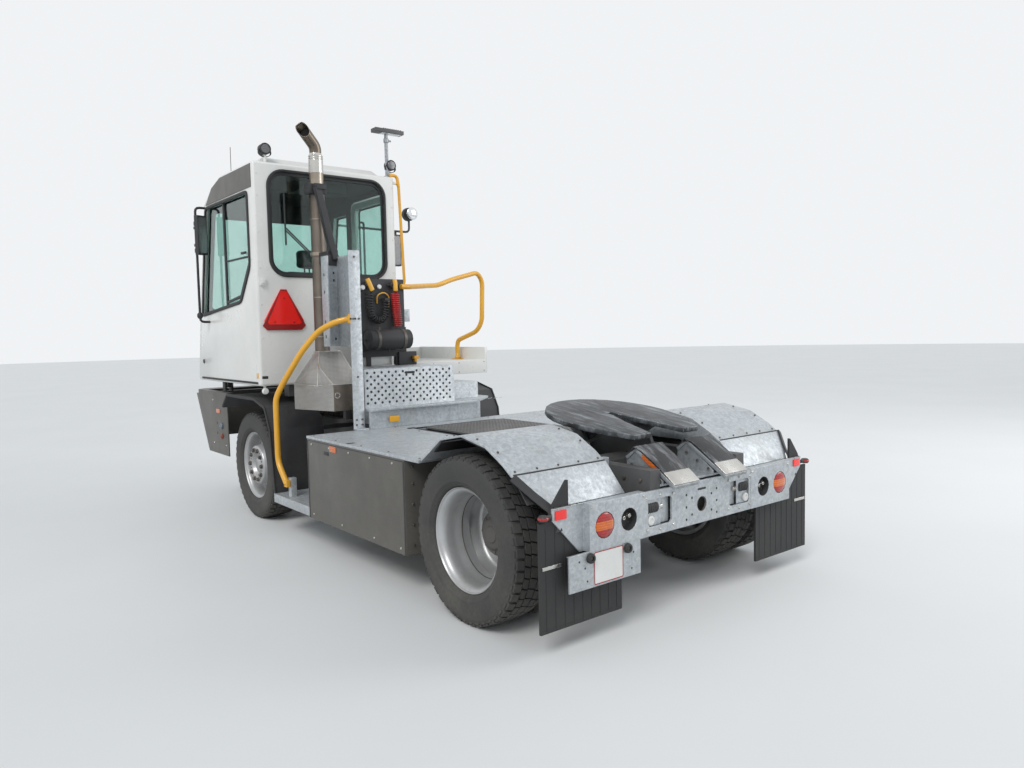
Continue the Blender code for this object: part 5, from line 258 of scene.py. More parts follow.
def coated(name, colour, other, rough, metal=0.0, bare=(0.3, 0.3, 0.3), rub=0.4, edge=0.004,
           dirt=(0.3, 0.29, 0.26), low=0.5, low_height=0.9, top=0.2, streak=0.3, cloud=3.0, grain=300.0,
           bump=0.06, scratch=0.3, **plain):
    """Paint, plastic or rubber: two near colours in clouds, rubbed edges, dust, streaks and a fine grain."""
    made, tree, sockets = new_look(name, rough, metal, **plain)
    wear = placed(tree, EDGES, Edge_Width=edge, Rub=rub)
    fine = placed(tree, GRAIN, Grain_Scale=grain, Cloud_Scale=cloud)
    dust = placed(tree, DUST, Low_Share=low, Low_Height=low_height, Top_Share=top)[0]
    washed = placed(tree, STREAKS, Streak_Share=streak)[0]
    base = blended(tree, band_of(tree, fine["Cloud"], 0.3, 0.7), colour, other)
    base = blended(tree, reckon(tree, "MULTIPLY", fine["Scratch"], scratch), base, bare)
    base = blended(tree, wear["Rub"], base, bare)
    base = blended(tree, reckon(tree, "MAXIMUM", dust, washed), base, dirt)
    tree.links.new(base, sockets["Base Color"])
    spread = reckon(tree, "ADD", rough, reckon(tree, "MULTIPLY",
                                               reckon(tree, "SUBTRACT", fine["Cloud"], 0.5), 0.3))
    tree.links.new(reckon(tree, "ADD", spread, reckon(tree, "MULTIPLY", dust, 0.35), clamp=True),
                   sockets["Roughness"])
    raised = node(tree, "ShaderNodeBump", {"Strength": bump, "Distance": 0.002, "Height": fine["Grain"],
                                           "Normal": wear["Normal"]})
    tree.links.new(raised.outputs[0], sockets["Normal"])
    return made


def zinc(name, dark, light, flake=55.0, run=5.0, low=0.35, top=0.12, metal=0.45, rough=0.42):
    """Galvanised sheet with its spangle, run marks and a little grime."""
    made, tree, sockets = new_look(name, rough, metal)
    flakes = placed(tree, SPANGLE, Flake_Scale=flake, Run_Scale=run)
    wear = placed(tree, EDGES, Edge_Width=0.004, Rub=0.7)
    dust = placed(tree, DUST, Low_Share=low, Low_Height=0.8, Top_Share=top)[0]
    washed = placed(tree, STREAKS, Streak_Share=0.35)[0]
    base = blended(tree, flakes["Shade"], dark, light)
    base = blended(tree, wear["Rub"], base, (0.78, 0.8, 0.81))
    base = blended(tree, washed, base, (0.3, 0.29, 0.27))
    base = blended(tree, dust, base, (0.25, 0.235, 0.21))
    tree.links.new(base, sockets["Base Color"])
    tree.links.new(reckon(tree, "SUBTRACT", rough + 0.14, reckon(tree, "MULTIPLY", flakes["Shade"], 0.26)),
                   sockets["Roughness"])
    raised = node(tree, "ShaderNodeBump", {"Strength": 0.12, "Distance": 0.002, "Height": flakes["Height"],
                                           "Normal": wear["Normal"]})
    tree.links.new(raised.outputs[0], sockets["Normal"])
    return made


def punched_steel(name, colour, other, hole, pitch, share, metal=0.8, rough=0.38):
    """Stainless sheet punched with rows of small holes, the holes painted in a dark colour as the painted
    shade seen through them.
    """
    made, tree, sockets = new_look(name, rough, metal)
    fine = placed(tree, GRAIN, Grain_Scale=220.0, Cloud_Scale=4.5)
    wear = placed(tree, EDGES, Edge_Width=0.004, Rub=0.5)
    holes = placed(tree, HOLES, Pitch=pitch, Hole_Share=share)[0]
    base = blended(tree, band_of(tree, fine["Cloud"], 0.3, 0.7), colour, other)
    base = blended(tree, wear["Rub"], base, (0.75, 0.73, 0.7))
    # the hole colour is painted shade: the dark seen through the holes
    tree.links.new(blended(tree, holes, base, hole), sockets["Base Color"])
    tree.links.new(reckon(tree, "ADD", rough - 0.1, reckon(tree, "MULTIPLY", fine["Cloud"], 0.25)),
                   sockets["Roughness"])
    height = reckon(tree, "SUBTRACT", reckon(tree, "MULTIPLY", fine["Grain"], 0.1), holes)
    raised = node(tree, "ShaderNodeBump", {"Strength": 0.35, "Distance": 0.002, "Height": height,
                                           "Normal": wear["Normal"]})
    tree.links.new(raised.outputs[0], sockets["Normal"])
    return made


def worn_steel(name, colour, bare, rough=0.4, metal=0.75):
    """Steel worn bright by sliding plates, with smears of old grease."""
    made, tree, sockets = new_look(name, rough, metal)
    fine = placed(tree, GRAIN, Grain_Scale=180.0, Cloud_Scale=3.4)
    wear = placed(tree, EDGES, Edge_Width=0.008, Rub=0.8)
    place = tree.nodes.new("ShaderNodeTexCoord").outputs["Object"]
    smear = band_of(tree, cloudy(tree, stretched(tree, place, (3.2, 1.2, 2)), 2.6, 8, 0.68, 1.2), 0.36, 0.66)
    rubbed = band_of(tree, cloudy(tree, stretched(tree, place, (9, 1.0, 2)), 3.4, 6, 0.6), 0.44, 0.66)
    base = blended(tree, rubbed, colour, bare)
    base = blended(tree, smear, (0.016, 0.017, 0.019), base)
    base = blended(tree, wear["Rub"], base, (0.6, 0.6, 0.58))
    tree.links.new(base, sockets["Base Color"])
    tree.links.new(reckon(tree, "ADD", rough - 0.16, reckon(tree, "MULTIPLY", fine["Cloud"], 0.42)),
                   sockets["Roughness"])
    tree.links.new(reckon(tree, "MULTIPLY", smear, metal), sockets["Metallic"])
    height = reckon(tree, "ADD", reckon(tree, "MULTIPLY", smear, 1.5), fine["Grain"])
    raised = node(tree, "ShaderNodeBump", {"Strength": 0.2, "Distance": 0.002, "Height": height,
                                           "Normal": wear["Normal"]})
    tree.links.new(raised.outputs[0], sockets["Normal"])
    return made


def lens(name, colour, deep, rib=140.0):
    """Moulded lamp lens, ribbed inside, over a dark cup."""
    made, tree, sockets = new_look(name, 0.14, Coat_Weight=0.6, Coat_Roughness=0.08)
    place = tree.nodes.new("ShaderNodeTexCoord").outputs["Object"]
    ribs = node(tree, "ShaderNodeTexWave", {"Vector": place, "Scale": rib / 6.28, "Distortion": 0.0},
                bands_direction="Z").outputs["Fac"]
    cells = node(tree, "ShaderNodeTexVoronoi", {"Vector": place, "Scale": rib}).outputs["Distance"]
    mixed = reckon(tree, "ADD", reckon(tree, "MULTIPLY", ribs, 0.5), reckon(tree, "MULTIPLY", cells, 0.9),
                   clamp=True)
    tree.links.new(blended(tree, mixed, colour, deep), sockets["Base Color"])
    raised = node(tree, "ShaderNodeBump", {"Strength": 0.3, "Distance": 0.001, "Height": mixed})
    tree.links.new(raised.outputs[0], sockets["Normal"])
    return made


def pane_glass(name, colour):
    """Tinted safety glass with a thin film of dust in its gloss."""
    made, tree, sockets = new_look(name, 0.03, Transmission_Weight=1.0, IOR=1.45, Specular_IOR_Level=0.35)
    place = tree.nodes.new("ShaderNodeTexCoord").outputs["Object"]
    film = cloudy(tree, place, 3.0, 6, 0.6)
    tree.links.new(blended(tree, band_of(tree, film, 0.4, 0.8), colour, [c * 0.86 for c in colour]),
                   sockets["Base Color"])
    tree.links.new(band_of(tree, film, 0.4, 0.9, 0.0, 0.06), sockets["Roughness"])
    return made


def cloth(name, colour, other):
    """Woven seat cloth with a thread weave and a little pilling."""
    made, tree, sockets = new_look(name, 0.85, Sheen_Weight=0.25, Sheen_Roughness=0.5)
    place = tree.nodes.new("ShaderNodeTexCoord").outputs["Object"]
    threads = [node(tree, "ShaderNodeTexWave", {"Vector": place, "Scale": 95.0, "Distortion": 0.4},
               bands_direction=way).outputs["Fac"] for way in ("X", "Y", "Z")]
    weave = reckon(tree, "MULTIPLY", reckon(tree, "ADD", threads[0], threads[1]), threads[2])
    cloud = cloudy(tree, place, 9.0, 5)
    tree.links.new(blended(tree, reckon(tree, "ADD", reckon(tree, "MULTIPLY", weave, 0.6),
                                        reckon(tree, "MULTIPLY", cloud, 0.4), clamp=True), colour, other),
                   sockets["Base Color"])
    raised = node(tree, "ShaderNodeBump", {"Strength": 0.4, "Distance": 0.001, "Height": weave})
    tree.links.new(raised.outputs[0], sockets["Normal"])
    return made


ZINC = zinc("galvanised_sheet", (0.35, 0.375, 0.395), (0.6, 0.635, 0.655))
ZINC_DARK = zinc("galvanised_dull", (0.22, 0.235, 0.25), (0.47, 0.495, 0.51), flake=42, low=0.5)
CAB_WHITE = coated("off_white_paint", (0.79, 0.785, 0.75), (0.74, 0.735, 0.7), 0.3, bare=(0.55, 0.54, 0.5),
                   rub=0.1, dirt=(0.52, 0.5, 0.45), low=0.15, low_height=1.6, top=0.12, streak=0.1,
                   bump=0.02, scratch=0.02, Coat_Weight=0.35, Coat_Roughness=0.12)
PANEL_GREY = coated("warm_grey_paint", (0.112, 0.105, 0.092), (0.088, 0.083, 0.074), 0.42,
                    bare=(0.3, 0.29, 0.27), rub=0.5, dirt=(0.2, 0.185, 0.16), low=0.55, top=0.15,
                    streak=0.28, bump=0.05, scratch=0.2)
BLACK_PLASTIC = coated("black_plastic", (0.02, 0.02, 0.022), (0.033, 0.033, 0.035), 0.55,
                       bare=(0.09, 0.09, 0.09), rub=0.35, dirt=(0.16, 0.15, 0.135), low=0.4, top=0.15,
                       streak=0.12, grain=420, bump=0.2, scratch=0.1)
RUBBER = coated("black_rubber", (0.017, 0.017, 0.018), (0.026, 0.026, 0.026), 0.62, bare=(0.06, 0.06, 0.06),
                rub=0.3, dirt=(0.11, 0.105, 0.095), low=0.2, top=0.1, streak=0.18, grain=240, bump=0.14,
                scratch=0.1)
TYRE_RUBBER = coated("tyre_rubber", (0.026, 0.026, 0.027), (0.042, 0.041, 0.04), 0.68,
                     bare=(0.08, 0.078, 0.074), rub=0.5, dirt=(0.15, 0.14, 0.12), low=0.65, low_height=1.1,
                     top=0.1, streak=0.1, grain=180, bump=0.2, scratch=0.05)
SILVER = coated("silver_wheel_paint", (0.52, 0.53, 0.54), (0.42, 0.42, 0.415), 0.33, metal=0.55,
                bare=(0.2, 0.16, 0.12), rub=0.3, dirt=(0.2, 0.17, 0.13), low=0.42, low_height=0.75, top=0.1,
                streak=0.35, bump=0.04, scratch=0.1)
YELLOW = coated("rail_yellow_paint", (0.83, 0.42, 0.028), (0.74, 0.36, 0.02), 0.32, bare=(0.25, 0.13, 0.03),
                rub=0.3, dirt=(0.38, 0.26, 0.1), low=0.3, top=0.15, streak=0.2, bump=0.05, scratch=0.15,
                Coat_Weight=0.3)
FRAME_GREY = coated("chassis_grey_paint", (0.085, 0.085, 0.085), (0.06, 0.06, 0.062), 0.5,
                    bare=(0.16, 0.11, 0.08), rub=0.6, dirt=(0.17, 0.155, 0.13), low=0.6, low_height=1.0,
                    top=0.35, streak=0.4, bump=0.1)
CASTING = coated("dark_casting", (0.07, 0.068, 0.066), (0.095, 0.09, 0.085), 0.6, bare=(0.2, 0.12, 0.07),
                 rub=0.5, dirt=(0.18, 0.155, 0.125), low=0.6, low_height=1.0, top=0.4, streak=0.3,
                 grain=110, bump=0.3)
PLATE_STEEL = worn_steel("greased_plate_steel", (0.1, 0.105, 0.112), (0.3, 0.32, 0.34))
RAMP_STEEL = worn_steel("rubbed_ramp_steel", (0.06, 0.062, 0.066), (0.34, 0.35, 0.36), rough=0.46, metal=0.6)
STAINLESS = coated("heat_tinted_steel", (0.4, 0.35, 0.29), (0.28, 0.235, 0.185), 0.32, metal=0.85,
                   bare=(0.6, 0.55, 0.48), rub=0.3, dirt=(0.2, 0.16, 0.11), low=0.0, top=0.2, streak=0.5,
                   cloud=5, bump=0.05)
BRIGHT_STEEL = coated("bright_steel", (0.66, 0.65, 0.62), (0.5, 0.48, 0.45), 0.26, metal=0.9,
                      bare=(0.7, 0.7, 0.7), rub=0.2, dirt=(0.3, 0.28, 0.25), low=0.3, top=0.15, streak=0.2,
                      bump=0.04)
DARK_STEEL = coated("sooty_steel", (0.1, 0.09, 0.082), (0.16, 0.14, 0.12), 0.45, metal=0.6,
                    bare=(0.3, 0.26, 0.22), rub=0.5, dirt=(0.06, 0.055, 0.05), low=0.0, top=0.3, streak=0.4,
                    bump=0.08)
SOOT = coated("soot", (0.007, 0.0065, 0.006), (0.012, 0.011, 0.01), 0.95, bare=(0.02, 0.019, 0.018),
              rub=0.05, cloud=9, bump=0.03)
SOOTY_TUBE = coated("brown_tinted_tube", (0.2, 0.165, 0.13), (0.13, 0.105, 0.085), 0.3, metal=0.85,
                    bare=(0.4, 0.34, 0.28), rub=0.3, dirt=(0.08, 0.065, 0.05), low=0.0, top=0.2, streak=0.4,
                    cloud=6, bump=0.05)
CHROME = coated("polished_rod", (0.75, 0.75, 0.75), (0.68, 0.68, 0.68), 0.12, metal=1.0,
                bare=(0.5, 0.5, 0.5), rub=0.1, dirt=(0.2, 0.18, 0.15), low=0.2, top=0.1, streak=0.1,
                bump=0.01)
# the third colour of each punched sheet is the painted shade inside its holes
SHIELD = punched_steel("perforated_shield", (0.24, 0.205, 0.175), (0.17, 0.145, 0.12), (0.05, 0.04, 0.035),
                       0.0105, 0.55, rough=0.42)
GUARD_MESH = punched_steel("perforated_guard", (0.44, 0.425, 0.405), (0.35, 0.335, 0.315),
                           (0.17, 0.16, 0.15), 0.0115, 0.5, metal=0.6)
RED_REFLECTOR = lens("red_reflector", (0.98, 0.02, 0.012), (0.9, 0.012, 0.008), 260)
DARK_RED = coated("dark_red_border", (0.3, 0.008, 0.008), (0.24, 0.006, 0.006), 0.35,
                  bare=(0.4, 0.05, 0.04), rub=0.1, low=0.0, streak=0.05)
RED_LENS = lens("red_lens", (0.62, 0.015, 0.01), (0.28, 0.004, 0.004))
AMBER_LENS = lens("amber_lens", (0.85, 0.2, 0.01), (0.55, 0.1, 0.005))
CLEAR_LENS = lens("clear_lens", (0.75, 0.76, 0.76), (0.45, 0.46, 0.47))
SMOKED_LENS = lens("smoked_lens", (0.2, 0.2, 0.2), (0.1, 0.1, 0.105))
WHITE_PLASTIC = coated("white_plastic", (0.78, 0.78, 0.76), (0.72, 0.72, 0.69), 0.4, bare=(0.5, 0.5, 0.48),
                       rub=0.15, dirt=(0.4, 0.38, 0.34), low=0.4, top=0.1, streak=0.25)
PLATE_RED = coated("red_line", (0.45, 0.02, 0.02), (0.4, 0.02, 0.02), 0.4, rub=0.1, low=0.1)
HOSE_RED = coated("red_hose", (0.6, 0.02, 0.02), (0.5, 0.015, 0.015), 0.3, bare=(0.3, 0.02, 0.02), rub=0.1,
                  low=0, top=0.1, streak=0, bump=0.02)
HOSE_BLACK = coated("black_hose", (0.018, 0.018, 0.02), (0.03, 0.03, 0.032), 0.35, bare=(0.06, 0.06, 0.06),
                    rub=0.1, low=0, top=0.15, streak=0)
GLASS = pane_glass("tinted_glass", (0.62, 0.82, 0.77))
SEAT_CLOTH = cloth("seat_cloth", (0.035, 0.036, 0.04), (0.075, 0.075, 0.082))
LINING = coated("cab_lining", (0.022, 0.022, 0.024), (0.032, 0.032, 0.034), 0.8, bare=(0.05, 0.05, 0.05),
                rub=0.1, low=0, top=0.1, streak=0, grain=160, bump=0.3)
MIRROR_FACE = coated("mirror_face", (0.82, 0.84, 0.85), (0.78, 0.8, 0.81), 0.05, metal=1.0,
                     bare=(0.6, 0.6, 0.6), rub=0.0, low=0, top=0, streak=0.08, bump=0)
BLUE_GREY = coated("blue_grey_fitting", (0.2, 0.26, 0.32), (0.16, 0.2, 0.25), 0.4, metal=0.3)
RED_FITTING = coated("red_rusty_fitting", (0.32, 0.05, 0.03), (0.22, 0.06, 0.03), 0.55)


# Shapes
def slab(bm, low, high, soft=0.0, turn=None, steps=2):
    """A block from low to high, its edges rounded by soft, turned about its middle."""
    low, high = Vector(low), Vector(high)
    middle, size = (low + high) / 2, high - low
    new = bmesh.new()
    bmesh.ops.create_cube(new, size=1, matrix=Matrix.Diagonal((*size, 1)))
    if soft:
        bmesh.ops.bevel(new, geom=new.edges[:], offset=soft, segments=steps, profile=0.7, affect="EDGES")
    new.transform(Matrix.Translation(middle) @ (turn.to_4x4() if turn else Matrix.Identity(4)))
    return taken(bm, new)


def taken(bm, new):
    """The faces of new, moved into bm."""
    mesh = bpy.data.meshes.new("part")
    new.to_mesh(mesh)
    new.free()
    bm.from_mesh(mesh)
    bpy.data.meshes.remove(mesh)
    return bm


def lathe(bm, centre, axis, profile, sides=40, closed=False):
    """profile of (radius, distance along axis) turned round the axis through centre."""
    centre, axis = Vector(centre), Vector(axis).normalized()
    u = axis.orthogonal().normalized()
    v = axis.cross(u)
    rings = []
    for r, along in profile:
        if r < 1e-6:
            rings.append([bm.verts.new(centre + axis * along)])
        else:
            rings.append([bm.verts.new(centre + axis * along + (u * cos(a) + v * sin(a)) * r)
                          for a in (2 * pi * i / sides for i in range(sides))])
    pairs = list(zip(rings, rings[1:] + rings[:1])) if closed else list(zip(rings, rings[1:]))
    for a, b in pairs:
        for i in range(sides):
            j = (i + 1) % sides
            if len(a) == 1 and len(b) > 1:
                bm.faces.new((a[0], b[j], b[i]))
            elif len(b) == 1 and len(a) > 1:
                bm.faces.new((a[i], a[j], b[0]))
            elif len(a) > 1:
                bm.faces.new((a[i], a[j], b[j], b[i]))
    return bm


def drum(bm, start, end, r, soft=0.0, sides=28, r_end=None):
    """A round bar from start to end with softened rims."""
    start, end = Vector(start), Vector(end)
    length = (end - start).length
    far = r if r_end is None else r_end
    profile = [(0, 0), (r - soft, 0), (r, soft), (far, length - soft), (far - soft, length), (0, length)]
    if not soft:
        profile = [(0, 0), (r, 0), (far, length), (0, length)]
    return lathe(bm, start, end - start, profile, sides)


def swept(bm, route, section, up, closed=False, capped=True):
    """section of (sideways, upwards) carried along route with mitred corners; up stays up."""
    route = [Vector(p) for p in route]
    up = Vector(up).normalized()
    count = len(route)
    rings = []
    for i, p in enumerate(route):
        before = route[i - 1] if (i or closed) else None
        after = route[(i + 1) % count] if (i < count - 1 or closed) else None
        come = (p - before).normalized() if before is not None else (after - p).normalized()
        go = (after - p).normalized() if after is not None else come
        ahead_of = (come + go).normalized() if (come + go).length > 1e-6 else come
        side = ahead_of.cross(up).normalized()
        reach = 1 / max(0.35, ahead_of.dot(come))
        rise = side.cross(ahead_of).normalized()
        rings.append([bm.verts.new(p + side * a * reach + rise * b) for a, b in section])
    n = len(section)
    spans = range(count if closed else count - 1)
    for k in spans:
        a, b = rings[k], rings[(k + 1) % count]
        for i in range(n):
            bm.faces.new((a[i], a[(i + 1) % n], b[(i + 1) % n], b[i]))
    if not closed and capped:
        bm.faces.new(rings[0])
        bm.faces.new(rings[-1][::-1])
    return bm


def pipe(bm, route, r, sides=14, closed=False):
    """A round tube along route, its frame carried without twist."""
    route = [Vector(p) for p in route]
    count = len(route)
    rings, side = [], None
    for i, p in enumerate(route):
        a = route[i - 1] if (i or closed) else p
        b = route[(i + 1) % count] if (i < count - 1 or closed) else p
        way = (b - a).normalized()
        if side is None:
            side = way.orthogonal().normalized()
        side = (side - way * side.dot(way)).normalized()
        other = way.cross(side)
        rings.append([bm.verts.new(p + (side * cos(t) + other * sin(t)) * r)
                      for t in (2 * pi * k / sides for k in range(sides))])
    for k in range(count if closed else count - 1):
        a, b = rings[k], rings[(k + 1) % count]
        for i in range(sides):
            bm.faces.new((a[i], a[(i + 1) % sides], b[(i + 1) % sides], b[i]))
    if not closed:
        bm.faces.new(rings[0])
        bm.faces.new(rings[-1][::-1])
    return bm


def rounded_route(points, radius, steps=6, closed=False):
    """points with each corner turned into an arc."""
    points = [Vector(p) for p in points]
    count = len(points)
    made = []
    for i, p in enumerate(points):
        if not closed and i in (0, count - 1):
            made.append(p)
            continue
        a, b = points[i - 1], points[(i + 1) % count]
        near = min(radius, (a - p).length * 0.48, (b - p).length * 0.48)
        start, end = p + (a - p).normalized() * near, p + (b - p).normalized() * near
        for k in range(steps + 1):
            t = k / steps
            made.append(start * (1 - t) ** 2 + p * 2 * t * (1 - t) + end * t ** 2)
    return made


def cut_sheet(bm, outline, thickness, place, u=(1, 0, 0), v=(0, 0, 1), holes=()):
    """A sheet cut to outline of (u, v) points, thick along u x v from place, with holes through it."""
    u, v, place = Vector(u).normalized(), Vector(v).normalized(), Vector(place)
    out = u.cross(v).normalized()
    new = bmesh.new()
    edges = []
    for loop in (outline, *holes):
        ring = [new.verts.new(place + u * a + v * b) for a, b in loop]
        edges += [new.edges.new((ring[i], ring[(i + 1) % len(ring)])) for i in range(len(ring))]
    bmesh.ops.triangle_fill(new, use_beauty=True, use_dissolve=False, edges=edges)
    solid = bmesh.ops.extrude_face_region(new, geom=new.faces[:] )
    bmesh.ops.translate(new, verts=[g for g in solid["geom"] if isinstance(g, bmesh.types.BMVert)],
                        vec=out * thickness)
    bmesh.ops.recalc_face_normals(new, faces=new.faces)
    return taken(bm, new)


def rounded_oblong(x0, y0, x1, y1, r, steps=5):
    made = []
    for cx, cy, begin in ((x1 - r, y1 - r, 0), (x0 + r, y1 - r, 90), (x0 + r, y0 + r, 180),
                          (x1 - r, y0 + r, 270)):
        made += [(cx + r * cos(radians(begin + 90 * k / steps)),
                  cy + r * sin(radians(begin + 90 * k / steps))) for k in range(steps + 1)]
    return made


def tube_section(half_w, half_h, soft, steps=3):
    """A rounded oblong section for swept strips."""
    return rounded_oblong(-half_w, -half_h, half_w, half_h, soft, steps)


def piece(name, bm, body, look, smooth=35, moved=True):
    """bm as a finished piece: in the shared frame, facing outwards, shaded, and riding on body."""
    if moved:
        bmesh.ops.translate(bm, verts=bm.verts, vec=ORIGIN)
    bmesh.ops.recalc_face_normals(bm, faces=bm.faces)
    mesh = bpy.data.meshes.new(name)
    bm.to_mesh(mesh)
    bm.free()
    mesh.materials.append(look)
    mesh.shade_smooth()
    mesh.set_sharp_from_angle(angle=radians(smooth))
    made = bpy.data.objects.new(name, mesh)
    scene.collection.objects.link(made)
    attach(made, body)
    return made


def within(face, low, high):
    return all(low[i] <= v.co[i] - ORIGIN[i] <= high[i] for v in face.verts for i in range(3))


def softened(node_name, body, look, width=0.0, zones=(), angle=30):
    """A CAD node's own shape with rounded edges, for the node; zones of (finish, low, high) differ."""
    bm = bmesh.new()
    bm.from_mesh(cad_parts[node_name].data)
    bmesh.ops.remove_doubles(bm, verts=bm.verts, dist=0.00002)
    bmesh.ops.dissolve_limit(bm, angle_limit=radians(1), verts=bm.verts, edges=bm.edges)
    if width:
        sharp = [e for e in bm.edges if len(e.link_faces) == 2 and e.calc_face_angle(0) > radians(angle)]
        bmesh.ops.bevel(bm, geom=sharp, offset=width, offset_type="OFFSET", segments=2, profile=0.6,
                        affect="EDGES", clamp_overlap=True)
    for face in bm.faces:
        for i, (_, low, high) in enumerate(zones):
            if within(face, low, high):
                face.material_index = i + 1
    made = piece(node_name + "_shape", bm, body, look, moved=False)
    for zone_look, _, _ in zones:
        made.data.materials.append(zone_look)
    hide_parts(node_name)
    return made


# Repeated fittings
def fitting_tree():
    """Geometry Nodes: one small turned or sided fitting at each point, facing the way that the point says."""
    tree = bpy.data.node_groups.new("fittings_on_points", "GeometryNodeTree")
    tree.interface.new_socket("Geometry", in_out="INPUT", socket_type="NodeSocketGeometry")
    for key, value in (("Foot Radius", 0.008), ("Head Radius", 0.006), ("Height", 0.004)):
        tree.interface.new_socket(key, in_out="INPUT", socket_type="NodeSocketFloat").default_value = value
    tree.interface.new_socket("Sides", in_out="INPUT", socket_type="NodeSocketInt").default_value = 10
    tree.interface.new_socket("Finish", in_out="INPUT", socket_type="NodeSocketMaterial")
    tree.interface.new_socket("Geometry", in_out="OUTPUT", socket_type="NodeSocketGeometry")
    begin = tree.nodes.new("NodeGroupInput").outputs
    facing = tree.nodes.new("GeometryNodeInputNamedAttribute")
    facing.data_type = "FLOAT_VECTOR"
    facing.inputs["Name"].default_value = "facing"
    turn = tree.nodes.new("FunctionNodeAlignRotationToVector")
    turn.axis = "Z"
    tree.links.new(facing.outputs["Attribute"], turn.inputs["Vector"])
    cone = tree.nodes.new("GeometryNodeMeshCone")
    for key, socket in (("Radius Bottom", begin[1]), ("Radius Top", begin[2]), ("Depth", begin[3]),
                        ("Vertices", begin[4])):
        tree.links.new(socket, cone.inputs[key])
    spread = tree.nodes.new("GeometryNodeInstanceOnPoints")
    tree.links.new(begin[0], spread.inputs["Points"])
    tree.links.new(cone.outputs["Mesh"], spread.inputs["Instance"])
    tree.links.new(turn.outputs["Rotation"], spread.inputs["Rotation"])
    ended(tree, spread.outputs[0], begin[5])
    return tree


def ended(tree, geometry, look):
    """Realize Instances and Set Material at the end of a tree."""
    real = tree.nodes.new("GeometryNodeRealizeInstances")
    paint = tree.nodes.new("GeometryNodeSetMaterial")
    end = tree.nodes.new("NodeGroupOutput").inputs
    tree.links.new(geometry, real.inputs[0])
    tree.links.new(real.outputs[0], paint.inputs["Geometry"])
    tree.links.new(look, paint.inputs["Material"])
    tree.links.new(paint.outputs[0], end[0])


def grown(name, base, tree, values, body, look, smooth=35):
    """base run through a Geometry Nodes tree, kept as one plain mesh that rides on body."""
    holder = bpy.data.objects.new(name + "_base", base)
    scene.collection.objects.link(holder)
    modifier = holder.modifiers.new("nodes", "NODES")
    modifier.node_group = tree
    named = {s.name: s.identifier for s in tree.interface.items_tree if s.in_out == "INPUT"}
    for key, value in values.items():
        modifier[named[key]] = value
    modifier[named["Finish"]] = look
    holder.update_tag()
    bpy.context.view_layer.update()
    mesh = bpy.data.meshes.new_from_object(holder.evaluated_get(bpy.context.evaluated_depsgraph_get()))
    bpy.data.objects.remove(holder)
    mesh.name = name
    mesh.materials.clear()
    mesh.materials.append(look)
    mesh.shade_smooth()
    mesh.set_sharp_from_angle(angle=radians(smooth))
    for extra in [a.name for a in mesh.attributes if a.name == "facing"]:
        mesh.attributes.remove(mesh.attributes[extra])
    made = bpy.data.objects.new(name, mesh)
    scene.collection.objects.link(made)
    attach(made, body)
    return made


FITTINGS = fitting_tree()


def fittings(name, spots, body, look, foot=0.008, head=0.006, height=0.004, sides=10):
    """The same small fitting at each (point, facing) of spots."""
    base = bpy.data.meshes.new(name)
    base.from_pydata([Vector(p) + ORIGIN for p, _ in spots], [], [])
    facing = base.attributes.new("facing", "FLOAT_VECTOR", "POINT")
    facing.data.foreach_set("vector", [c for _, way in spots for c in Vector(way).normalized()])
    return grown(name, base, FITTINGS, {"Foot Radius": foot, "Head Radius": head, "Height": height,
                                        "Sides": sides}, body, look)


def ring_tree():
    """Geometry Nodes: the base mesh repeated evenly round an axle that lies along X."""
    tree = bpy.data.node_groups.new("ring_of_parts", "GeometryNodeTree")
    tree.interface.new_socket("Geometry", in_out="INPUT", socket_type="NodeSocketGeometry")
    tree.interface.new_socket("Count", in_out="INPUT", socket_type="NodeSocketInt").default_value = 10
    tree.interface.new_socket("Axle", in_out="INPUT", socket_type="NodeSocketVector")
    tree.interface.new_socket("Finish", in_out="INPUT", socket_type="NodeSocketMaterial")
    tree.interface.new_socket("Geometry", in_out="OUTPUT", socket_type="NodeSocketGeometry")
    begin = tree.nodes.new("NodeGroupInput").outputs
    points = tree.nodes.new("GeometryNodePoints")
    tree.links.new(begin[1], points.inputs["Count"])
    index = tree.nodes.new("GeometryNodeInputIndex").outputs[0]
    share = tree.nodes.new("ShaderNodeMath")
    share.operation = "DIVIDE"
    tree.links.new(index, share.inputs[0])
    tree.links.new(begin[1], share.inputs[1])
    angle = tree.nodes.new("ShaderNodeMath")
    angle.operation = "MULTIPLY"
    angle.inputs[1].default_value = 2 * pi
    tree.links.new(share.outputs[0], angle.inputs[0])
    euler = tree.nodes.new("ShaderNodeCombineXYZ")
    tree.links.new(angle.outputs[0], euler.inputs[0])
    turn = tree.nodes.new("FunctionNodeEulerToRotation")
    tree.links.new(euler.outputs[0], turn.inputs[0])
    spread = tree.nodes.new("GeometryNodeInstanceOnPoints")
    tree.links.new(points.outputs[0], spread.inputs["Points"])
    tree.links.new(begin[0], spread.inputs["Instance"])
    tree.links.new(turn.outputs[0], spread.inputs["Rotation"])
    real = tree.nodes.new("GeometryNodeRealizeInstances")
    place = tree.nodes.new("GeometryNodeTransform")
    tree.links.new(spread.outputs[0], real.inputs[0])
    tree.links.new(real.outputs[0], place.inputs["Geometry"])
    tree.links.new(begin[2], place.inputs["Translation"])
    ended(tree, place.outputs[0], begin[3])
    return tree


RING = ring_tree()


def ring_of(name, bm, count, axle, body, look, smooth=35):
    """bm, made round the origin, repeated count times round the axle."""
    bmesh.ops.recalc_face_normals(bm, faces=bm.faces)
    base = bpy.data.meshes.new(name)
    bm.to_mesh(base)
    bm.free()
    return grown(name, base, RING, {"Count": count, "Axle": Vector(axle) + ORIGIN}, body, look, smooth)


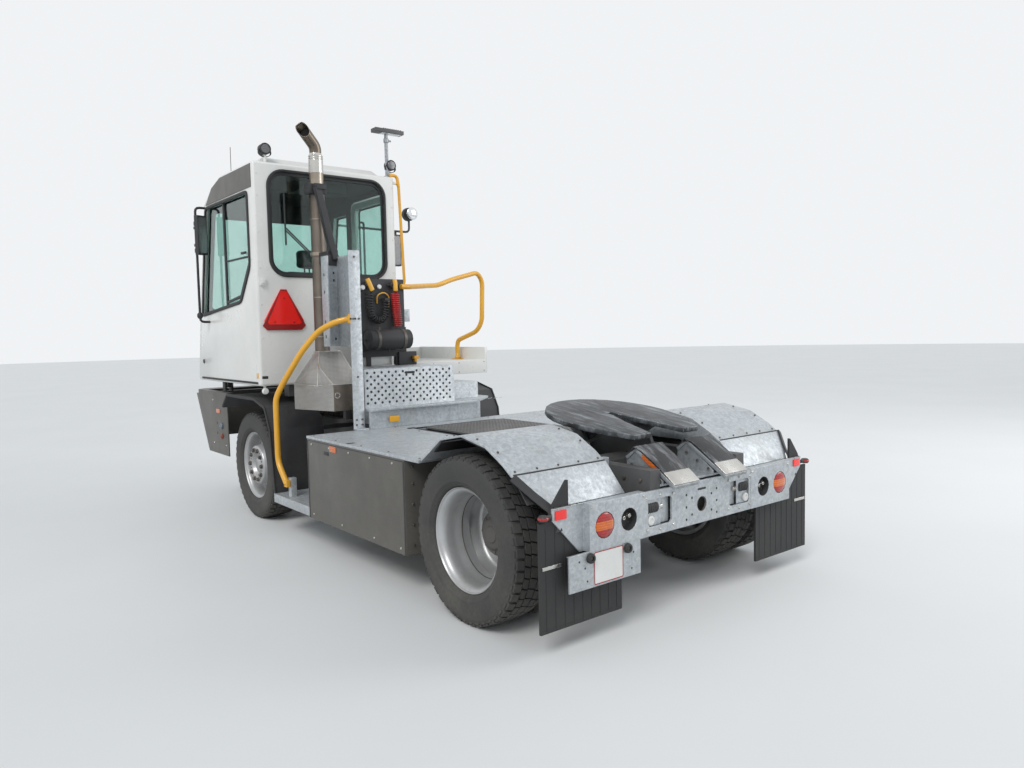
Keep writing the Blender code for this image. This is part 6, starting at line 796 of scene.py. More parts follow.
# Floor and light
def stage():
    """A pale floor, an even pale surround and two soft lamps."""
    bm = bmesh.new()
    bmesh.ops.create_circle(bm, cap_ends=True, radius=60, segments=64)
    mesh = bpy.data.meshes.new("floor")
    bm.to_mesh(mesh)
    bm.free()
    floor = bpy.data.objects.new("floor", mesh)
    scene.collection.objects.link(floor)
    made, tree, sockets = new_look("pale_floor", 0.75)
    place = tree.nodes.new("ShaderNodeTexCoord").outputs["Object"]
    tone = blended(tree, cloudy(tree, place, 0.6, 5), (0.7, 0.7, 0.69), (0.76, 0.76, 0.75))
    tree.links.new(tone, sockets["Base Color"])
    mesh.materials.append(made)
    world = bpy.data.worlds.new("studio")
    scene.world = world
    world.use_nodes = True
    tree = world.node_tree
    tree.nodes.clear()
    rays = tree.nodes.new("ShaderNodeLightPath").outputs
    seen = reckon(tree, "MAXIMUM", rays["Is Camera Ray"],
                  reckon(tree, "MAXIMUM", rays["Is Glossy Ray"], rays["Is Transmission Ray"]))
    colour = blended(tree, seen, (0.86, 0.93, 1.0), (0.93, 0.95, 0.97))
    strength = node(tree, "ShaderNodeMapRange", {"Value": seen, "To Min": 0.62,
                                                 "To Max": 0.94}).outputs["Result"]
    back = node(tree, "ShaderNodeBackground", {"Color": colour, "Strength": strength})
    end = tree.nodes.new("ShaderNodeOutputWorld")
    tree.links.new(back.outputs[0], end.inputs[0])
    for name, kind, place, aim, power, size in (
        ("key_lamp", "SUN", (7, 4, 9), (0, 0, 1), 1.5, radians(24)),
        ("fill_lamp", "AREA", (-8, 7, 6), (0, 0, 1), 330, 6.0),
    ):
        lamp = bpy.data.lights.new(name, kind)
        lamp.energy = power
        if kind == "SUN":
            lamp.angle = size
        else:
            lamp.size = size
        held = bpy.data.objects.new(name, lamp)
        way = Vector(aim) - Vector(place)
        held.matrix_world = Matrix.Translation(place) @ way.to_track_quat("-Z", "Y").to_matrix().to_4x4()
        scene.collection.objects.link(held)


stage()


# Hoses
HOSE_Y, HOSE_TOP, HOSE_R, WIRE_R = -2.5397, 2.0377, 0.034, 0.005
TURN_STEPS, LEAD, WIND_UP = 14, 0.014, 0.045


def curly_hose(word, route, pitch, spread, look):
    """A curly air hose: straight out of its coupler, then a helix along its route."""
    line = [Vector(p) for p in route]
    for _ in range(4):
        cut = [line[0]]
        for a, b in zip(line, line[1:]):
            cut += [a.lerp(b, 0.25), a.lerp(b, 0.75)]
        line = cut + [line[-1]]
    spans = [(b - a).length for a, b in zip(line, line[1:])]
    whole = sum(spans)
    points, step = [], pitch / TURN_STEPS
    for i in range(int(whole / step) + 1):
        s, k = i * step, 0
        while k < len(spans) - 1 and s > spans[k]:
            s -= spans[k]
            k += 1
        way = (line[k + 1] - line[k]).normalized()
        t = max(0, i * step - LEAD) / WIND_UP
        wide = (HOSE_R - WIRE_R - 0.0005) * (3 * t * t - 2 * t ** 3 if t < 1 else 1)
        a = 2 * pi * WIND_UP / pitch * (t * t / 2 if t < 1 else t - 0.5)
        side = way.cross(Vector((0, 1, 0))) * spread
        points.append(line[k] + way * s + (side * cos(a) + Vector((0, 1, 0)) * sin(a)) * wide)
    data = bpy.data.curves.new(f"curly_hose_{word}", "CURVE")
    data.dimensions = "3D"
    spline = data.splines.new("POLY")
    spline.points.add(len(points) - 1)
    for held, p in zip(spline.points, points):
        held.co = (*(p + ORIGIN), 1)
    data.bevel_depth, data.bevel_resolution, data.use_fill_caps = WIRE_R, 2, True
    data.materials.append(look)
    made = bpy.data.objects.new(f"curly_hose_{word}", data)
    scene.collection.objects.link(made)
    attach(made, "chassis")
    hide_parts(f"coiled_hose_{word}")


curly_hose("black", [(0.35, HOSE_Y, HOSE_TOP), (0.35, HOSE_Y, 1.86), (0.33, HOSE_Y, 1.77),
                     (0.25, HOSE_Y, 1.745), (0.2, HOSE_Y, 1.79), (0.19, HOSE_Y, 1.88),
                     (0.19, HOSE_Y, 1.93)], 0.023, 1.0, HOSE_BLACK)
curly_hose("red", [(0.1, HOSE_Y, HOSE_TOP), (0.09, HOSE_Y, 1.9), (0.07, HOSE_Y, 1.7)], 0.0185, 1.3, HOSE_RED)


# Wheels
TYRE_R, FRONT_AXLE_Y = 0.478, -3.38
FRONT_X, OUTER_X, TWIN = 0.985, 1.0775, 0.32
TREAD_PITCHES = 46
HAND_HOLE_RING = 0.218


def holed(bm, cutters):
    """bm with the closed shapes of cutters taken out of it."""
    held = []
    for name, shape in (("solid", bm), ("cutters", cutters)):
        bmesh.ops.recalc_face_normals(shape, faces=shape.faces)
        mesh = bpy.data.meshes.new(name)
        shape.to_mesh(mesh)
        shape.free()
        held.append(bpy.data.objects.new(name, mesh))
        scene.collection.objects.link(held[-1])
    modifier = held[0].modifiers.new("cut", "BOOLEAN")
    modifier.object, modifier.operation, modifier.solver = held[1], "DIFFERENCE", "EXACT"
    bpy.context.view_layer.update()
    mesh = bpy.data.meshes.new_from_object(held[0].evaluated_get(bpy.context.evaluated_depsgraph_get()))
    made = bmesh.new()
    made.from_mesh(mesh)
    for o in held:
        bpy.data.objects.remove(o)
    bpy.data.meshes.remove(mesh)
    return made


def tread_block(bm, low, high, inner, outer, begin, share, lean=0.0, drop=0.0):
    """One rubber block of the tread from low to high across it, leaning round it."""
    pitch = 2 * pi / TREAD_PITCHES
    corners = []
    for r_cut in (0, 1):
        for x, extra in ((low, -lean), (high, lean)):
            for a in (begin * pitch, (begin + share) * pitch):
                r = (outer - (drop if abs(x) > 0.1 else 0)) if r_cut else inner
                t = a + extra * pitch
                corners.append(bm.verts.new((x, r * cos(t), r * sin(t))))
    for f in ((0, 1, 3, 2), (4, 6, 7, 5), (0, 4, 5, 1), (2, 3, 7, 6), (0, 2, 6, 4), (1, 5, 7, 3)):
        bm.faces.new([corners[i] for i in f])


def tyre(node_name, x, y, body):
    """Tyre with bulged walls, wall rings and a tread of separate blocks."""
    half = [(0.4655, 0.068), (0.4655, 0.072), (0.4635, 0.108), (0.4575, 0.1185), (0.452, 0.1245),
            (0.44, 0.129), (0.4375, 0.1315), (0.434, 0.1315), (0.431, 0.1325), (0.41, 0.1358),
            (0.385, 0.1374), (0.36, 0.1368), (0.34, 0.1338), (0.337, 0.1345), (0.332, 0.1332),
            (0.329, 0.1302), (0.315, 0.124), (0.306, 0.117), (0.3008, 0.1085), (0.2992, 0.0958),
            (0.2862, 0.0955)]
    profile = half + [(r, -a) for r, a in half[::-1]]
    bm = lathe(bmesh.new(), (x, y, TYRE_R), (1, 0, 0), profile, 96, closed=True)
    body_piece = piece(node_name + "_wall", bm, body, TYRE_RUBBER, 50)
    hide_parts(node_name)
    bm = bmesh.new()
    for side in (1, -1):
        tread_block(bm, side * 0.074, side * 0.1185, 0.452, 0.4775, 0.0 if side > 0 else 0.5, 0.74,
                    side * 0.05, 0.0065)
        tread_block(bm, side * 0.031, side * 0.067, 0.46, 0.478, 0.2 if side > 0 else 0.7, 0.86, side * 0.1)
        tread_block(bm, side * 0.104, side * 0.1265, 0.44, 0.459, 0.1 if side > 0 else 0.6, 0.5)
    tread_block(bm, -0.024, 0.024, 0.46, 0.478, 0.05, 0.88, 0.12)
    ring_of(node_name + "_tread", bm, TREAD_PITCHES, (x, y, TYRE_R), body, TYRE_RUBBER)


def front_wheel(side, word):
    """Silver front wheel: proud nut ring over a dished disc with round hand holes."""
    body, centre = f"front_wheel_{word}", (side * FRONT_X, FRONT_AXLE_Y, TYRE_R)
    profile = [(0, 0.082), (0.05, 0.082), (0.074, 0.079), (0.079, 0.07), (0.088, 0.068), (0.096, 0.074),
               (0.104, 0.1), (0.11, 0.105), (0.158, 0.105), (0.168, 0.102), (0.174, 0.094), (0.178, 0.04),
               (0.184, 0.028), (0.198, 0.022), (0.24, 0.004), (0.256, -0.006), (0.264, -0.004),
               (0.268, 0.012), (0.268, 0.05), (0.272, 0.082), (0.28, 0.094), (0.29, 0.0985),
               (0.2935, 0.106), (0.297, 0.108), (0.2985, 0.105), (0.2985, 0.0985), (0.289, 0.0962),
               (0.2856, 0.09), (0.2856, -0.09), (0.289, -0.0962), (0.2985, -0.0985), (0.2985, -0.106),
               (0.294, -0.108), (0.276, -0.1), (0.2735, -0.03), (0.262, -0.018), (0.24, -0.008),
               (0.19, 0.012), (0.168, 0.022), (0.164, 0.09), (0.112, 0.094), (0.106, 0.062), (0.056, 0.061),
               (0.056, 0.058), (0, 0.058), ]
    rim = lathe(bmesh.new(), centre, (side, 0, 0), profile, 72)
    cutters = bmesh.new()
    for i in range(10):
        a = 2 * pi * (i + 0.5) / 10
        at = Vector(centre) + Vector((0, HAND_HOLE_RING * cos(a), HAND_HOLE_RING * sin(a)))
        drum(cutters, at + Vector((side * -0.05, 0, 0)), at + Vector((side * 0.06, 0, 0)), 0.0235, sides=20)
    rim = piece(f"front_rim_{word}_shape", holed(rim, cutters), body, SILVER, 40)
    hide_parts(f"front_rim_{word}")
    out = Vector((side, 0, 0))
    nut = drum(bmesh.new(), out * 0.101 + Vector((0, 0.134, 0)), out * 0.112 + Vector((0, 0.134, 0)),
               0.0205, 0.002, 14)
    lathe(nut, out * 0.112 + Vector((0, 0.134, 0)), out,
          [(0, 0), (0.0165, 0), (0.0165, 0.012), (0.013, 0.016), (0, 0.016)], 6)
    ring_of(f"front_nuts_{word}", nut, 10, centre, body, DARK_STEEL)
    # flat black discs between the nuts: painted shade of the holes in the nut ring
    ring_hole_shade = drum(bmesh.new(), out * 0.103 + Vector((0, 0.134 * cos(pi / 10), 0.134 * sin(pi / 10))),
                  out * 0.1056 + Vector((0, 0.134 * cos(pi / 10), 0.134 * sin(pi / 10))), 0.0085, sides=12)
    ring_of(f"front_ring_holes_{word}", ring_hole_shade, 10, centre, body, BLACK_PLASTIC)
    cap = lathe(bmesh.new(), centre, out, [(0, 0.078), (0.062, 0.078), (0.064, 0.086), (0.056, 0.091),
                                           (0, 0.092)], 40)
    piece(f"front_hub_cap_{word}", cap, body, SILVER)
    valve = pipe(bmesh.new(), [Vector(centre) + out * a + Vector((0, r, 0)) for a,
                               r in ((0.0, 0.248), (0.03, 0.25), (0.07, 0.243))], 0.0045, 8)
    piece(f"front_valve_{word}", valve, body, BLACK_PLASTIC)


def rear_wheels(side, word):
    """Twin rear wheels: a deep stepped barrel in front of the disc and its dark hub."""
    body, centre = f"rear_wheels_{word}", (side * OUTER_X, 0, TYRE_R)
    out = Vector((side, 0, 0))
    profile = [(0, -0.085), (0.06, -0.086), (0.068, -0.0975), (0.115, -0.1), (0.122, -0.107),
               (0.124, -0.158), (0.15, -0.166), (0.166, -0.176), (0.19, -0.184), (0.236, -0.188),
               (0.248, -0.18), (0.256, -0.16), (0.262, -0.114), (0.2575, -0.104), (0.2485, -0.099),
               (0.2455, -0.088), (0.2465, -0.03), (0.2545, -0.012), (0.2575, 0.02), (0.2595, 0.05),
               (0.267, 0.078), (0.2795, 0.094), (0.29, 0.0985), (0.2935, 0.106), (0.297, 0.108),
               (0.2985, 0.105), (0.2985, 0.0985), (0.289, 0.0962), (0.2856, 0.09), (0.2856, -0.09),
               (0.289, -0.0962), (0.2985, -0.0985), (0.2985, -0.106), (0.294, -0.108), (0.2858, -0.115),
               (0.2858, -TWIN + 0.115), (0.294, -TWIN + 0.108), (0.2985, -TWIN + 0.106),
               (0.2985, -TWIN + 0.0985), (0.289, -TWIN + 0.0962), (0.2856, -TWIN + 0.09),
               (0.2856, -TWIN - 0.09), (0.289, -TWIN - 0.0962), (0.2985, -TWIN - 0.0985),
               (0.2985, -TWIN - 0.106), (0.294, -TWIN - 0.108), (0.2735, -TWIN - 0.1), (0.2735, -0.205),
               (0.25, -0.199), (0.17, -0.199), (0.14, -0.2), (0.08, -0.205), (0.0775, -0.265),
               (0.0562, -0.265), (0.0562, -0.192), (0, -0.192), ]
    rim = lathe(bmesh.new(), centre, out, profile, 72)
    cutters = bmesh.new()
    for i in range(5):
        a = 2 * pi * (i + 0.5) / 5
        at = Vector(centre) + Vector((0, 0.207 * cos(a), 0.207 * sin(a)))
        drum(cutters, at + out * -0.26, at + out * -0.13, 0.03, sides=24)
    rim = piece(f"rear_rim_{word}_shape", holed(rim, cutters), body, SILVER, 40)
    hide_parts(f"rear_rim_{word}")
    hub = lathe(bmesh.new(), centre, out, [(0.03, -0.16), (0.1265, -0.16), (0.1265, -0.104),
                                           (0.12, -0.0965), (0.095, -0.094), (0.086, -0.0785),
                                           (0.078, -0.0735), (0.03, -0.0725)], 48, closed=True)
    drum(hub, Vector(centre) + out * -0.12, Vector(centre) + out * -0.066, 0.05, 0.006, 32)
    piece(f"rear_hub_{word}", hub, body, CASTING)
    bolt = drum(bmesh.new(), out * -0.1 + Vector((0, 0.108, 0)), out * -0.0895 + Vector((0, 0.108, 0)),
                0.009, 0.001, 6)
    ring_of(f"rear_hub_bolts_{word}", bolt, 8, centre, body, DARK_STEEL)
    nut = drum(bmesh.new(), out * -0.187 + Vector((0, 0.1545, 0)), out * -0.158 + Vector((0, 0.1545, 0)),
               0.0145, 0.002, 6)
    ring_of(f"rear_nuts_{word}", nut, 10, centre, body, DARK_STEEL)
    seam = lathe(bmesh.new(), centre, out, [(0.2462, -0.0455), (0.2438, -0.045), (0.2438, -0.04),
                                            (0.2462, -0.0395)], 72, closed=True)
    piece(f"rear_rim_lock_ring_{word}", seam, body, DARK_STEEL)


for side, word in SIDES:
    tyre(f"front_tyre_{word}", side * FRONT_X, FRONT_AXLE_Y, f"front_wheel_{word}")
    tyre(f"rear_tyre_outer_{word}", side * OUTER_X, 0, f"rear_wheels_{word}")
    tyre(f"rear_tyre_inner_{word}", side * (OUTER_X - TWIN), 0, f"rear_wheels_{word}")
    front_wheel(side, word)
    rear_wheels(side, word)


# Cab
CAB_LEFT, CAB_RIGHT, CAB_REAR = 1.21, -0.125, -2.875
ROOF_Z = 3.08
MAST_X, LAMP_Y = -0.095, -2.94
PANE_LOW, PANE_TOP, PANE_LEFT, PANE_RIGHT = 2.14, 3.02, 1.085, -0.02


def gasket(name, loop, out, up_width, proud, body, look=RUBBER):
    """Rubber glazing strip round an opening: loop of points on the face, out away from it."""
    out = Vector(out)
    section = tube_section(up_width / 2, proud / 2, min(up_width, proud) * 0.42)
    route = [Vector(p) + out * proud * 0.35 for p in loop]
    return piece(name, swept(bmesh.new(), route, section, out, closed=True), body, look, 50)


def cab_back():
    """Rear window: thick gasket, dark border print, wiper, latch and body seams."""
    rim = [(x, CAB_REAR, z) for x, z in rounded_oblong(PANE_RIGHT, PANE_LOW, PANE_LEFT, PANE_TOP, 0.14, 8)]
    gasket("rear_gasket", rim, (0, 1, 0), 0.022, 0.014, "cab")
    inner = rounded_oblong(PANE_RIGHT + 0.035, PANE_LOW + 0.035, PANE_LEFT - 0.035, PANE_TOP - 0.035, 0.11, 8)
    outer = rounded_oblong(PANE_RIGHT + 0.004, PANE_LOW + 0.004, PANE_LEFT - 0.004, PANE_TOP - 0.004, 0.137,
                           8)
    edge = cut_sheet(bmesh.new(), outer, 0.0015, (0, CAB_REAR - 0.0135, 0), holes=[inner])
    piece("rear_pane_black_edge", edge, "cab", BLACK_PLASTIC)
    bm = bmesh.new()
    for points in ([(0.6, 2.19), (0.727, 2.343), (0.948, 2.546)],
                   [(0.63, 2.19), (0.75, 2.343), (0.955, 2.53)]):
        swept(bm, [(x, CAB_REAR + 0.016, z) for x, z in points], tube_section(0.006, 0.003, 0.002, 1),
              (0, 1, 0))
    pipe(bm, [(0.948, CAB_REAR + 0.008, 2.83), (0.947, CAB_REAR + 0.011, 2.6),
              (0.944, CAB_REAR + 0.008, 2.4)], 0.008, 8)
    drum(bm, (0.61, CAB_REAR - 0.008, 2.175), (0.61, CAB_REAR + 0.026, 2.175), 0.021, 0.004, 20)
    piece("rear_wiper", bm, "cab", BLACK_PLASTIC)
    latch = slab(bmesh.new(), (1.135, CAB_REAR + 0.0006, 2.055), (1.185, CAB_REAR + 0.02, 2.115), 0.006)
    slab(latch, (1.148, CAB_REAR + 0.02, 2.07), (1.172, CAB_REAR + 0.026, 2.1), 0.003)
    piece("rear_latch_box", latch, "cab", WHITE_PLASTIC)
    spots = [((x, CAB_REAR, z), (0, 1, 0)) for x in (CAB_LEFT - 0.035, CAB_RIGHT + 0.028)
             for z in (1.35, 1.62, 1.9, 2.2, 2.5, 2.8, 2.98)]
    fittings("rear_body_screws", spots, "cab", WHITE_PLASTIC, 0.0075, 0.0055, 0.003)


def triangle():
    """Red reflecting triangle with its darker raised border."""
    low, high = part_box("warning_triangle")
    low, high = low - ORIGIN, high - ORIGIN
    face = high.y
    mid = (low.x + high.x) / 2
    corner = 0.045

    def ring(side, base, top, cut):
        a, b = low.x - side, high.x + side
        return [(a + cut, base), (b - cut, base), (b - cut * 0.25, base + cut * 0.75),
                (mid + corner * 0.6, top), (mid - corner * 0.6, top), (a + cut * 0.25, base + cut * 0.75)]
    outer = ring(0.026, low.z - 0.034, high.z - 0.004, corner * 1.1)
    inner = ring(-0.018, low.z + 0.014, high.z - 0.012, corner * 0.5)
    bm = cut_sheet(bmesh.new(), [(-x, z) for x, z in outer], face + 0.0025 - CAB_REAR,
                   (0, CAB_REAR + 0.0003, 0), u=(-1, 0, 0), holes=[[(-x, z) for x, z in inner]])
    piece("triangle_border", bm, "cab", DARK_RED)
    spots = [((mid, face, high.z - 0.075), (0, 1, 0)), ((low.x + 0.09, face, low.z + 0.035), (0, 1, 0)),
             ((high.x - 0.09, face, low.z + 0.035), (0, 1, 0))]
    fittings("triangle_screws", spots, "cab", DARK_RED, 0.007, 0.005, 0.0045)


SIDE_LINE = [(-3.0, 2.84), (-3.0, 2.22), (-3.24, 1.935), (-4.3, 1.845), (-4.07, 2.84)]
SIDE_DIVIDER_Y = -3.62


def cab_side():
    """Left side: dark panel under the roof, black window frame, divider and sliding pane, grip and seams."""
    x = CAB_LEFT
    upper = [(-2.905, 2.868), (-2.905, 3.058), (-3.65, 3.058), (-3.885, 2.998), (-4.06, 2.868)]
    sheet = cut_sheet(bmesh.new(), upper, 0.004, (x + 0.0004, 0, 0), u=(0, 1, 0))
    piece("side_upper_panel_left", sheet, "cab", PANEL_GREY)
    gasket("side_gasket_left", [(x, y, z) for y, z in rounded_2d(SIDE_LINE, 0.05)], (1, 0, 0), 0.03, 0.014,
           "cab")
    frame_bm = bmesh.new()
    depth = tube_section(0.016, 0.009, 0.004, 2)
    swept(frame_bm, [(x - 0.012, SIDE_DIVIDER_Y, 1.915), (x - 0.012, SIDE_DIVIDER_Y, 2.835)], depth,
          (1, 0, 0))
    swept(frame_bm, [(x - 0.008, -3.03, 2.26), (x - 0.008, -3.26, 1.985),
                     (x - 0.008, SIDE_DIVIDER_Y + 0.03, 1.945)], tube_section(0.012, 0.007, 0.003, 2),
          (1, 0, 0))
    swept(frame_bm, [(x - 0.012, -3.02, 2.31), (x - 0.012, SIDE_DIVIDER_Y, 2.31)],
          tube_section(0.008, 0.006, 0.003, 1), (1, 0, 0))
    piece("side_window_frame_left", frame_bm, "cab", BLACK_PLASTIC)
    grip = slab(bmesh.new(), (x - 0.004, -3.18, 2.335), (x + 0.012, -3.08, 2.355), 0.004)
    piece("side_window_catch_left", grip, "cab", BLACK_PLASTIC)
    for name, side_x, turn in (("left", CAB_LEFT, 1), ("right", CAB_RIGHT, -1)):
        plug = drum(bmesh.new(), (side_x, -4.33, 1.4), (side_x + turn * 0.006, -4.33, 1.4), 0.022, 0.002, 20)
        piece(f"side_cover_plug_{name}", plug, "cab", BLACK_PLASTIC)
    step = slab(bmesh.new(), (x - 0.01, -4.41, 1.2305), (x + 0.004, -2.93, 1.249), 0.004)
    piece("sill_strip_left", step, "cab", RUBBER)
    mark = slab(bmesh.new(), (x + 0.0004, -2.96, 1.28), (x + 0.0016, -2.915, 1.325), 0.0005)
    piece("blank_yellow_mark", mark, "cab", YELLOW)
    dark = slab(bmesh.new(), (1.145, CAB_REAR + 0.0004, 1.277), (1.196, CAB_REAR + 0.0016, 1.3), 0.0005)
    piece("blank_dark_mark", dark, "cab", BLACK_PLASTIC)
    lamp = drum(bmesh.new(), (1.165, -2.915, 1.172), (1.165, -2.882, 1.172), 0.026, 0.005, 24)
    slab(lamp, (1.155, -2.912, 1.172), (1.175, -2.9, 1.2165), 0.003)
    piece("under_cab_lamp", lamp, "cab", WHITE_PLASTIC)


def rounded_2d(line, r, steps=5):
    """A closed outline with its corners rounded."""
    points = [Vector((y, z, 0)) for y, z in line]
    made = rounded_route(points, r, steps, closed=True)
    return [(p.x, p.y) for p in made]


QUARTER_LINE = [(-3.76, 2.84), (-3.76, 1.95), (-4.22, 1.95), (-4.04, 2.84)]


def cab_right():
    """Right side: quarter window gasket, door pane gasket, handle, grab bar and the dark upper panel."""
    x = CAB_RIGHT
    gasket("quarter_gasket", [(x, y, z) for y, z in rounded_2d(QUARTER_LINE, 0.04)], (-1, 0, 0), 0.03,
           0.014, "cab")
    upper = [(-2.925, 2.972), (-2.925, 3.035), (-3.64, 3.035), (-3.85, 2.985), (-3.87, 2.972)]
    sheet = cut_sheet(bmesh.new(), [(-y, z) for y, z in upper], 0.004, (x - 0.0004, 0, 0), u=(0, -1, 0))
    piece("side_upper_panel_right", sheet, "cab", PANEL_GREY)
    low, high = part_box("door_pane")
    low, high = low - ORIGIN, high - ORIGIN
    face = (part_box("cab_door")[0] - ORIGIN).x + 0.013
    loop = [(face, y, z) for y, z in rounded_oblong(low.y, low.z, high.y, high.z, 0.04)]
    gasket("door_gasket", loop, (-1, 0, 0), 0.026, 0.012, "cab_door")
    door_face = face - 0.0005
    bm = slab(bmesh.new(), (door_face - 0.036, -3.125, 1.79), (door_face - 0.022, -3.01, 1.815), 0.005)
    for y in (-3.118, -3.017):
        slab(bm, (door_face - 0.024, y - 0.008, 1.794), (door_face, y + 0.008, 1.811), 0.003)
    slab(bm, (door_face - 0.006, -3.14, 1.76), (door_face, -2.995, 1.845), 0.004)
    drum(bm, (door_face - 0.004, -3.05, 1.73), (door_face - 0.012, -3.05, 1.73), 0.012, 0.002, 16)
    piece("door_handle", bm, "cab_door", BLACK_PLASTIC)
    grab = pipe(bmesh.new(), rounded_route([(door_face, -3.58, 2.05), (door_face - 0.045, -3.58, 2.05),
                                            (door_face - 0.045, -3.58, 2.75), (door_face, -3.58, 2.75)],
                                           0.04), 0.011, 10)
    piece("door_grab_bar", grab, "cab_door", BLACK_PLASTIC)


def cab_front():
    """Windscreen gasket, wipers, grille slots and head lamps."""
    low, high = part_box("windscreen")
    low, high = low - ORIGIN, high - ORIGIN
    nose = Vector((0, high.y - low.y, high.z - low.z)).normalized()
    out = Vector((1, 0, 0)).cross(nose).normalized()
    if out.y > 0:
        out = -out
    front_low = Vector((0, -4.4, 1.84))
    line = Vector((0, -4.13 + 4.4, 2.89 - 1.84)).normalized()
    outer = Vector((0, line.z, -line.y)) * -1
    base, top = (low.z - front_low.z) / line.z, (high.z - front_low.z) / line.z
    ring = rounded_oblong(low.x, base, high.x, top, 0.05)
    loop = [front_low + line * b + Vector((a, 0, 0)) for a, b in ring]
    gasket("windscreen_gasket", loop, outer, 0.034, 0.018, "cab")
    wipers = bmesh.new()
    for x, reach in ((0.28, -0.16), (0.85, -0.16)):
        start = front_low + line * (base - 0.04) + Vector((x, 0, 0)) + outer * 0.02
        drum(wipers, start - outer * 0.02, start + outer * 0.012, 0.02, 0.004, 18)
        middle = front_low + line * (base + 0.3) + Vector((x + reach, 0, 0)) + outer * 0.035
        swept(wipers, [start, middle], tube_section(0.009, 0.004, 0.002, 1), outer)
        a = front_low + line * (base + 0.1) + Vector((x + reach - 0.12, 0, 0)) + outer * 0.018
        b = front_low + line * (base + 0.62) + Vector((x + reach + 0.03, 0, 0)) + outer * 0.018
        swept(wipers, [a, b], tube_section(0.006, 0.009, 0.002, 1), outer)
    piece("windscreen_wipers", wipers, "cab", BLACK_PLASTIC)
    nose_line = Vector((0, 4.52 - 4.4, 1.84 - 1.215)).normalized()
    nose_out = Vector((0, -nose_line.z, nose_line.y))
    nose_low = Vector((0, -4.52, 1.215))
    bm = bmesh.new()
    middle = (CAB_LEFT + CAB_RIGHT) / 2
    for i in range(7):
        at = nose_low + nose_line * (0.2 + i * 0.036)
        slat = [at + Vector((middle + s * 0.36, 0, 0)) + nose_out * 0.006 for s in (-1, 1)]
        swept(bm, slat, tube_section(0.008, 0.006, 0.003, 1), nose_out)
    piece("nose_grille_slats", bm, "cab", BLACK_PLASTIC)
    for s, word in ((1, "left"), (-1, "right")):
        at = nose_low + nose_line * 0.13 + Vector((middle + s * 0.5, 0, 0))
        bezel = lathe(bmesh.new(), at, nose_out, [(0.05, 0.0), (0.088, 0.0), (0.088, 0.012), (0.078, 0.018),
                                                  (0.07, 0.012), (0.05, 0.006)], 32, closed=True)
        piece(f"head_lamp_ring_{word}", bezel, "cab", BLACK_PLASTIC)
        face = lathe(bmesh.new(), at, nose_out, [(0, 0.004), (0.072, 0.004), (0.07, 0.012), (0.04, 0.018),
                                                 (0, 0.02)], 32)
        piece(f"head_lamp_lens_{word}", face, "cab", CLEAR_LENS)


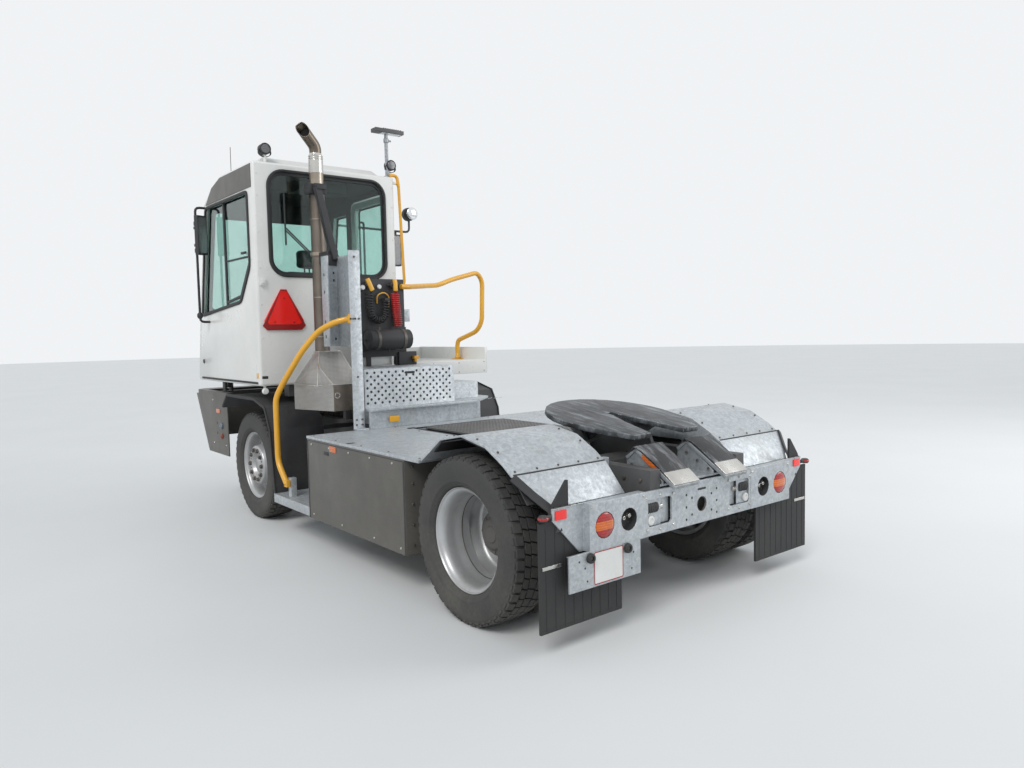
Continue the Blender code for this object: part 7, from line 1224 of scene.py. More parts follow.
def roof_fittings():
    """Work lamps, mast with its lamp head, aerial and roof cable over the shell's own stubs."""
    for x, word in ((1.07, "left"), (-0.13, "right")):
        at, out = Vector((x, -2.94, 3.195)), Vector((0, 1, 0))
        shell = lathe(bmesh.new(), at, out, [(0, -0.05), (0.024, -0.048), (0.0465, -0.03), (0.0475, 0.0),
                                             (0.0485, 0.026), (0.044, 0.031), (0.04, 0.027), (0, 0.027)],
                      28)
        for i in range(3):
            lathe(shell, at + out * (-0.034 + i * 0.011), out,
                  [(0.03, 0), (0.047, 0), (0.047, 0.004), (0.03, 0.004)], 24, closed=True)
        swept(shell, rounded_route([at + Vector((-0.047, 0.0, 0.004)), at + Vector((-0.056, 0, -0.04)),
                                    at + Vector((-0.02, 0, -0.064)), at + Vector((0.02, 0, -0.064)),
                                    at + Vector((0.056, 0, -0.04)), at + Vector((0.047, 0, 0.004))], 0.02),
              tube_section(0.0025, 0.012, 0.001, 1), (0, 1, 0))
        piece(f"roof_lamp_{word}", shell, "cab", BLACK_PLASTIC)
        glass_bm = lathe(bmesh.new(), at, out, [(0, 0.0275), (0.0395, 0.0275), (0.036, 0.0315), (0, 0.034)],
                         28)
        piece(f"roof_lamp_lens_{word}", glass_bm, "cab", SMOKED_LENS)
    cable = pipe(bmesh.new(), rounded_route([(1.06, -2.975, 3.15), (1.045, -3.0, 3.104), (1.0, -3.02, 3.09),
                                             (0.97, -3.08, 3.152), (0.94, -3.16, 3.152)], 0.03), 0.0055, 8)
    drum(cable, (0.985, -3.0, 3.081), (0.985, -3.0, 3.099), 0.018, 0.004, 16)
    piece("roof_cable", cable, "cab", HOSE_BLACK)
    aerial = pipe(bmesh.new(), [(1.02, -3.9, 3.1), (1.02, -3.89, 3.18), (1.02, -3.885, 3.4)], 0.0028, 8)
    drum(aerial, (1.02, -3.9, 3.07), (1.02, -3.9, 3.11), 0.014, 0.003, 16, r_end=0.009)
    piece("roof_aerial", aerial, "cab", BLACK_PLASTIC)
    top = (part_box("cab_shell")[1] - ORIGIN).z
    mast = bmesh.new()
    pipe(mast, [(MAST_X, LAMP_Y, ROOF_Z + 0.002), (MAST_X, LAMP_Y, top - 0.03)], 0.0165, 18)
    drum(mast, (MAST_X, LAMP_Y, ROOF_Z), (MAST_X, LAMP_Y, ROOF_Z + 0.014), 0.034, 0.003, 20)
    drum(mast, (MAST_X, LAMP_Y, 3.4), (MAST_X, LAMP_Y, 3.44), 0.024, 0.004, 20)
    drum(mast, (MAST_X - 0.02, LAMP_Y, 3.42), (MAST_X - 0.05, LAMP_Y, 3.42), 0.009, 0.002, 12)
    piece("lamp_mast", mast, "cab", ZINC_DARK)
    head = slab(bmesh.new(), (-0.262, LAMP_Y - 0.047, top - 0.032), (0.036, LAMP_Y + 0.047, top + 0.003),
                0.005)
    for i in range(9):
        x = -0.235 + i * 0.022
        slab(head, (x, LAMP_Y - 0.04, top + 0.001), (x + 0.006, LAMP_Y + 0.04, top + 0.011), 0.002, steps=1)
    piece("mast_work_lamp", head, "cab", FRAME_GREY)
    lens_bm = slab(bmesh.new(), (-0.24, LAMP_Y - 0.036, top - 0.0355), (-0.04, LAMP_Y + 0.036, top - 0.031),
                   0.003)
    piece("mast_work_lamp_lens", lens_bm, "cab", CLEAR_LENS)


def cab_body():
    """The cab shell in white, with the pole, mast, lamps and hinges on it in their own finishes."""
    softened("cab_shell", "cab", CAB_WHITE, zones=[
        (YELLOW, (-0.3, -2.94, 2.0), (CAB_RIGHT - 0.001, -2.87, 3.06)),
        (ZINC_DARK, (-0.4, -3.1, ROOF_Z + 0.0005), (0.05, -2.8, 3.6)),
        (BLACK_PLASTIC, (0.99, -2.99, ROOF_Z + 0.0005), (1.2, -2.8, 3.3)),
        (BLACK_PLASTIC, (-0.3, -3.75, 1.5), (CAB_RIGHT - 0.001, -3.6, 2.9)),
        (FRAME_GREY, (0.0, -4.6, 1.0), (1.1, -4.3, 1.2145)),
        (LINING, (-0.082, -4.475, 1.25), (1.167, -2.918, 3.038)),
    ])


cab_body()
cab_back()
triangle()
cab_side()
cab_right()
cab_front()
roof_fittings()


# Rear end
FACE_Y, LAMP_X, SOCKET_X, LAMP_Z = 0.7043, 0.8, 0.618, 0.628
LAMP_R, RECESS = 0.066, 0.0445
POCKET_LOW, POCKET_HIGH = 0.556, 0.701
GUARD_LINE = [(-0.43, 0.882), (-0.31, 0.965), (-0.22, 1.03), (-0.005, 1.07), (0.22, 1.03), (0.365, 0.952),
              (0.44, 0.899)]
SEAM_Y, SEAM_Z = 0.44, 0.899
BACKWARDS = (0, 1, 0)


def tail_lamp(side, word):
    """Round tail lamp: red above and below an amber band, in its black cup, with two slots drawn as thin
    black patches for their painted shade.
    """
    at = Vector((side * LAMP_X, FACE_Y, LAMP_Z))
    cup = lathe(bmesh.new(), at, BACKWARDS, [(0, -RECESS), (0.0695, -RECESS), (0.0695, -0.006),
                                             (0.068, -0.002), (LAMP_R, -0.003), (LAMP_R, -0.008),
                                             (0, -0.008)], 40)
    # two thin black patches above and below the lamp: painted shade of slots in the plate
    for up in (-1, 1):
        slab(cup, at + Vector((-0.0035, 0.0002, up * 0.088 - 0.009)),
             at + Vector((0.0035, 0.0012, up * 0.088 + 0.009)), 0.0005)
    piece(f"tail_lamp_cup_{word}", cup, "chassis", BLACK_PLASTIC)
    face = lathe(bmesh.new(), at, BACKWARDS, [(0, -0.007), (LAMP_R - 0.001, -0.007),
                                              (LAMP_R - 0.001, 0.001), (0.056, 0.0062), (0.034, 0.0088),
                                              (0, 0.0098)], 48)
    for z in (-0.022, 0.022):
        geom = face.verts[:] + face.edges[:] + face.faces[:]
        bmesh.ops.bisect_plane(face, geom=geom, plane_co=at + Vector((0, 0, z)), plane_no=(0, 0, 1))
    for f in face.faces:
        f.material_index = int(abs(f.calc_center_median().z - LAMP_Z) < 0.022)
    glass = piece(f"tail_lamp_lens_{word}", face, "chassis", RED_LENS)
    glass.data.materials.append(AMBER_LENS)


def socket_hole(side, word):
    """The open round hole beside the lamp: a black cup lining it and four black discs round it for screw
    holes, both painted shade, two light couplings and small bolts.
    """
    at = Vector((side * SOCKET_X, FACE_Y, LAMP_Z))
    # black cup lining the open hole: painted shade inside the hole
    cup = lathe(bmesh.new(), at, BACKWARDS, [(0, -RECESS), (0.0615, -RECESS), (0.0615, -0.0005),
                                             (0.06, -0.0005), (0.059, -RECESS + 0.004),
                                             (0, -RECESS + 0.004)], 40)
    # four small black discs round the hole: painted shade of screw holes
    for turn in range(4):
        way = Vector((cos(pi / 4 + turn * pi / 2), 0, sin(pi / 4 + turn * pi / 2)))
        drum(cup, at + way * 0.066 + Vector((0, 0.0002, 0)), at + way * 0.066 + Vector((0, 0.0012, 0)),
             0.0055, sides=12)
    piece(f"socket_hole_shade_cup_{word}", cup, "chassis", BLACK_PLASTIC)
    held = bmesh.new()
    for x, z, r in ((-0.021, 0.014, 0.014), (0.021, 0.006, 0.014)):
        root = at + Vector((x, -RECESS + 0.004, z))
        lathe(held, root, BACKWARDS, [(0, 0), (r, 0), (r, 0.012), (r * 0.8, 0.016), (r * 0.8, 0.026),
                                      (r * 0.55, 0.028), (r * 0.5, 0.02), (0, 0.02)], 20)
    piece(f"socket_couplings_{word}", held, "chassis", BRIGHT_STEEL)
    spots = [(at + Vector((x, -RECESS + 0.004, z)), BACKWARDS) for x,
             z in ((0.0, 0.044), (0.03, 0.034), (-0.033, -0.026), (0.012, -0.038))]
    fittings(f"socket_bolts_{word}", spots, "chassis", DARK_STEEL, 0.006, 0.005, 0.006, 6)


def pocket(side, word):
    """Things in the square pocket: black plug with its bolt, white cap and pale side plate."""
    def at(x, y, z):
        return Vector((side * x, FACE_Y + y, z))
    plug = drum(bmesh.new(), at(0.46, -0.036, 0.655), at(0.372, -0.036, 0.655), 0.036, 0.004, 28)
    for x in (0.45, 0.435, 0.42, 0.405, 0.39):
        lathe(plug, at(x, -0.036, 0.655), (1, 0, 0),
              [(0.03, -0.002), (0.0385, -0.002), (0.0385, 0.002), (0.03, 0.002)], 28, closed=True)
    piece(f"pocket_plug_{word}", plug, "chassis", BLACK_PLASTIC)
    bolt = drum(bmesh.new(), at(0.372, -0.03, 0.65), at(0.33, -0.03, 0.65), 0.012, 0.002, 16)
    drum(bolt, at(0.36, -0.03, 0.65), at(0.347, -0.03, 0.65), 0.02, 0.002, 6)
    drum(bolt, at(0.334, -0.03, 0.65), at(0.324, -0.03, 0.65), 0.016, 0.003, 16)
    piece(f"pocket_bolt_{word}", bolt, "chassis", BRIGHT_STEEL)
    cap = lathe(bmesh.new(), at(0.436, -0.013, 0.587), BACKWARDS,
                [(0, 0), (0.024, 0), (0.026, 0.004), (0.026, 0.01), (0.022, 0.013), (0.014, 0.0135),
                 (0.013, 0.01), (0, 0.01)], 28)
    piece(f"pocket_cap_{word}", cap, "chassis", WHITE_PLASTIC)
    low, high = sorted((side * 0.268, side * 0.349))
    wall = slab(bmesh.new(), (low, FACE_Y - 0.03, POCKET_LOW), (high, FACE_Y - 0.027, POCKET_HIGH), 0.001)
    low, high = sorted((side * 0.35, side * 0.462))
    slab(wall, (low, FACE_Y - 0.0138, POCKET_LOW), (high, FACE_Y - 0.012, POCKET_HIGH), 0.0005)
    piece(f"pocket_back_{word}", wall, "chassis", ZINC)


def rear_face():
    """Bolts, small holes and slot of the end plate, the holes and the slot drawn as flat black patches for
    their painted shade, and its folded top edge.
    """
    # flat black discs for the small holes: painted shade of the holes
    spots = [((s * x, FACE_Y, z), BACKWARDS) for s in (-1, 1)
             for x, z in ((0.14, 0.685), (0.09, 0.662), (0.14, 0.614), (0.09, 0.565), (0.14, 0.543))]
    fittings("end_plate_hole_shades", spots, "chassis", BLACK_PLASTIC, 0.0075, 0.0075, 0.0007, 12)
    # black patch for the slot: painted shade of the slot
    slot_shade_bm = cut_sheet(bmesh.new(), [(-x, z) for x,
                                      z in rounded_oblong(-0.038, 0.697, 0.038, 0.709, 0.005)], 0.0008,
                        (0, FACE_Y + 0.0002, 0), u=(-1, 0, 0))
    piece("end_plate_slot_shade", slot_shade_bm, "chassis", BLACK_PLASTIC)
    spots = [((s * x, FACE_Y, z), BACKWARDS) for s in (-1, 1) for x,
             z in ((0.474, 0.715), (0.474, 0.54), (0.365, 0.722), (0.257, 0.715), (0.257, 0.54),
                   (0.365, 0.531), (0.5, 0.735), (0.895, 0.735))]
    fittings("end_plate_bolts", spots, "chassis", BRIGHT_STEEL, 0.0085, 0.0075, 0.006, 6)
    ring = lathe(bmesh.new(), (0, FACE_Y - 0.006, 0.614), BACKWARDS,
                 [(0.0445, 0), (0.0445, 0.0055), (0.0405, 0.0055), (0.038, 0.001), (0.038, 0)], 40,
                 closed=True)
    piece("tow_hole_liner", ring, "chassis", DARK_STEEL)
    for side, word in SIDES:
        low, high = sorted((side * 0.487, side * 0.909))
        fold = slab(bmesh.new(), (low, FACE_Y - 0.054, 0.7515), (high, FACE_Y + 0.0006, 0.7545), 0.0014)
        x = side * 0.486
        slab(fold, (x - 0.0015, FACE_Y, 0.507), (x + 0.0015, FACE_Y + 0.0012, 0.75))
        piece(f"lamp_box_fold_{word}", fold, "chassis", ZINC)


def number_plate():
    """Blank white plate with its red line, on the holder, with two rubber buffers above it."""
    low, high = (0.668, 0.33), (0.883, 0.5)
    outline = rounded_oblong(*low, *high, 0.008)
    bm = cut_sheet(bmesh.new(), [(-x, z) for x, z in outline], 0.0018, (0, FACE_Y + 0.0004, 0), u=(-1, 0, 0))
    piece("blank_number_plate", bm, "chassis", WHITE_PLASTIC)
    inner = rounded_oblong(low[0] + 0.005, low[1] + 0.005, high[0] - 0.005, high[1] - 0.005, 0.006)
    bm = cut_sheet(bmesh.new(), [(-x, z) for x, z in outline], 0.0006, (0, FACE_Y + 0.0022, 0),
                   u=(-1, 0, 0), holes=[[(-x, z) for x, z in inner]])
    piece("number_plate_red_line", bm, "chassis", PLATE_RED)
    for x, word in ((0.912, "outer"), (0.637, "inner")):
        buffer = lathe(bmesh.new(), (x, FACE_Y + 0.0003, 0.477), BACKWARDS,
                       [(0, 0), (0.023, 0), (0.0265, 0.004), (0.0265, 0.014), (0.023, 0.021),
                        (0.016, 0.023), (0.012, 0.0225), (0.0115, 0.012), (0, 0.012)], 32)
        piece(f"plate_buffer_{word}", buffer, "chassis", RUBBER)
        bolt = drum(bmesh.new(), (x, FACE_Y + 0.012, 0.477), (x, FACE_Y + 0.0165, 0.477), 0.008, 0.001, 6)
        piece(f"plate_buffer_bolt_{word}", bolt, "chassis", DARK_STEEL)
    # flat black discs on the holder: painted shade of its holes
    spots = [((x, FACE_Y, z), BACKWARDS) for x, z in ((0.945, 0.43), (0.985, 0.47), (0.585, 0.445),
                                                      (0.93, 0.36), (0.6, 0.36))]
    fittings("holder_hole_shades", spots, "chassis", BLACK_PLASTIC, 0.0055, 0.0055, 0.0008, 12)
    lip = slab(bmesh.new(), (0.912, FACE_Y - 0.02, 0.5035), (1.054, FACE_Y + 0.0004, 0.5065), 0.001)
    piece("holder_fold", lip, "chassis", ZINC)


def bracket_and_flap(side, word):
    """Reflector, folded edge and screws on the outer bracket, ribs, strip and stiffener of the mudflap."""
    def span(a, b):
        return sorted((side * a, side * b))
    back = FACE_Y - 0.0445
    low, high = span(1.03, 1.105)
    mark = slab(bmesh.new(), (low, back + 0.0003, 0.694), (high, back + 0.006, 0.742), 0.0025)
    piece(f"bracket_reflector_{word}", mark, "chassis", RED_REFLECTOR)
    low, high = span(0.912, 1.12)
    fold = slab(bmesh.new(), (low, back - 0.01, 0.7515), (high, back + 0.004, 0.7545), 0.0014)
    piece(f"bracket_fold_{word}", fold, "chassis", ZINC)
    spots = [((side * x, back - 0.003, 0.7545), (0, 0, 1)) for x in (0.95, 1.0, 1.05, 1.1)]
    fittings(f"bracket_screws_{word}", spots, "chassis", DARK_STEEL, 0.006, 0.005, 0.005, 6)
    plane = FACE_Y - 0.0553
    ribs = bmesh.new()
    for i in range(9):
        x = side * (0.66 + i * 0.0625)
        slab(ribs, (x - 0.0022, plane - 0.0003, 0.14), (x + 0.0022, plane + 0.0016, 0.66), 0.0007, steps=1)
    slab(ribs, (span(0.622, 1.198)[0], plane - 0.0003, 0.134),
         (span(0.622, 1.198)[1], plane + 0.0016, 0.146), 0.0007, steps=1)
    piece(f"mudflap_ribs_{word}", ribs, "chassis", RUBBER)
    low, high = span(1.06, 1.185)
    strip = slab(bmesh.new(), (low, plane + 0.0002, 0.452), (high, plane + 0.0045, 0.47), 0.001)
    piece(f"mudflap_strip_{word}", strip, "chassis", BRIGHT_STEEL)
    stiff = swept(bmesh.new(), [(side * x, y, z) for x, y,
                                z in ((1.2, 0.45, 0.895), (1.135, 0.53, 0.805), (1.08, 0.605, 0.735),
                                      (1.075, plane + 0.003, 0.63))], tube_section(0.022, 0.006, 0.003, 2),
                  (side * 0.5, 0.6, 0.6))
    piece(f"mudflap_stiffener_{word}", stiff, "chassis", BLACK_PLASTIC)
    lamp = pipe(bmesh.new(), [(side * 1.13, plane + 0.004, 0.716), (side * 1.165, plane + 0.006, 0.716)],
                0.012, 14)
    lathe(lamp, (side * 1.18, plane + 0.008, 0.7), (0, 0, 1),
          [(0, 0), (0.02, 0.001), (0.026, 0.008), (0.026, 0.024), (0.02, 0.031), (0, 0.032)], 24)
    piece(f"outline_lamp_{word}", lamp, "chassis", BLACK_PLASTIC)
    lens_bm = lathe(bmesh.new(), (side * 1.18, plane + 0.008, 0.7), (0, 0, 1),
                    [(0.0262, 0.009), (0.0285, 0.012), (0.0285, 0.02), (0.0262, 0.023)], 24, closed=True)
    piece(f"outline_lamp_lens_{word}", lens_bm, "chassis", RED_LENS)


def mudguard(side, word):
    """Rear guard: softened folds, a black strip along the seam as its painted shadow, screws, and a black
    sheet under the guard as painted shade.
    """
    softened(f"mudguard_{word}", "chassis", ZINC, 0.002)

    def span(a, b):
        return sorted((side * a, side * b))
    low, high = span(0.53, 1.19)
    # black strip along the crease where the top sheet overlaps the apron: painted shadow of that edge
    seam = swept(bmesh.new(), [(low, SEAM_Y + 0.002, SEAM_Z + 0.0025),
                               (high, SEAM_Y + 0.002, SEAM_Z + 0.0025)],
                 tube_section(0.005, 0.004, 0.0015, 2), (0, 0.54, 0.84))
    piece(f"guard_seam_shadow_{word}", seam, "chassis", RUBBER)
    spots = [((side * x, SEAM_Y - 0.022, SEAM_Z + 0.0145), (0, 0.54, 0.84))
             for x in (0.56, 0.71, 0.86, 1.01, 1.16)]
    spots += [((side * x, y, z), way) for x in (0.56, 1.16) for y, z,
              way in ((0.28, 1.0, (0, 0.48, 0.88)), (0.1, 1.052, (0, 0.18, 0.98)),
                      (-0.12, 1.05, (0, -0.18, 0.98)), (-0.27, 0.996, (0, -0.6, 0.8)))]
    fittings(f"guard_screws_{word}", spots, "chassis", DARK_STEEL, 0.007, 0.0055, 0.006, 8)
    # black sheet just under the guard: painted shade beneath it
    under_shade = bmesh.new()
    below = [(y, z - 0.024) for y, z in GUARD_LINE[1:]] + [(0.53, 0.76)]
    swept(under_shade, [(side * 0.86, y, z) for y, z in below], tube_section(0.315, 0.003, 0.001, 1), (0, -0.3, 1))
    piece(f"guard_underside_shade_{word}", under_shade, "chassis", BLACK_PLASTIC)


def ramps():
    """Guide ramps: bowed wear plates, bright tips, orange marker and the side bolts."""
    softened("guide_ramps", "chassis", ZINC_DARK, 0.0018)
    top = [(0.43, 0.9085), (0.462, 0.9335), (0.5, 0.9615), (0.54, 0.9435), (0.6, 0.9075), (0.66, 0.8685),
           (0.705, 0.836)]
    tip = [(0.705, 0.836), (0.735, 0.8145), (0.76, 0.7955), (0.7815, 0.779)]
    for side, word in SIDES:
        x = side * 0.2275
        for name, line, look in (("wear_plate", top, RAMP_STEEL), ("tip", tip, BRIGHT_STEEL)):
            bm = swept(bmesh.new(), [(x, y, z) for y, z in line], tube_section(0.1085, 0.0045, 0.003, 2),
                       (0, 0.5, 0.87))
            piece(f"ramp_{name}_{word}", bm, "chassis", look, 50)
        spots = [((side * 0.3352, y, z), (side, 0, 0)) for y,
                 z in ((0.47, 0.86), (0.5, 0.8), (0.56, 0.8), (0.62, 0.8), (0.68, 0.79))]
        spots += [((side * 0.1198, y, z), (-side, 0, 0)) for y, z in ((0.5, 0.88), (0.58, 0.84), (0.66, 0.8))]
        fittings(f"ramp_bolts_{word}", spots, "chassis", DARK_STEEL, 0.0085, 0.0075, 0.006, 6)
    bm = cut_sheet(bmesh.new(), [(0.551, 0.9), (0.551, 0.925), (0.655, 0.862), (0.65, 0.838)], 0.003,
                   (0.3354, 0, 0), u=(0, 1, 0))
    piece("ramp_marker", bm, "chassis", AMBER_LENS)


for side, word in SIDES:
    tail_lamp(side, word)
    socket_hole(side, word)
    pocket(side, word)
    bracket_and_flap(side, word)
    mudguard(side, word)
rear_face()
number_plate()
ramps()


# Deck, steps, lockers and rails
DECK_TOP, LOCKER_SIDE = 0.88, 1.21
RISER_Y, RISER_HIGH = -2.06, 1.345


def steps():
    """Risers with punched rows of holes and a slot, drawn as flat black patches for their painted shade,
    tread bands of zinc grip bumps and a marker.
    """
    softened("access_steps", "chassis", ZINC, 0.0016)
    # the riser's holes are flat black discs: painted shade seen through them
    spots = []
    for row in range(9):
        for i in range(13):
            x = 0.655 - i * 0.066 - (0.033 if row % 2 else 0)
            z = RISER_HIGH - 0.022 - row * 0.0305
            if x > -0.16 and not (row == 0 and 0.2 < x < 0.32):
                spots.append(((x, RISER_Y, z), (0, 1, 0)))
    fittings("riser_hole_shades", spots, "chassis", BLACK_PLASTIC, 0.0105, 0.0105, 0.0006, 14)
    # black patch for the riser slot: painted shade of the slot
    slot_shade_bm = cut_sheet(bmesh.new(), [(-x, z) for x, z in rounded_oblong(0.21, 1.302, 0.31, 1.321, 0.009)],
                        0.0008, (0, RISER_Y + 0.0002, 0), u=(-1, 0, 0))
    piece("riser_slot_shade", slot_shade_bm, "chassis", BLACK_PLASTIC)
    marks = slab(bmesh.new(), (0.425, -1.9695, 0.925), (0.515, -1.966, 0.972), 0.0018)
    piece("tread_marker", marks, "chassis", YELLOW)
    bumps = []
    for i in range(21):
        for j, y in enumerate((-1.985, -2.005, -2.027)):
            bumps.append(((0.655 - i * 0.064 - (0.032 if j == 1 else 0), y, 1.0405), (0, 0, 1)))
    for i in range(15):
        bumps.append(((0.645 - i * 0.055, -2.09, 1.3525), (0, 0, 1)))
        bumps.append(((0.62 - i * 0.055, -2.13, 1.3525), (0, 0, 1)))
    fittings("tread_grip",
             [b for b in bumps if b[0][0] > -0.67 and not (b[0][2] > 1.3 and b[0][0] < -0.15)], "chassis",
             ZINC, 0.0075, 0.005, 0.0028, 10)


def deck():
    """Deck sheet with black strips, punched slots and its screws."""
    softened("deck", "chassis", ZINC, 0.0016)
    strip = bmesh.new()
    swept(strip, [(0.41, -1.783, DECK_TOP + 0.001), (-0.41, -1.783, DECK_TOP + 0.001)],
          tube_section(0.008, 0.0035, 0.0015, 1), (0, 0, 1))
    for s in (-1, 1):
        swept(strip, [(s * 0.408, -1.775, DECK_TOP + 0.001), (s * 0.408, -0.45, DECK_TOP + 0.001)],
              tube_section(0.006, 0.003, 0.0012, 1), (0, 0, 1))
    slab(strip, (0.39, -1.81, DECK_TOP), (0.45, -1.775, DECK_TOP + 0.006), 0.002)
    slab(strip, (1.13, -1.412, DECK_TOP + 0.0002), (1.19, -1.372, DECK_TOP + 0.001), 0.0004)
    for s in (-1, 1):
        low, high = sorted((s * 0.53, s * 1.19))
        slab(strip, (low, -0.4395, DECK_TOP - 0.002), (high, -0.4325, DECK_TOP + 0.004), 0.001)
    piece("deck_rubber_strips", strip, "chassis", RUBBER)
    spots = [((s * x, y, DECK_TOP), (0, 0, 1)) for s in (-1, 1) for x in (0.47, 1.17)
             for y in (-0.48, -0.85, -1.22, -1.6, -1.96)]
    spots += [((s * x, -0.465, DECK_TOP), (0, 0, 1)) for s in (-1, 1) for x in (0.62, 0.8, 0.98)]
    fittings("deck_screws", spots, "chassis", DARK_STEEL, 0.0075, 0.006, 0.004, 8)
    grip = [((s * (1.17 - i * 0.028), -1.985 + j * 0.028, DECK_TOP), (0, 0, 1)) for s in (-1, 1)
            for i in range(12) for j in range(13)]
    fittings("deck_grip", grip, "chassis", ZINC, 0.0062, 0.004, 0.0022, 8)
    cover = []
    for i in range(16):
        for j in range(26):
            cover.append(((0.35 - i * 0.0465, -1.6 + j * 0.042 + (0.021 if i % 2 else 0), 0.902), (0, 0, 1)))
    fittings("boom_cover_grip", [c for c in cover if c[0][1] < -0.62], "boom", FRAME_GREY,
             0.009, 0.006, 0.0022, 8)


def locker(side, word):
    """Side locker: softened edges, lid line, screws, marker, a slot drawn as a black patch for its painted
    shade, and a black rear edge.
    """
    softened(f"side_locker_{word}", "chassis", PANEL_GREY, 0.003)
    x = side * LOCKER_SIDE

    def plate_on(name, y0, y1, z0, z1, proud, look, soft=0.001):
        low, high = sorted((x + side * 0.0002, x + side * (0.0002 + proud)))
        piece(f"{name}_{word}", slab(bmesh.new(), (low, y0, z0), (high, y1, z1), soft), "chassis", look)
    plate_on("locker_marker", -1.617, -1.517, 0.803, 0.845, 0.004, AMBER_LENS, 0.0015)
    # black patch for the locker slot: painted shade of the slot
    plate_on("locker_slot_shade", -1.715, -1.635, 0.77, 0.796, 0.0012, BLACK_PLASTIC, 0.0005)
    lines = bmesh.new()
    for y in (-1.992, -0.608):
        low, high = sorted((x + side * 0.0002, x + side * 0.0016))
        slab(lines, (low, y - 0.0075, 0.266), (high, y + 0.0075, 0.852), 0.0006)
    low, high = sorted((x + side * 0.0002, x + side * 0.0014))
    slab(lines, (low, -1.985, 0.848), (high, -0.615, 0.8525), 0.0004)
    piece(f"locker_edge_lines_{word}", lines, "chassis", BLACK_PLASTIC)
    spots = [((x, y, 0.826), (side, 0, 0)) for y in (-1.92, -1.63, -1.328, -1.03, -0.74)]
    spots += [((x, y, 0.3), (side, 0, 0)) for y in (-1.92, -1.46, -1.0, -0.66)]
    fittings(f"locker_screws_{word}", spots, "chassis", BRIGHT_STEEL, 0.0085, 0.0065, 0.005, 10)
    back = [((side * 1.15, -0.6, z), (0, 1, 0)) for z in (0.32, 0.45, 0.58, 0.71, 0.82)]
    fittings(f"locker_rear_bolts_{word}", back, "chassis", DARK_STEEL, 0.009, 0.0075, 0.006, 6)
    low, high = sorted((side * 1.12, side * 1.2))
    clip = slab(bmesh.new(), (low, -2.0285, 0.7), (high, -2.0005, 0.79), 0.004)
    piece(f"locker_front_bracket_{word}", clip, "chassis", ZINC)


def left_step():
    """Entry step: softened edges with a patterned tread."""
    softened("left_step", "chassis", ZINC, 0.002)
    low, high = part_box("left_step")
    low, high = low - ORIGIN, high - ORIGIN
    spots = [((0.83 + i * 0.03, -2.66 + j * 0.03, 0.338), (0, 0, 1)) for i in range(12) for j in range(22)]
    spots = [s for s in spots if not (s[0][0] > 1.09 and -2.52 < s[0][1] < -2.42)]
    fittings("left_step_grip", spots, "chassis", ZINC, 0.007, 0.0045, 0.0028, 8)


def handrails():
    """Smooth yellow rails with their end flanges and bolts, and the bent top of the cab pole."""
    tube_r = 0.0235
    left = [(0.774, -2.0503, 1.757), (0.774, -2.12, 1.757), (0.86, -2.18, 1.735), (0.95, -2.3, 1.665),
            (1.04, -2.43, 1.5), (1.15, -2.6, 1.22), (1.185, -2.634, 1.12), (1.185, -2.634, 0.6),
            (1.1813, -2.48, 0.44)]
    right = [(0.022, -2.5587, 2.05), (-0.062, -2.5587, 2.05), (-0.12, -2.6, 2.055), (-0.42, -2.78, 2.08),
             (-0.56, -2.84, 2.09), (-0.74, -2.87, 2.15), (-1.1, -2.93, 2.235), (-1.17, -2.94, 2.15),
             (-1.155, -2.94, 1.74), (-1.12, -2.98, 1.64), (-1.05, -3.22, 1.55), (-1.05, -3.24, 1.5),
             (-1.05, -3.24, 1.3515)]
    for word, route in (("left", left), ("right", right)):
        made = piece(f"handrail_{word}_shape", pipe(bmesh.new(), rounded_route(route, 0.07, 6), tube_r, 20),
                     "chassis", YELLOW, 60)
        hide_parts(f"handrail_{word}")
    ends = bmesh.new()
    slab(ends, (0.735, -2.0515, 1.72), (0.813, -2.0385, 1.794), 0.004)
    slab(ends, (-1.092, -3.292, 1.3503), (-1.008, -3.188, 1.3603), 0.004)
    drum(ends, (-1.05, -3.24, 1.36), (-1.05, -3.24, 1.42), 0.034, 0.003, 20, r_end=0.022)
    slab(ends, (1.164, -2.505, 0.42), (1.198, -2.45, 0.475), 0.004)
    piece("handrail_flanges", ends, "chassis", YELLOW)
    spots = [((0.755, -2.0385, 1.757), (0, 1, 0)), ((0.793, -2.0385, 1.757), (0, 1, 0)),
             ((-1.05, -3.28, 1.3603), (0, 0, 1)), ((-1.05, -3.2, 1.3603), (0, 0, 1))]
    fittings("handrail_bolts", spots, "chassis", BLACK_PLASTIC, 0.0085, 0.0075, 0.006, 6)
    top = pipe(bmesh.new(), rounded_route([(-0.1, -2.905, 3.098), (-0.178, -2.905, 3.102),
                                           (-0.193, -2.905, 3.0)], 0.045, 8), 0.015, 16)
    piece("cab_pole_top_bend", top, "cab", YELLOW, 60)


def tray():
    """White tray behind the cab: softened folds, grip bumps and bolts."""
    softened("right_platform", "chassis", CAB_WHITE, 0.002)
    spots = [((x, -2.86, z), (0, 1, 0)) for x in (-1.11, -0.8, -0.5, -0.2) for z in (1.24, 1.33)]
    fittings("tray_screws", spots, "chassis", BRIGHT_STEEL, 0.0075, 0.006, 0.004, 8)
    grip = [((-0.2 - i * 0.045, -2.95 - j * 0.045, 1.3503), (0, 0, 1)) for i in range(18) for j in range(22)]
    grip = [g for g in grip if not (g[0][0] < -0.95 and -3.35 < g[0][1] < -3.1)]
    fittings("tray_grip", grip, "chassis", CAB_WHITE, 0.008, 0.005, 0.0022, 8)


steps()
deck()
for side, word in SIDES:
    locker(side, word)
left_step()
handrails()
tray()


# Exhaust, column and hose board
STACK_X, STACK_Y, STACK_R = 0.745, -2.66, 0.062
MOUTH, MOUTH_FACE = Vector((0.872, -2.613, 3.318)), (0.58, 0.8, 0.12)
GUARD_BELT, GUARD_TOP = 1.24, 1.5
GUARD_RIGHT, GUARD_LEFT, GUARD_FRONT, GUARD_REAR = 0.6803, 1.045, -2.585, -2.14


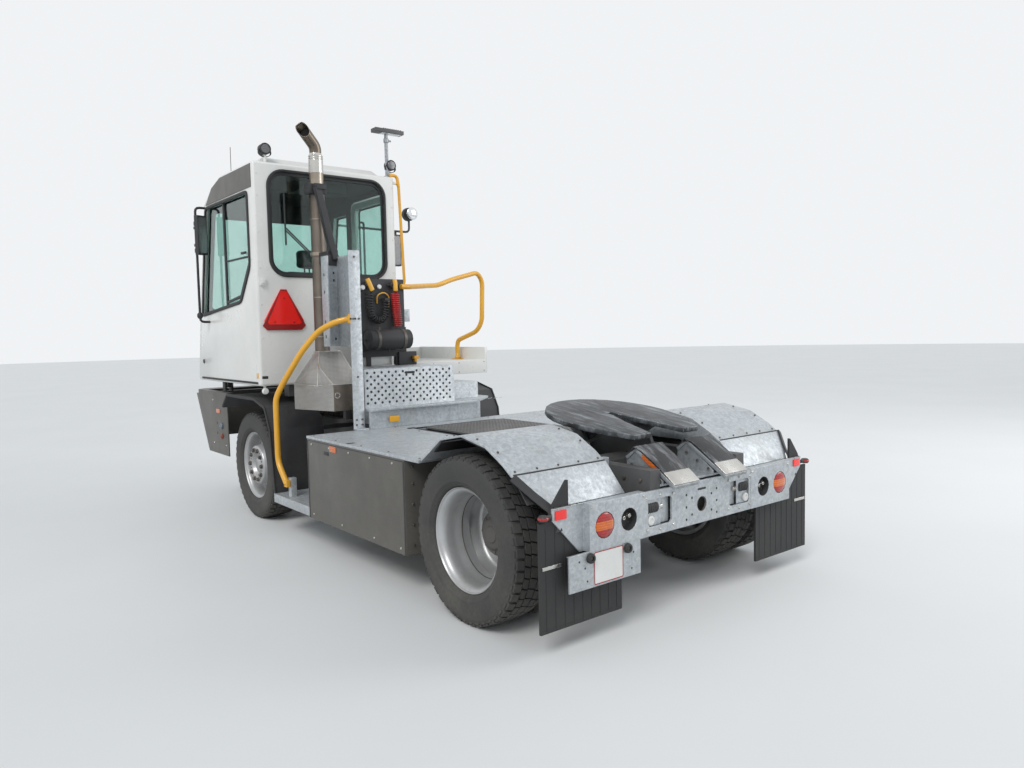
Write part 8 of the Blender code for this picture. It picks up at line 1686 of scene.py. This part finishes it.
def exhaust():
    """Stack in its perforated shield, ribbed ring, bright collar and sooty elbow with a slanted mouth."""
    at = Vector((STACK_X, STACK_Y, 0))
    pipe_bm = lathe(bmesh.new(), at, (0, 0, 1), [(0, 1.052), (STACK_R, 1.052), (STACK_R, 2.88),
                                                 (STACK_R - 0.004, 2.884), (STACK_R - 0.004, 3.03),
                                                 (0, 3.03)], 48)
    made = piece("exhaust_stack_shape", pipe_bm, "chassis", SHIELD, 40)
    made.data.materials.append(STAINLESS)
    for f in made.data.polygons:
        if f.center.z > 2.8:
            f.material_index = 1
    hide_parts("exhaust_stack")
    collar = lathe(bmesh.new(), at, (0, 0, 1), [(0.04, 2.98), (0.0605, 2.98), (0.0605, 3.086),
                                                (0.057, 3.09), (0.057, 3.096), (0.0605, 3.099),
                                                (0.0605, 3.106), (0.057, 3.109), (0.057, 3.114),
                                                (0.0605, 3.117), (0.0605, 3.124), (0.056, 3.128),
                                                (0.05, 3.145), (0.04, 3.145)], 48, closed=True)
    piece("exhaust_collar", collar, "chassis", BRIGHT_STEEL, 40)
    elbow = pipe(bmesh.new(), rounded_route([at + Vector((0, 0, 3.12)), at + Vector((0, 0, 3.2)),
                                             Vector((0.9, -2.603, 3.344))], 0.11, 12), 0.049, 36)
    cut = bmesh.ops.bisect_plane(elbow, geom=elbow.verts[:] + elbow.edges[:] + elbow.faces[:],
                                 plane_co=MOUTH, plane_no=MOUTH_FACE, clear_outer=True)
    rim = bmesh.ops.contextual_create(elbow, geom=[e
                                                   for e in cut["geom_cut"] if isinstance(e,
            bmesh.types.BMEdge)])["faces"]
    bmesh.ops.inset_region(elbow, faces=rim, thickness=0.0035)
    walls = bmesh.ops.inset_region(elbow, faces=rim, thickness=0.0008, depth=-0.05)["faces"]
    for f in [*rim, *walls]:
        f.material_index = 1
    made = piece("exhaust_elbow", elbow, "chassis", SOOTY_TUBE, 40)
    made.data.materials.append(SOOT)
    bands = bmesh.new()
    for z in (1.32, 1.62, 1.95, 2.31, 2.6, 2.85):
        half = 0.014 if z in (2.31, 2.85) else 0.004
        r = 0.0715 if half > 0.01 else 0.0645
        lathe(bands, at, (0, 0, 1), [(0.06, z - half), (r, z - half), (r, z + half), (0.06, z + half)], 48,
              closed=True)
    piece("stack_bands", bands, "chassis", STAINLESS, 40)
    hold = slab(bmesh.new(), (STACK_X - 0.045, STACK_Y + 0.066, 2.8),
                (STACK_X + 0.06, STACK_Y + 0.1, 2.885), 0.006)
    slab(hold, (STACK_X + 0.052, STACK_Y - 0.02, 2.8), (STACK_X + 0.104, STACK_Y + 0.07, 2.885), 0.008)
    slab(hold, (0.69, STACK_Y + 0.05, 2.288), (0.725, -2.42, 2.33), 0.004)
    swept(hold, [(0.785, -2.578, 2.85), (0.765, -2.545, 2.72), (0.74, -2.49, 2.45), (0.722, -2.43, 2.265)],
          tube_section(0.032, 0.009, 0.004, 2), (0, 0.9, 0.3))
    slab(hold, (0.69, -2.45, 2.2), (0.79, -2.405, 2.285), 0.005)
    piece("stack_stay", hold, "chassis", BLACK_PLASTIC)


def guard():
    """Perforated heat guard round the foot of the stack with bright folded edges and a round cap."""
    softened("exhaust_guard", "chassis", GUARD_MESH, 0.002, zones=[
        (SHIELD, (0.6, -2.7, 1.0), (1.1, -2.1, GUARD_BELT + 0.004))])
    belt = [(GUARD_RIGHT, GUARD_REAR), (GUARD_LEFT, GUARD_REAR), (GUARD_LEFT, GUARD_FRONT)]
    edges = bmesh.new()
    flat = tube_section(0.0045, 0.0035, 0.0015, 1)
    swept(edges, [(x, y, GUARD_BELT) for x, y in belt], flat, (0, 0, 1))
    for low, high in (((GUARD_LEFT, GUARD_REAR), (0.89, -2.42)), ((GUARD_RIGHT, GUARD_REAR), (0.7, -2.42)),
                      ((GUARD_LEFT, GUARD_FRONT), (0.89, -2.5))):
        swept(edges, [(*low, GUARD_BELT), (*high, GUARD_TOP)], flat, (0.3, 0.3, 1))
    swept(edges, [(0.7, -2.42, GUARD_TOP), (0.89, -2.42, GUARD_TOP), (0.89, -2.5, GUARD_TOP)], flat,
          (0, 0, 1))
    piece("guard_folded_edges", edges, "chassis", BRIGHT_STEEL)
    ring = lathe(bmesh.new(), (0.978 - 0.1, GUARD_REAR - 0.001, 1.155), (0, 1, 0),
                 [(0.017, 0), (0.024, 0), (0.024, 0.003), (0.017, 0.003)], 28, closed=True)
    piece("guard_round_cap", ring, "chassis", BRIGHT_STEEL)


def column():
    """Post and channel: softened folds, slots drawn as thin black patches for their painted shade, bolts."""
    softened("stack_column", "chassis", ZINC, 0.0015,
             zones=[(BLACK_PLASTIC, (0.69, -2.67, 2.15), (0.86, -2.3, 2.9))])
    # thin black patches for the slots: painted shade of the openings
    dark = bmesh.new()
    for z in (1.62, 1.74, 1.98, 2.12):
        slab(dark, (0.8402, -2.39, z - 0.012), (0.8412, -2.375, z + 0.012), 0.0004)
    for z in (2.14, 2.08, 1.6):
        slab(dark, (0.73, -2.4205, z - 0.01), (0.744, -2.4188, z + 0.01), 0.0004)
    piece("column_slot_shades", dark, "chassis", BLACK_PLASTIC)
    face = -2.038
    spots = [((x, face, z), (0, 1, 0)) for x in (0.722, 0.772)
             for z in (1.757, 0.96, 0.92)] + [((0.747, face, z), (0, 1, 0)) for z in (2.24, 1.3)]
    fittings("column_bolts", spots, "chassis", DARK_STEEL, 0.009, 0.008, 0.007, 6)


def hose_board():
    """Black board with air tank, straps, palm couplings with yellow handles, and boxes beside the tank."""
    softened("hose_board", "chassis", BLACK_PLASTIC, 0.0018)
    straps = bmesh.new()
    for x in (0.09, 0.345):
        lathe(straps, (x, -2.46, 1.585), (1, 0, 0),
              [(0.083, -0.013), (0.088, -0.013), (0.088, 0.013), (0.083, 0.013)], 40, closed=True)
        drum(straps, (x, -2.39, 1.66), (x, -2.39, 1.69), 0.006, 0.001, 8)
    piece("tank_straps", straps, "chassis", DARK_STEEL)
    ends = bmesh.new()
    for x, way in ((0.02, -1), (0.42, 1)):
        lathe(ends, (x, -2.46, 1.585), (way, 0, 0),
              [(0, 0.0185), (0.03, 0.017), (0.06, 0.011), (0.078, 0.002), (0.085, -0.008), (0.085, -0.012),
               (0, -0.012)], 36)
        drum(ends, (x + way * 0.015, -2.46, 1.585), (x + way * 0.026, -2.46, 1.585), 0.013, 0.002, 6)
    drum(ends, (0.22, -2.46, 1.502), (0.22, -2.46, 1.482), 0.012, 0.002, 6)
    piece("tank_ends", ends, "chassis", BLACK_PLASTIC)
    for x, word, look in ((0.35, "black", YELLOW), (0.1, "red", YELLOW)):
        at = Vector((x, -2.54, 2.06))
        body_bm = lathe(bmesh.new(), at + Vector((0, -0.03, 0)), (0, 1, 0),
                        [(0, 0), (0.03, 0), (0.034, 0.006), (0.034, 0.02), (0.03, 0.028), (0.02, 0.034),
                         (0, 0.036)], 28)
        drum(body_bm, at + Vector((0, 0, -0.02)), at + Vector((0, 0, -0.045)), 0.014, 0.002, 6)
        drum(body_bm, at + Vector((0.03, -0.03, 0)), at + Vector((0.055, -0.03, 0)), 0.009, 0.002, 12)
        piece(f"coupling_body_{word}", body_bm, "chassis", BLACK_PLASTIC)
        lean = 0.022 if word == "black" else 0.002
        lever = swept(bmesh.new(), [at + Vector((lean, 0.012, 0.05)),
                                    at + Vector((lean * 0.4, 0.02, 0.015)),
                                    at + Vector((-lean, 0.018, -0.05))],
                      tube_section(0.02, 0.009, 0.005, 2), (0, 1, 0))
        piece(f"coupling_handle_{word}", lever, "chassis", look)
    knob = lathe(bmesh.new(), (0.405, -2.565, 2.035), (0, 1, 0),
                 [(0, 0), (0.02, 0), (0.022, 0.01), (0.018, 0.026), (0, 0.028)], 24)
    lathe(knob, (0.235, -2.575, 2.045), (0, 1, 0), [(0, 0), (0.019, 0), (0.021, 0.008), (0.017, 0.02),
                                                    (0, 0.022)], 24)
    piece("board_white_knobs", knob, "chassis", WHITE_PLASTIC)
    clips = slab(bmesh.new(), (0.17, -2.58, 1.92), (0.215, -2.505, 1.945), 0.004)
    for z in (1.66, 1.49):
        slab(clips, (-0.015, -2.5795, z - 0.004), (0.425, -2.57, z + 0.004), 0.002)
    piece("board_clips", clips, "chassis", BLACK_PLASTIC)
    line = pipe(bmesh.new(), rounded_route([(0.26, -2.57, 1.9), (0.27, -2.555, 1.97), (0.2, -2.55, 2.0),
                                            (0.14, -2.56, 1.96), (0.15, -2.57, 1.86)], 0.04), 0.006, 8)
    piece("board_electric_lead", line, "chassis", YELLOW)
    box = slab(bmesh.new(), (0.095, -2.76, 1.355), (0.43, -2.63, 1.475), 0.006)
    piece("white_box_under_tank", box, "chassis", CAB_WHITE)
    side_box = slab(bmesh.new(), (-0.1, -2.72, 1.74), (-0.005, -2.62, 1.852), 0.006)
    slab(side_box, (-0.02, -2.66, 1.77), (0.02, -2.61, 1.82), 0.003)
    piece("grey_box_beside_board", side_box, "chassis", ZINC)
    dark_box = slab(bmesh.new(), (-0.125, -2.66, 1.3525), (0.06, -2.56, 1.47), 0.008)
    drum(dark_box, (-0.02, -2.6, 1.47), (-0.02, -2.6, 1.5), 0.02, 0.004, 16)
    piece("black_valve_box", dark_box, "chassis", BLACK_PLASTIC)
    handle = slab(bmesh.new(), (-0.125, -2.56, 1.4), (-0.075, -2.52, 1.43), 0.006)
    slab(handle, (-0.11, -2.57, 1.375), (-0.09, -2.535, 1.405), 0.003)
    piece("valve_yellow_handle", handle, "chassis", YELLOW)


exhaust()
guard()
column()
hose_board()


# Front end and chassis
BUMPER_LOW, BUMPER_HIGH, BUMPER_HALF = 0.5, 1.105, 1.155
BUMPER_LOW_Y, BUMPER_HIGH_Y = -4.47, -4.83
COUPLING_Y, COUPLING_Z, PLUG_Z = -4.06, 0.78, 0.68
SLOT_HALF = 0.42
SPRING_X, SPRING_HALF, SPRING_LEAVES, SPRING_TOP = 0.39, 0.5, 5, 0.563
CHAMBER_X, CHAMBER_Y, CHAMBER_Z = 0.3, 0.17, 0.53
TANK_X, TANK_Z, TANK_R = 0.24, 0.42, 0.11
BUMPER_OUT = Vector((0, BUMPER_LOW - BUMPER_HIGH, BUMPER_HIGH_Y - BUMPER_LOW_Y)).normalized()


def bumper_face(x, z):
    """Point of the bumper's raked front at x and height z."""
    down = (BUMPER_HIGH - z) / (BUMPER_HIGH - BUMPER_LOW)
    return (x, BUMPER_HIGH_Y + (BUMPER_LOW_Y - BUMPER_HIGH_Y) * down, z)


def front_end():
    """Bumper with grille slots as black strips and side holes as black discs, both painted shade, side
    markers and fittings; softened wings with their edge rubber.
    """
    softened("front_bumper", "chassis", PANEL_GREY, 0.004)
    # flat black strips for the grille slots: painted shade of the slots
    slots = bmesh.new()
    for z in (0.72, 0.78, 0.84, 0.9):
        at = bumper_face(0, z)
        swept(slots, [(x, at[1], at[2]) for x in (-SLOT_HALF, 0, SLOT_HALF)],
              tube_section(0.012, 0.002, 0.001, 1), BUMPER_OUT)
    piece("bumper_slot_shades", slots, "chassis", BLACK_PLASTIC)
    for side, word in SIDES:
        softened(f"front_wing_{word}", "chassis", BLACK_PLASTIC, 0.002)
        x = side * BUMPER_HALF
        near, far = sorted((x + side * 0.0003, x + side * 0.005))
        piece(f"bumper_side_marker_{word}", slab(bmesh.new(), (near, -4.2, 0.9), (far, -4.1, 0.94), 0.0015),
              "chassis", AMBER_LENS)
        blue = drum(bmesh.new(), (x, COUPLING_Y, COUPLING_Z), (x + side * 0.016, COUPLING_Y, COUPLING_Z),
                    0.028, 0.003, 20)
        drum(blue, (x + side * 0.014, COUPLING_Y, COUPLING_Z), (x + side * 0.022, COUPLING_Y, COUPLING_Z),
             0.016, 0.002, 6)
        piece(f"bumper_side_coupling_{word}", blue, "chassis", BLUE_GREY)
        rusty = drum(bmesh.new(), (x, COUPLING_Y, PLUG_Z), (x + side * 0.014, COUPLING_Y, PLUG_Z), 0.024,
                     0.003, 20)
        drum(rusty, (x + side * 0.012, COUPLING_Y, PLUG_Z), (x + side * 0.02, COUPLING_Y, PLUG_Z), 0.013,
             0.002, 6)
        piece(f"bumper_side_plug_{word}", rusty, "chassis", RED_FITTING)
        # flat black discs for the side holes: painted shade of the holes
        spots = [((x, y, z), (side, 0, 0)) for y, z in ((-4.2, 0.8), (-4.2, 0.7))]
        fittings(f"bumper_side_holes_{word}", spots, "chassis", BLACK_PLASTIC, 0.014,
                 0.014, 0.0008, 18)
        spots = [((x, y, z), (side, 0, 0)) for y in (-4.3, -3.96) for z in (0.6, 1.02)]
        fittings(f"bumper_side_screws_{word}", spots, "chassis", BRIGHT_STEEL, 0.009, 0.007,
                 0.005, 10)
    bolts = [(bumper_face(s * a, z), BUMPER_OUT) for s in (-1, 1) for a in (0.5, 1.0) for z in (0.66, 1.02)]
    fittings("bumper_bolts", bolts, "chassis", BRIGHT_STEEL, 0.011, 0.009, 0.007, 6)
    line = [(-3.89, 0.985), (-3.76, 1.1), (-3.1, 1.1), (-2.86, 1.04), (-2.76, 0.86), (-2.69, 0.3)]
    for side, word in SIDES:
        edge = swept(bmesh.new(), [(side * 1.198, y, z) for y, z in line],
                     tube_section(0.006, 0.011, 0.004, 2), (0, 0.3, 1))
        piece(f"wing_edge_{word}", edge, "chassis", RUBBER)


def springs():
    """Leaf packs with their clips, dampers, brake chambers, drive shaft and air tanks under the frame."""
    for side, word in SIDES:
        pack = bmesh.new()
        for i in range(SPRING_LEAVES):
            half = SPRING_HALF - i * 0.085
            route = [(side * SPRING_X, FRONT_AXLE_Y + half * t,
                      SPRING_TOP - i * 0.0125 + 0.022 * (t * half / SPRING_HALF) ** 2)
                     for t in (-1, -0.66, -0.33, 0, 0.33, 0.66, 1)]
            swept(pack, route, tube_section(0.037, 0.0055, 0.002, 1), (0, 0, 1))
        for y in (-0.3, -0.06, 0.06, 0.3):
            slab(pack, (side * SPRING_X - 0.043, FRONT_AXLE_Y + y - 0.011, 0.5),
                 (side * SPRING_X + 0.043, FRONT_AXLE_Y + y + 0.011, 0.576), 0.003)
        piece(f"leaf_pack_{word}", pack, "chassis", CASTING)
        chamber = lathe(bmesh.new(), (side * CHAMBER_X, CHAMBER_Y, CHAMBER_Z), (0, 1, 0),
                        [(0, 0.0), (0.062, 0.0), (0.075, 0.02), (0.078, 0.05), (0.086, 0.056),
                         (0.086, 0.066), (0.078, 0.072), (0.076, 0.12), (0.06, 0.14), (0, 0.143)], 32)
        drum(chamber, (side * CHAMBER_X, 0.08, CHAMBER_Z), (side * CHAMBER_X, 0.172, CHAMBER_Z), 0.016,
             0.002, 12)
        piece(f"brake_chamber_{word}", chamber, "chassis", DARK_STEEL)
        shock = drum(bmesh.new(), (side * 0.47, -3.62, 0.52), (side * 0.46, -3.72, 0.86), 0.026, 0.004, 20)
        drum(shock, (side * 0.461, -3.71, 0.82), (side * 0.4575, -3.745, 0.95), 0.014, 0.002, 14)
        piece(f"front_shock_absorber_{word}", shock, "chassis", BLACK_PLASTIC)
    shaft = drum(bmesh.new(), (0, -2.08, 0.72), (0, -0.4, 0.5), 0.045, 0.004, 24)
    for at in ((0, -2.0, 0.7095), (0, -0.46, 0.508)):
        drum(shaft, Vector(at) + Vector((0, -0.03, 0.004)), Vector(at) + Vector((0, 0.03, -0.004)), 0.062,
             0.006, 24)
    piece("drive_shaft", shaft, "chassis", CASTING)
    tank = bmesh.new()
    for x in (-TANK_X, TANK_X):
        drum(tank, (x, -1.95, TANK_Z), (x, -1.25, TANK_Z), TANK_R, 0.03, 32)
    piece("under_air_tanks", tank, "chassis", BLACK_PLASTIC)
    straps = bmesh.new()
    for x in (-TANK_X, TANK_X):
        for y in (-1.8, -1.4):
            band = [(0.108, -0.012), (0.113, -0.012), (0.113, 0.012), (0.108, 0.012)]
            lathe(straps, (x, y, TANK_Z), (0, 1, 0), band, 32, closed=True)
            at = 0.1 if x > 0 else -0.1
            slab(straps, (x - 0.012 + at, y - 0.02, TANK_Z), (x + 0.012 + at, y + 0.02, 0.62), 0.002)
    piece("under_tank_straps", straps, "chassis", DARK_STEEL)


def frame_rails():
    """Rails, boom, plate, engine and axles softened, with rail bolts, pipes and the engine's ribs."""
    softened("chassis_frame", "chassis", FRAME_GREY, 0.003)
    softened("boom", "boom", FRAME_GREY, 0.003)
    softened("coupling_plate", "coupling_plate", PLATE_STEEL, 0.004)
    softened("engine", "chassis", CASTING, 0.012)
    softened("front_axle", "chassis", CASTING, 0.006)
    softened("rear_axle", "chassis", CASTING, 0.006)
    spots = [((s * 0.4305, y, z), (s, 0, 0)) for s in (-1, 1)
             for y in (0.62, 0.5, -0.55, -2.3, -2.7, -4.2, -4.35) for z in (0.66, 0.8)]
    fittings("rail_bolts", spots, "chassis", DARK_STEEL, 0.013, 0.011, 0.01, 6)
    runs = bmesh.new()
    for s in (-1, 1):
        for z in (0.7, 0.722, 0.744):
            pipe(runs, rounded_route([(s * 0.342, 0.55, z), (s * 0.342, -0.5, z),
                                      (s * 0.338, -2.0, z + 0.01)], 0.1), 0.0065, 8)
    piece("rail_pipes", runs, "chassis", HOSE_BLACK)
    ribs = bmesh.new()
    for i in range(9):
        y = -3.95 + i * 0.11
        slab(ribs, (-0.316, y - 0.012, 0.66), (-0.3095, y + 0.012, 1.05), 0.002)
        slab(ribs, (0.3095, y - 0.012, 0.66), (0.316, y + 0.012, 1.05), 0.002)
        slab(ribs, (-0.2, y - 0.01, 1.129), (0.2, y + 0.01, 1.14), 0.002)
    piece("engine_ribs", ribs, "chassis", DARK_STEEL)


front_end()
springs()
frame_rails()


# Cab inside and mirrors
FLOOR_Z, SEAT_TOP, SEAT_X, SEAT_Y, SEAT_W, SEAT_D = 1.2603, 1.72, 0.62, -3.3, 0.5, 0.48
DASH_TOP = 1.81
PAD_VOXEL, PAD_PRESSURE, PAD_FRAMES, PAD_FILL = 0.012, 4.0, 20, 0.6
WHEEL_AT, WHEEL_TILT, WHEEL_R, WHEEL_TUBE = Vector((0.62, -3.83, 2.02)), radians(35), 0.21, 0.016


def evaluated(made):
    """Plain mesh of an object with its modifiers applied; the modifiers are then cleared."""
    mesh = bpy.data.meshes.new_from_object(made.evaluated_get(bpy.context.evaluated_depsgraph_get()))
    made.modifiers.clear()
    return mesh


def pad(name, low, high, soft, cap):
    """A stuffed pad: a rounded block, swollen as cloth in full runs, each point moved by no more than cap."""
    low, high = Vector(low), Vector(high)
    bm = slab(bmesh.new(), low, high, soft, steps=3)
    bmesh.ops.translate(bm, verts=bm.verts, vec=ORIGIN)
    mesh = bpy.data.meshes.new(name)
    bm.to_mesh(mesh)
    bm.free()
    made = bpy.data.objects.new(name, mesh)
    scene.collection.objects.link(made)
    remesh = made.modifiers.new("even", "REMESH")
    remesh.mode = "VOXEL"
    remesh.voxel_size = PAD_VOXEL
    bpy.context.view_layer.update()
    even = evaluated(made)
    made.data = even
    start = [v.co.copy() for v in even.vertices]
    swell = made.modifiers.new("swell", "CLOTH")
    swell.settings.use_pressure = True
    swell.settings.uniform_pressure_force = PAD_PRESSURE
    swell.settings.effector_weights.gravity = 0
    for i in range(1, PAD_FRAMES + 1):
        scene.frame_set(i)
    swollen = evaluated(made)
    scene.frame_set(1)
    for v, p in zip(swollen.vertices, start):
        move = v.co - p
        v.co = p + move * min(1, cap / max(move.length, 1e-9))
    made.data = swollen
    smooth = made.modifiers.new("smooth", "SUBSURF")
    smooth.levels = smooth.render_levels = 1
    bpy.context.view_layer.update()
    final = evaluated(made)
    made.data = final
    final.name = name
    final.materials.clear()
    final.materials.append(SEAT_CLOTH)
    final.shade_smooth()
    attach(made, "cab")
    return made


def seat():
    """Driver's seat: padded cushion, back and head rest on a bellows base, with arm rests."""
    left, right = SEAT_X - SEAT_W / 2 + 0.012, SEAT_X + SEAT_W / 2 - 0.012
    front, back = SEAT_Y - SEAT_D / 2 + 0.012, SEAT_Y + SEAT_D / 2
    pad("seat_cushion", (left, front, 1.61), (right, back - 0.13, SEAT_TOP - 0.012), 0.035, 0.012)
    pad("seat_back", (left, SEAT_Y + 0.13, 1.68), (right, back - 0.012, 2.208), 0.04, 0.012)
    pad("seat_head_rest", (SEAT_X - 0.12, SEAT_Y + 0.135, 2.232), (SEAT_X + 0.12, back - 0.016, 2.388),
        0.035, 0.01)
    base = slab(bmesh.new(), (SEAT_X - 0.16, SEAT_Y - 0.16, FLOOR_Z), (SEAT_X + 0.16, SEAT_Y + 0.16, 1.3),
                0.01)
    slab(base, (SEAT_X - 0.165, SEAT_Y - 0.17, 1.545), (SEAT_X + 0.165, SEAT_Y + 0.17, 1.598), 0.01)
    for i in range(7):
        z = 1.315 + i * 0.032
        slab(base, (SEAT_X - 0.13 - 0.012 * (i % 2), SEAT_Y - 0.14, z),
             (SEAT_X + 0.13 + 0.012 * (i % 2), SEAT_Y + 0.14, z + 0.028), 0.011)
    for x in (-0.055, 0.055):
        drum(base, (SEAT_X + x, SEAT_Y + 0.18, 2.15), (SEAT_X + x, SEAT_Y + 0.18, 2.28), 0.007, 0.001, 10)
    for s in (-1, 1):
        pipe(base, rounded_route([(SEAT_X + s * 0.235, SEAT_Y + 0.15, 1.9),
                                  (SEAT_X + s * 0.245, SEAT_Y + 0.1, 1.905),
                                  (SEAT_X + s * 0.245, SEAT_Y - 0.14, 1.915)], 0.03), 0.017, 12)
    made = piece("seat_base_bellows", base, "cab", BLACK_PLASTIC)
    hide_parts("seat")
    seams = bmesh.new()
    for s in (-1, 1):
        pipe(seams, [(SEAT_X + s * 0.12, SEAT_Y + 0.1285, z) for z in (1.78, 1.9, 2.05, 2.16)], 0.004, 6)
    for z in (1.8, 1.93, 2.06):
        pipe(seams, [(SEAT_X + x, SEAT_Y + 0.1285, z) for x in (-0.12, 0, 0.12)], 0.003, 6)
    piece("seat_piping", seams, "cab", SEAT_CLOTH)


def steering():
    """Steering wheel with four spokes and a hub cap."""
    aim = Vector((0, sin(WHEEL_TILT), cos(WHEEL_TILT)))
    up = Vector((1, 0, 0)).cross(aim)
    wide = Vector((1, 0, 0))
    ring = pipe(bmesh.new(), [WHEEL_AT + (wide * cos(a) + up * sin(a)) * WHEEL_R
                              for a in (2 * pi * i / 64 for i in range(64))], WHEEL_TUBE, 16, closed=True)
    for deg in (20, 160, 235, 305):
        way = wide * cos(radians(deg)) + up * sin(radians(deg))
        swept(ring, [WHEEL_AT + way * 0.04 - aim * 0.012, WHEEL_AT + way * 0.12 - aim * 0.006,
                     WHEEL_AT + way * (WHEEL_R - 0.01)], tube_section(0.016, 0.006, 0.003, 2), aim)
    lathe(ring, WHEEL_AT - aim * 0.03, aim, [(0, 0), (0.03, 0), (0.05, 0.01), (0.056, 0.026), (0.05, 0.036),
                                             (0, 0.04)], 32)
    made = piece("steering_wheel_shape", ring, "steering_wheel", BLACK_PLASTIC, 50)
    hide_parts("steering_wheel")


def dash_details():
    """Dash with hood, dials, switches, stalks and pedals; side console, floor mat and head lining."""
    softened("dash", "cab", LINING, 0.006)
    top = DASH_TOP
    hood = slab(bmesh.new(), (0.4, -4.3, top), (0.84, -4.14, top + 0.1), 0.03)
    slab(hood, (0.0, -4.32, top), (0.26, -4.2, top + 0.2), 0.015)
    piece("dash_hood", hood, "cab", BLACK_PLASTIC)
    dials = bmesh.new()
    for x, z, r in ((0.5, top + 0.05, 0.036), (0.62, top + 0.05, 0.03), (0.74, top + 0.05, 0.036)):
        lathe(dials, (x, -4.1395, z), (0, 1, 0), [(0, 0), (r, 0), (r, 0.006), (r * 0.86, 0.008),
                                                  (r * 0.8, 0.003), (0, 0.003)], 28)
    slab(dials, (0.02, -4.199, top + 0.03), (0.24, -4.195, top + 0.18), 0.003)
    piece("dash_dials", dials, "cab", SMOKED_LENS)
    keys = bmesh.new()
    for i in range(8):
        x = 0.3 + i * 0.09
        slab(keys, (x, -4.1, top - 0.0005), (x + 0.045, -4.03, top + 0.012), 0.004)
    for s in (-1, 1):
        at = WHEEL_AT + Vector((s * 0.03, -0.03, -0.06))
        pipe(keys, rounded_route([at, at + Vector((s * 0.1, -0.01, 0.015)),
                                  at + Vector((s * 0.17, -0.015, 0.02))], 0.02), 0.009, 10)
    for x in (0.5, 0.72):
        slab(keys, (x - 0.035, -4.05, 1.3), (x + 0.035, -4.03, 1.42), 0.008)
        pipe(keys, [(x, -4.05, 1.36), (x, -4.2, 1.4)], 0.01, 8)
    piece("dash_switches_and_pedals", keys, "cab", BLACK_PLASTIC)
    console = slab(bmesh.new(), (0.95, -3.6, FLOOR_Z + 0.0005), (1.14, -3.1, 1.8), 0.02)
    slab(console, (0.98, -3.55, 1.8), (1.1, -3.35, 1.83), 0.01)
    pipe(console, [(1.02, -3.3, 1.79), (1.02, -3.31, 1.9)], 0.008, 10)
    drum(console, (1.02, -3.31, 1.89), (1.02, -3.315, 1.93), 0.017, 0.006, 16)
    slab(console, (0.0, -3.24, FLOOR_Z + 0.0005), (0.3, -2.95, 1.95), 0.025)
    piece("side_console", console, "cab", LINING)
    mat = slab(bmesh.new(), (-0.07, -3.95, FLOOR_Z), (0.93, -3.0, FLOOR_Z + 0.006), 0.002)
    piece("floor_mat", mat, "cab", RUBBER)
    visor = slab(bmesh.new(), (0.0, -4.0, 2.74), (1.08, -3.985, 2.95), 0.006)
    slab(visor, (-0.07, -3.62, 2.99), (1.155, -2.94, 3.025), 0.01)
    slab(visor, (0.3, -3.25, 2.9), (0.75, -3.0, 2.992), 0.02)
    piece("head_lining", visor, "cab", LINING)


def mirrors():
    """Mirror housings softened, with their faces in the dark smoked lens finish as a painted dark reflection,
    the round mirror's face and the left arm's clamps.
    """
    for word in ("left", "right"):
        softened(f"mirror_{word}", "cab", BLACK_PLASTIC, 0.006)
    at, turn = Vector((1.291, -3.99, 2.58)), radians(20)
    wide, out = Vector((cos(turn), sin(turn), 0)), Vector((-sin(turn), cos(turn), 0))
    # the two flat mirror faces take the dark smoked lens finish instead of a mirror: a painted dark
    # reflection
    glass_bm = cut_sheet(bmesh.new(), [(-a, b) for a,
                                       b in rounded_oblong(-0.042, -0.165, 0.042, 0.165, 0.02)], 0.002,
                         at + out * 0.0255, u=-wide)
    piece("mirror_face_left", glass_bm, "cab", SMOKED_LENS)
    glass_bm = cut_sheet(bmesh.new(), [(-a, b) for a,
                                       b in rounded_oblong(-0.95, 2.405, -0.87, 2.725, 0.02)], 0.002,
                         (0, -4.1695, 0), u=(-1, 0, 0))
    piece("mirror_face_right", glass_bm, "cab", SMOKED_LENS)
    dome = lathe(bmesh.new(), (-1.09, -4.12, 2.98), (0, 1, 0),
                 [(0, 0.0215), (0.03, 0.0195), (0.055, 0.013), (0.066, 0.0065), (0.07, 0.0), (0.0, 0.0)],
                 40)
    piece("round_mirror_face", dome, "cab", MIRROR_FACE)
    ball = lathe(bmesh.new(), (1.3, -4.1, 1.84), (0, 0, 1),
                 [(0, -0.03), (0.016, -0.027), (0.026, -0.012), (0.026, 0.012), (0.016, 0.027), (0, 0.03)],
                 24)
    for z in (2.45, 2.7):
        slab(ball, (1.285, -4.118, z - 0.02), (1.316, -4.05, z + 0.02), 0.006)
    piece("mirror_arm_clamps_left", ball, "cab", BLACK_PLASTIC)


seat()
steering()
dash_details()
mirrors()


# Finishes of the solids that stay as they are
DRESS = {
    ZINC: ("rear_plate",),
    CAB_WHITE: ("cab_door",),
    RUBBER: ("mudflap_left", "mudflap_right"),
    FRAME_GREY: ("lift_barrel_left", "lift_barrel_right"),
    CASTING: ("knuckle_left", "knuckle_right"),
    CHROME: ("lift_rod_left", "lift_rod_right"),
    GLASS: ("rear_pane", "side_pane", "quarter_pane", "windscreen", "door_pane"),
    RED_REFLECTOR: ("warning_triangle",),
}
for look, names in DRESS.items():
    for name in names:
        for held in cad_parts[name].material_slots:
            held.material = look
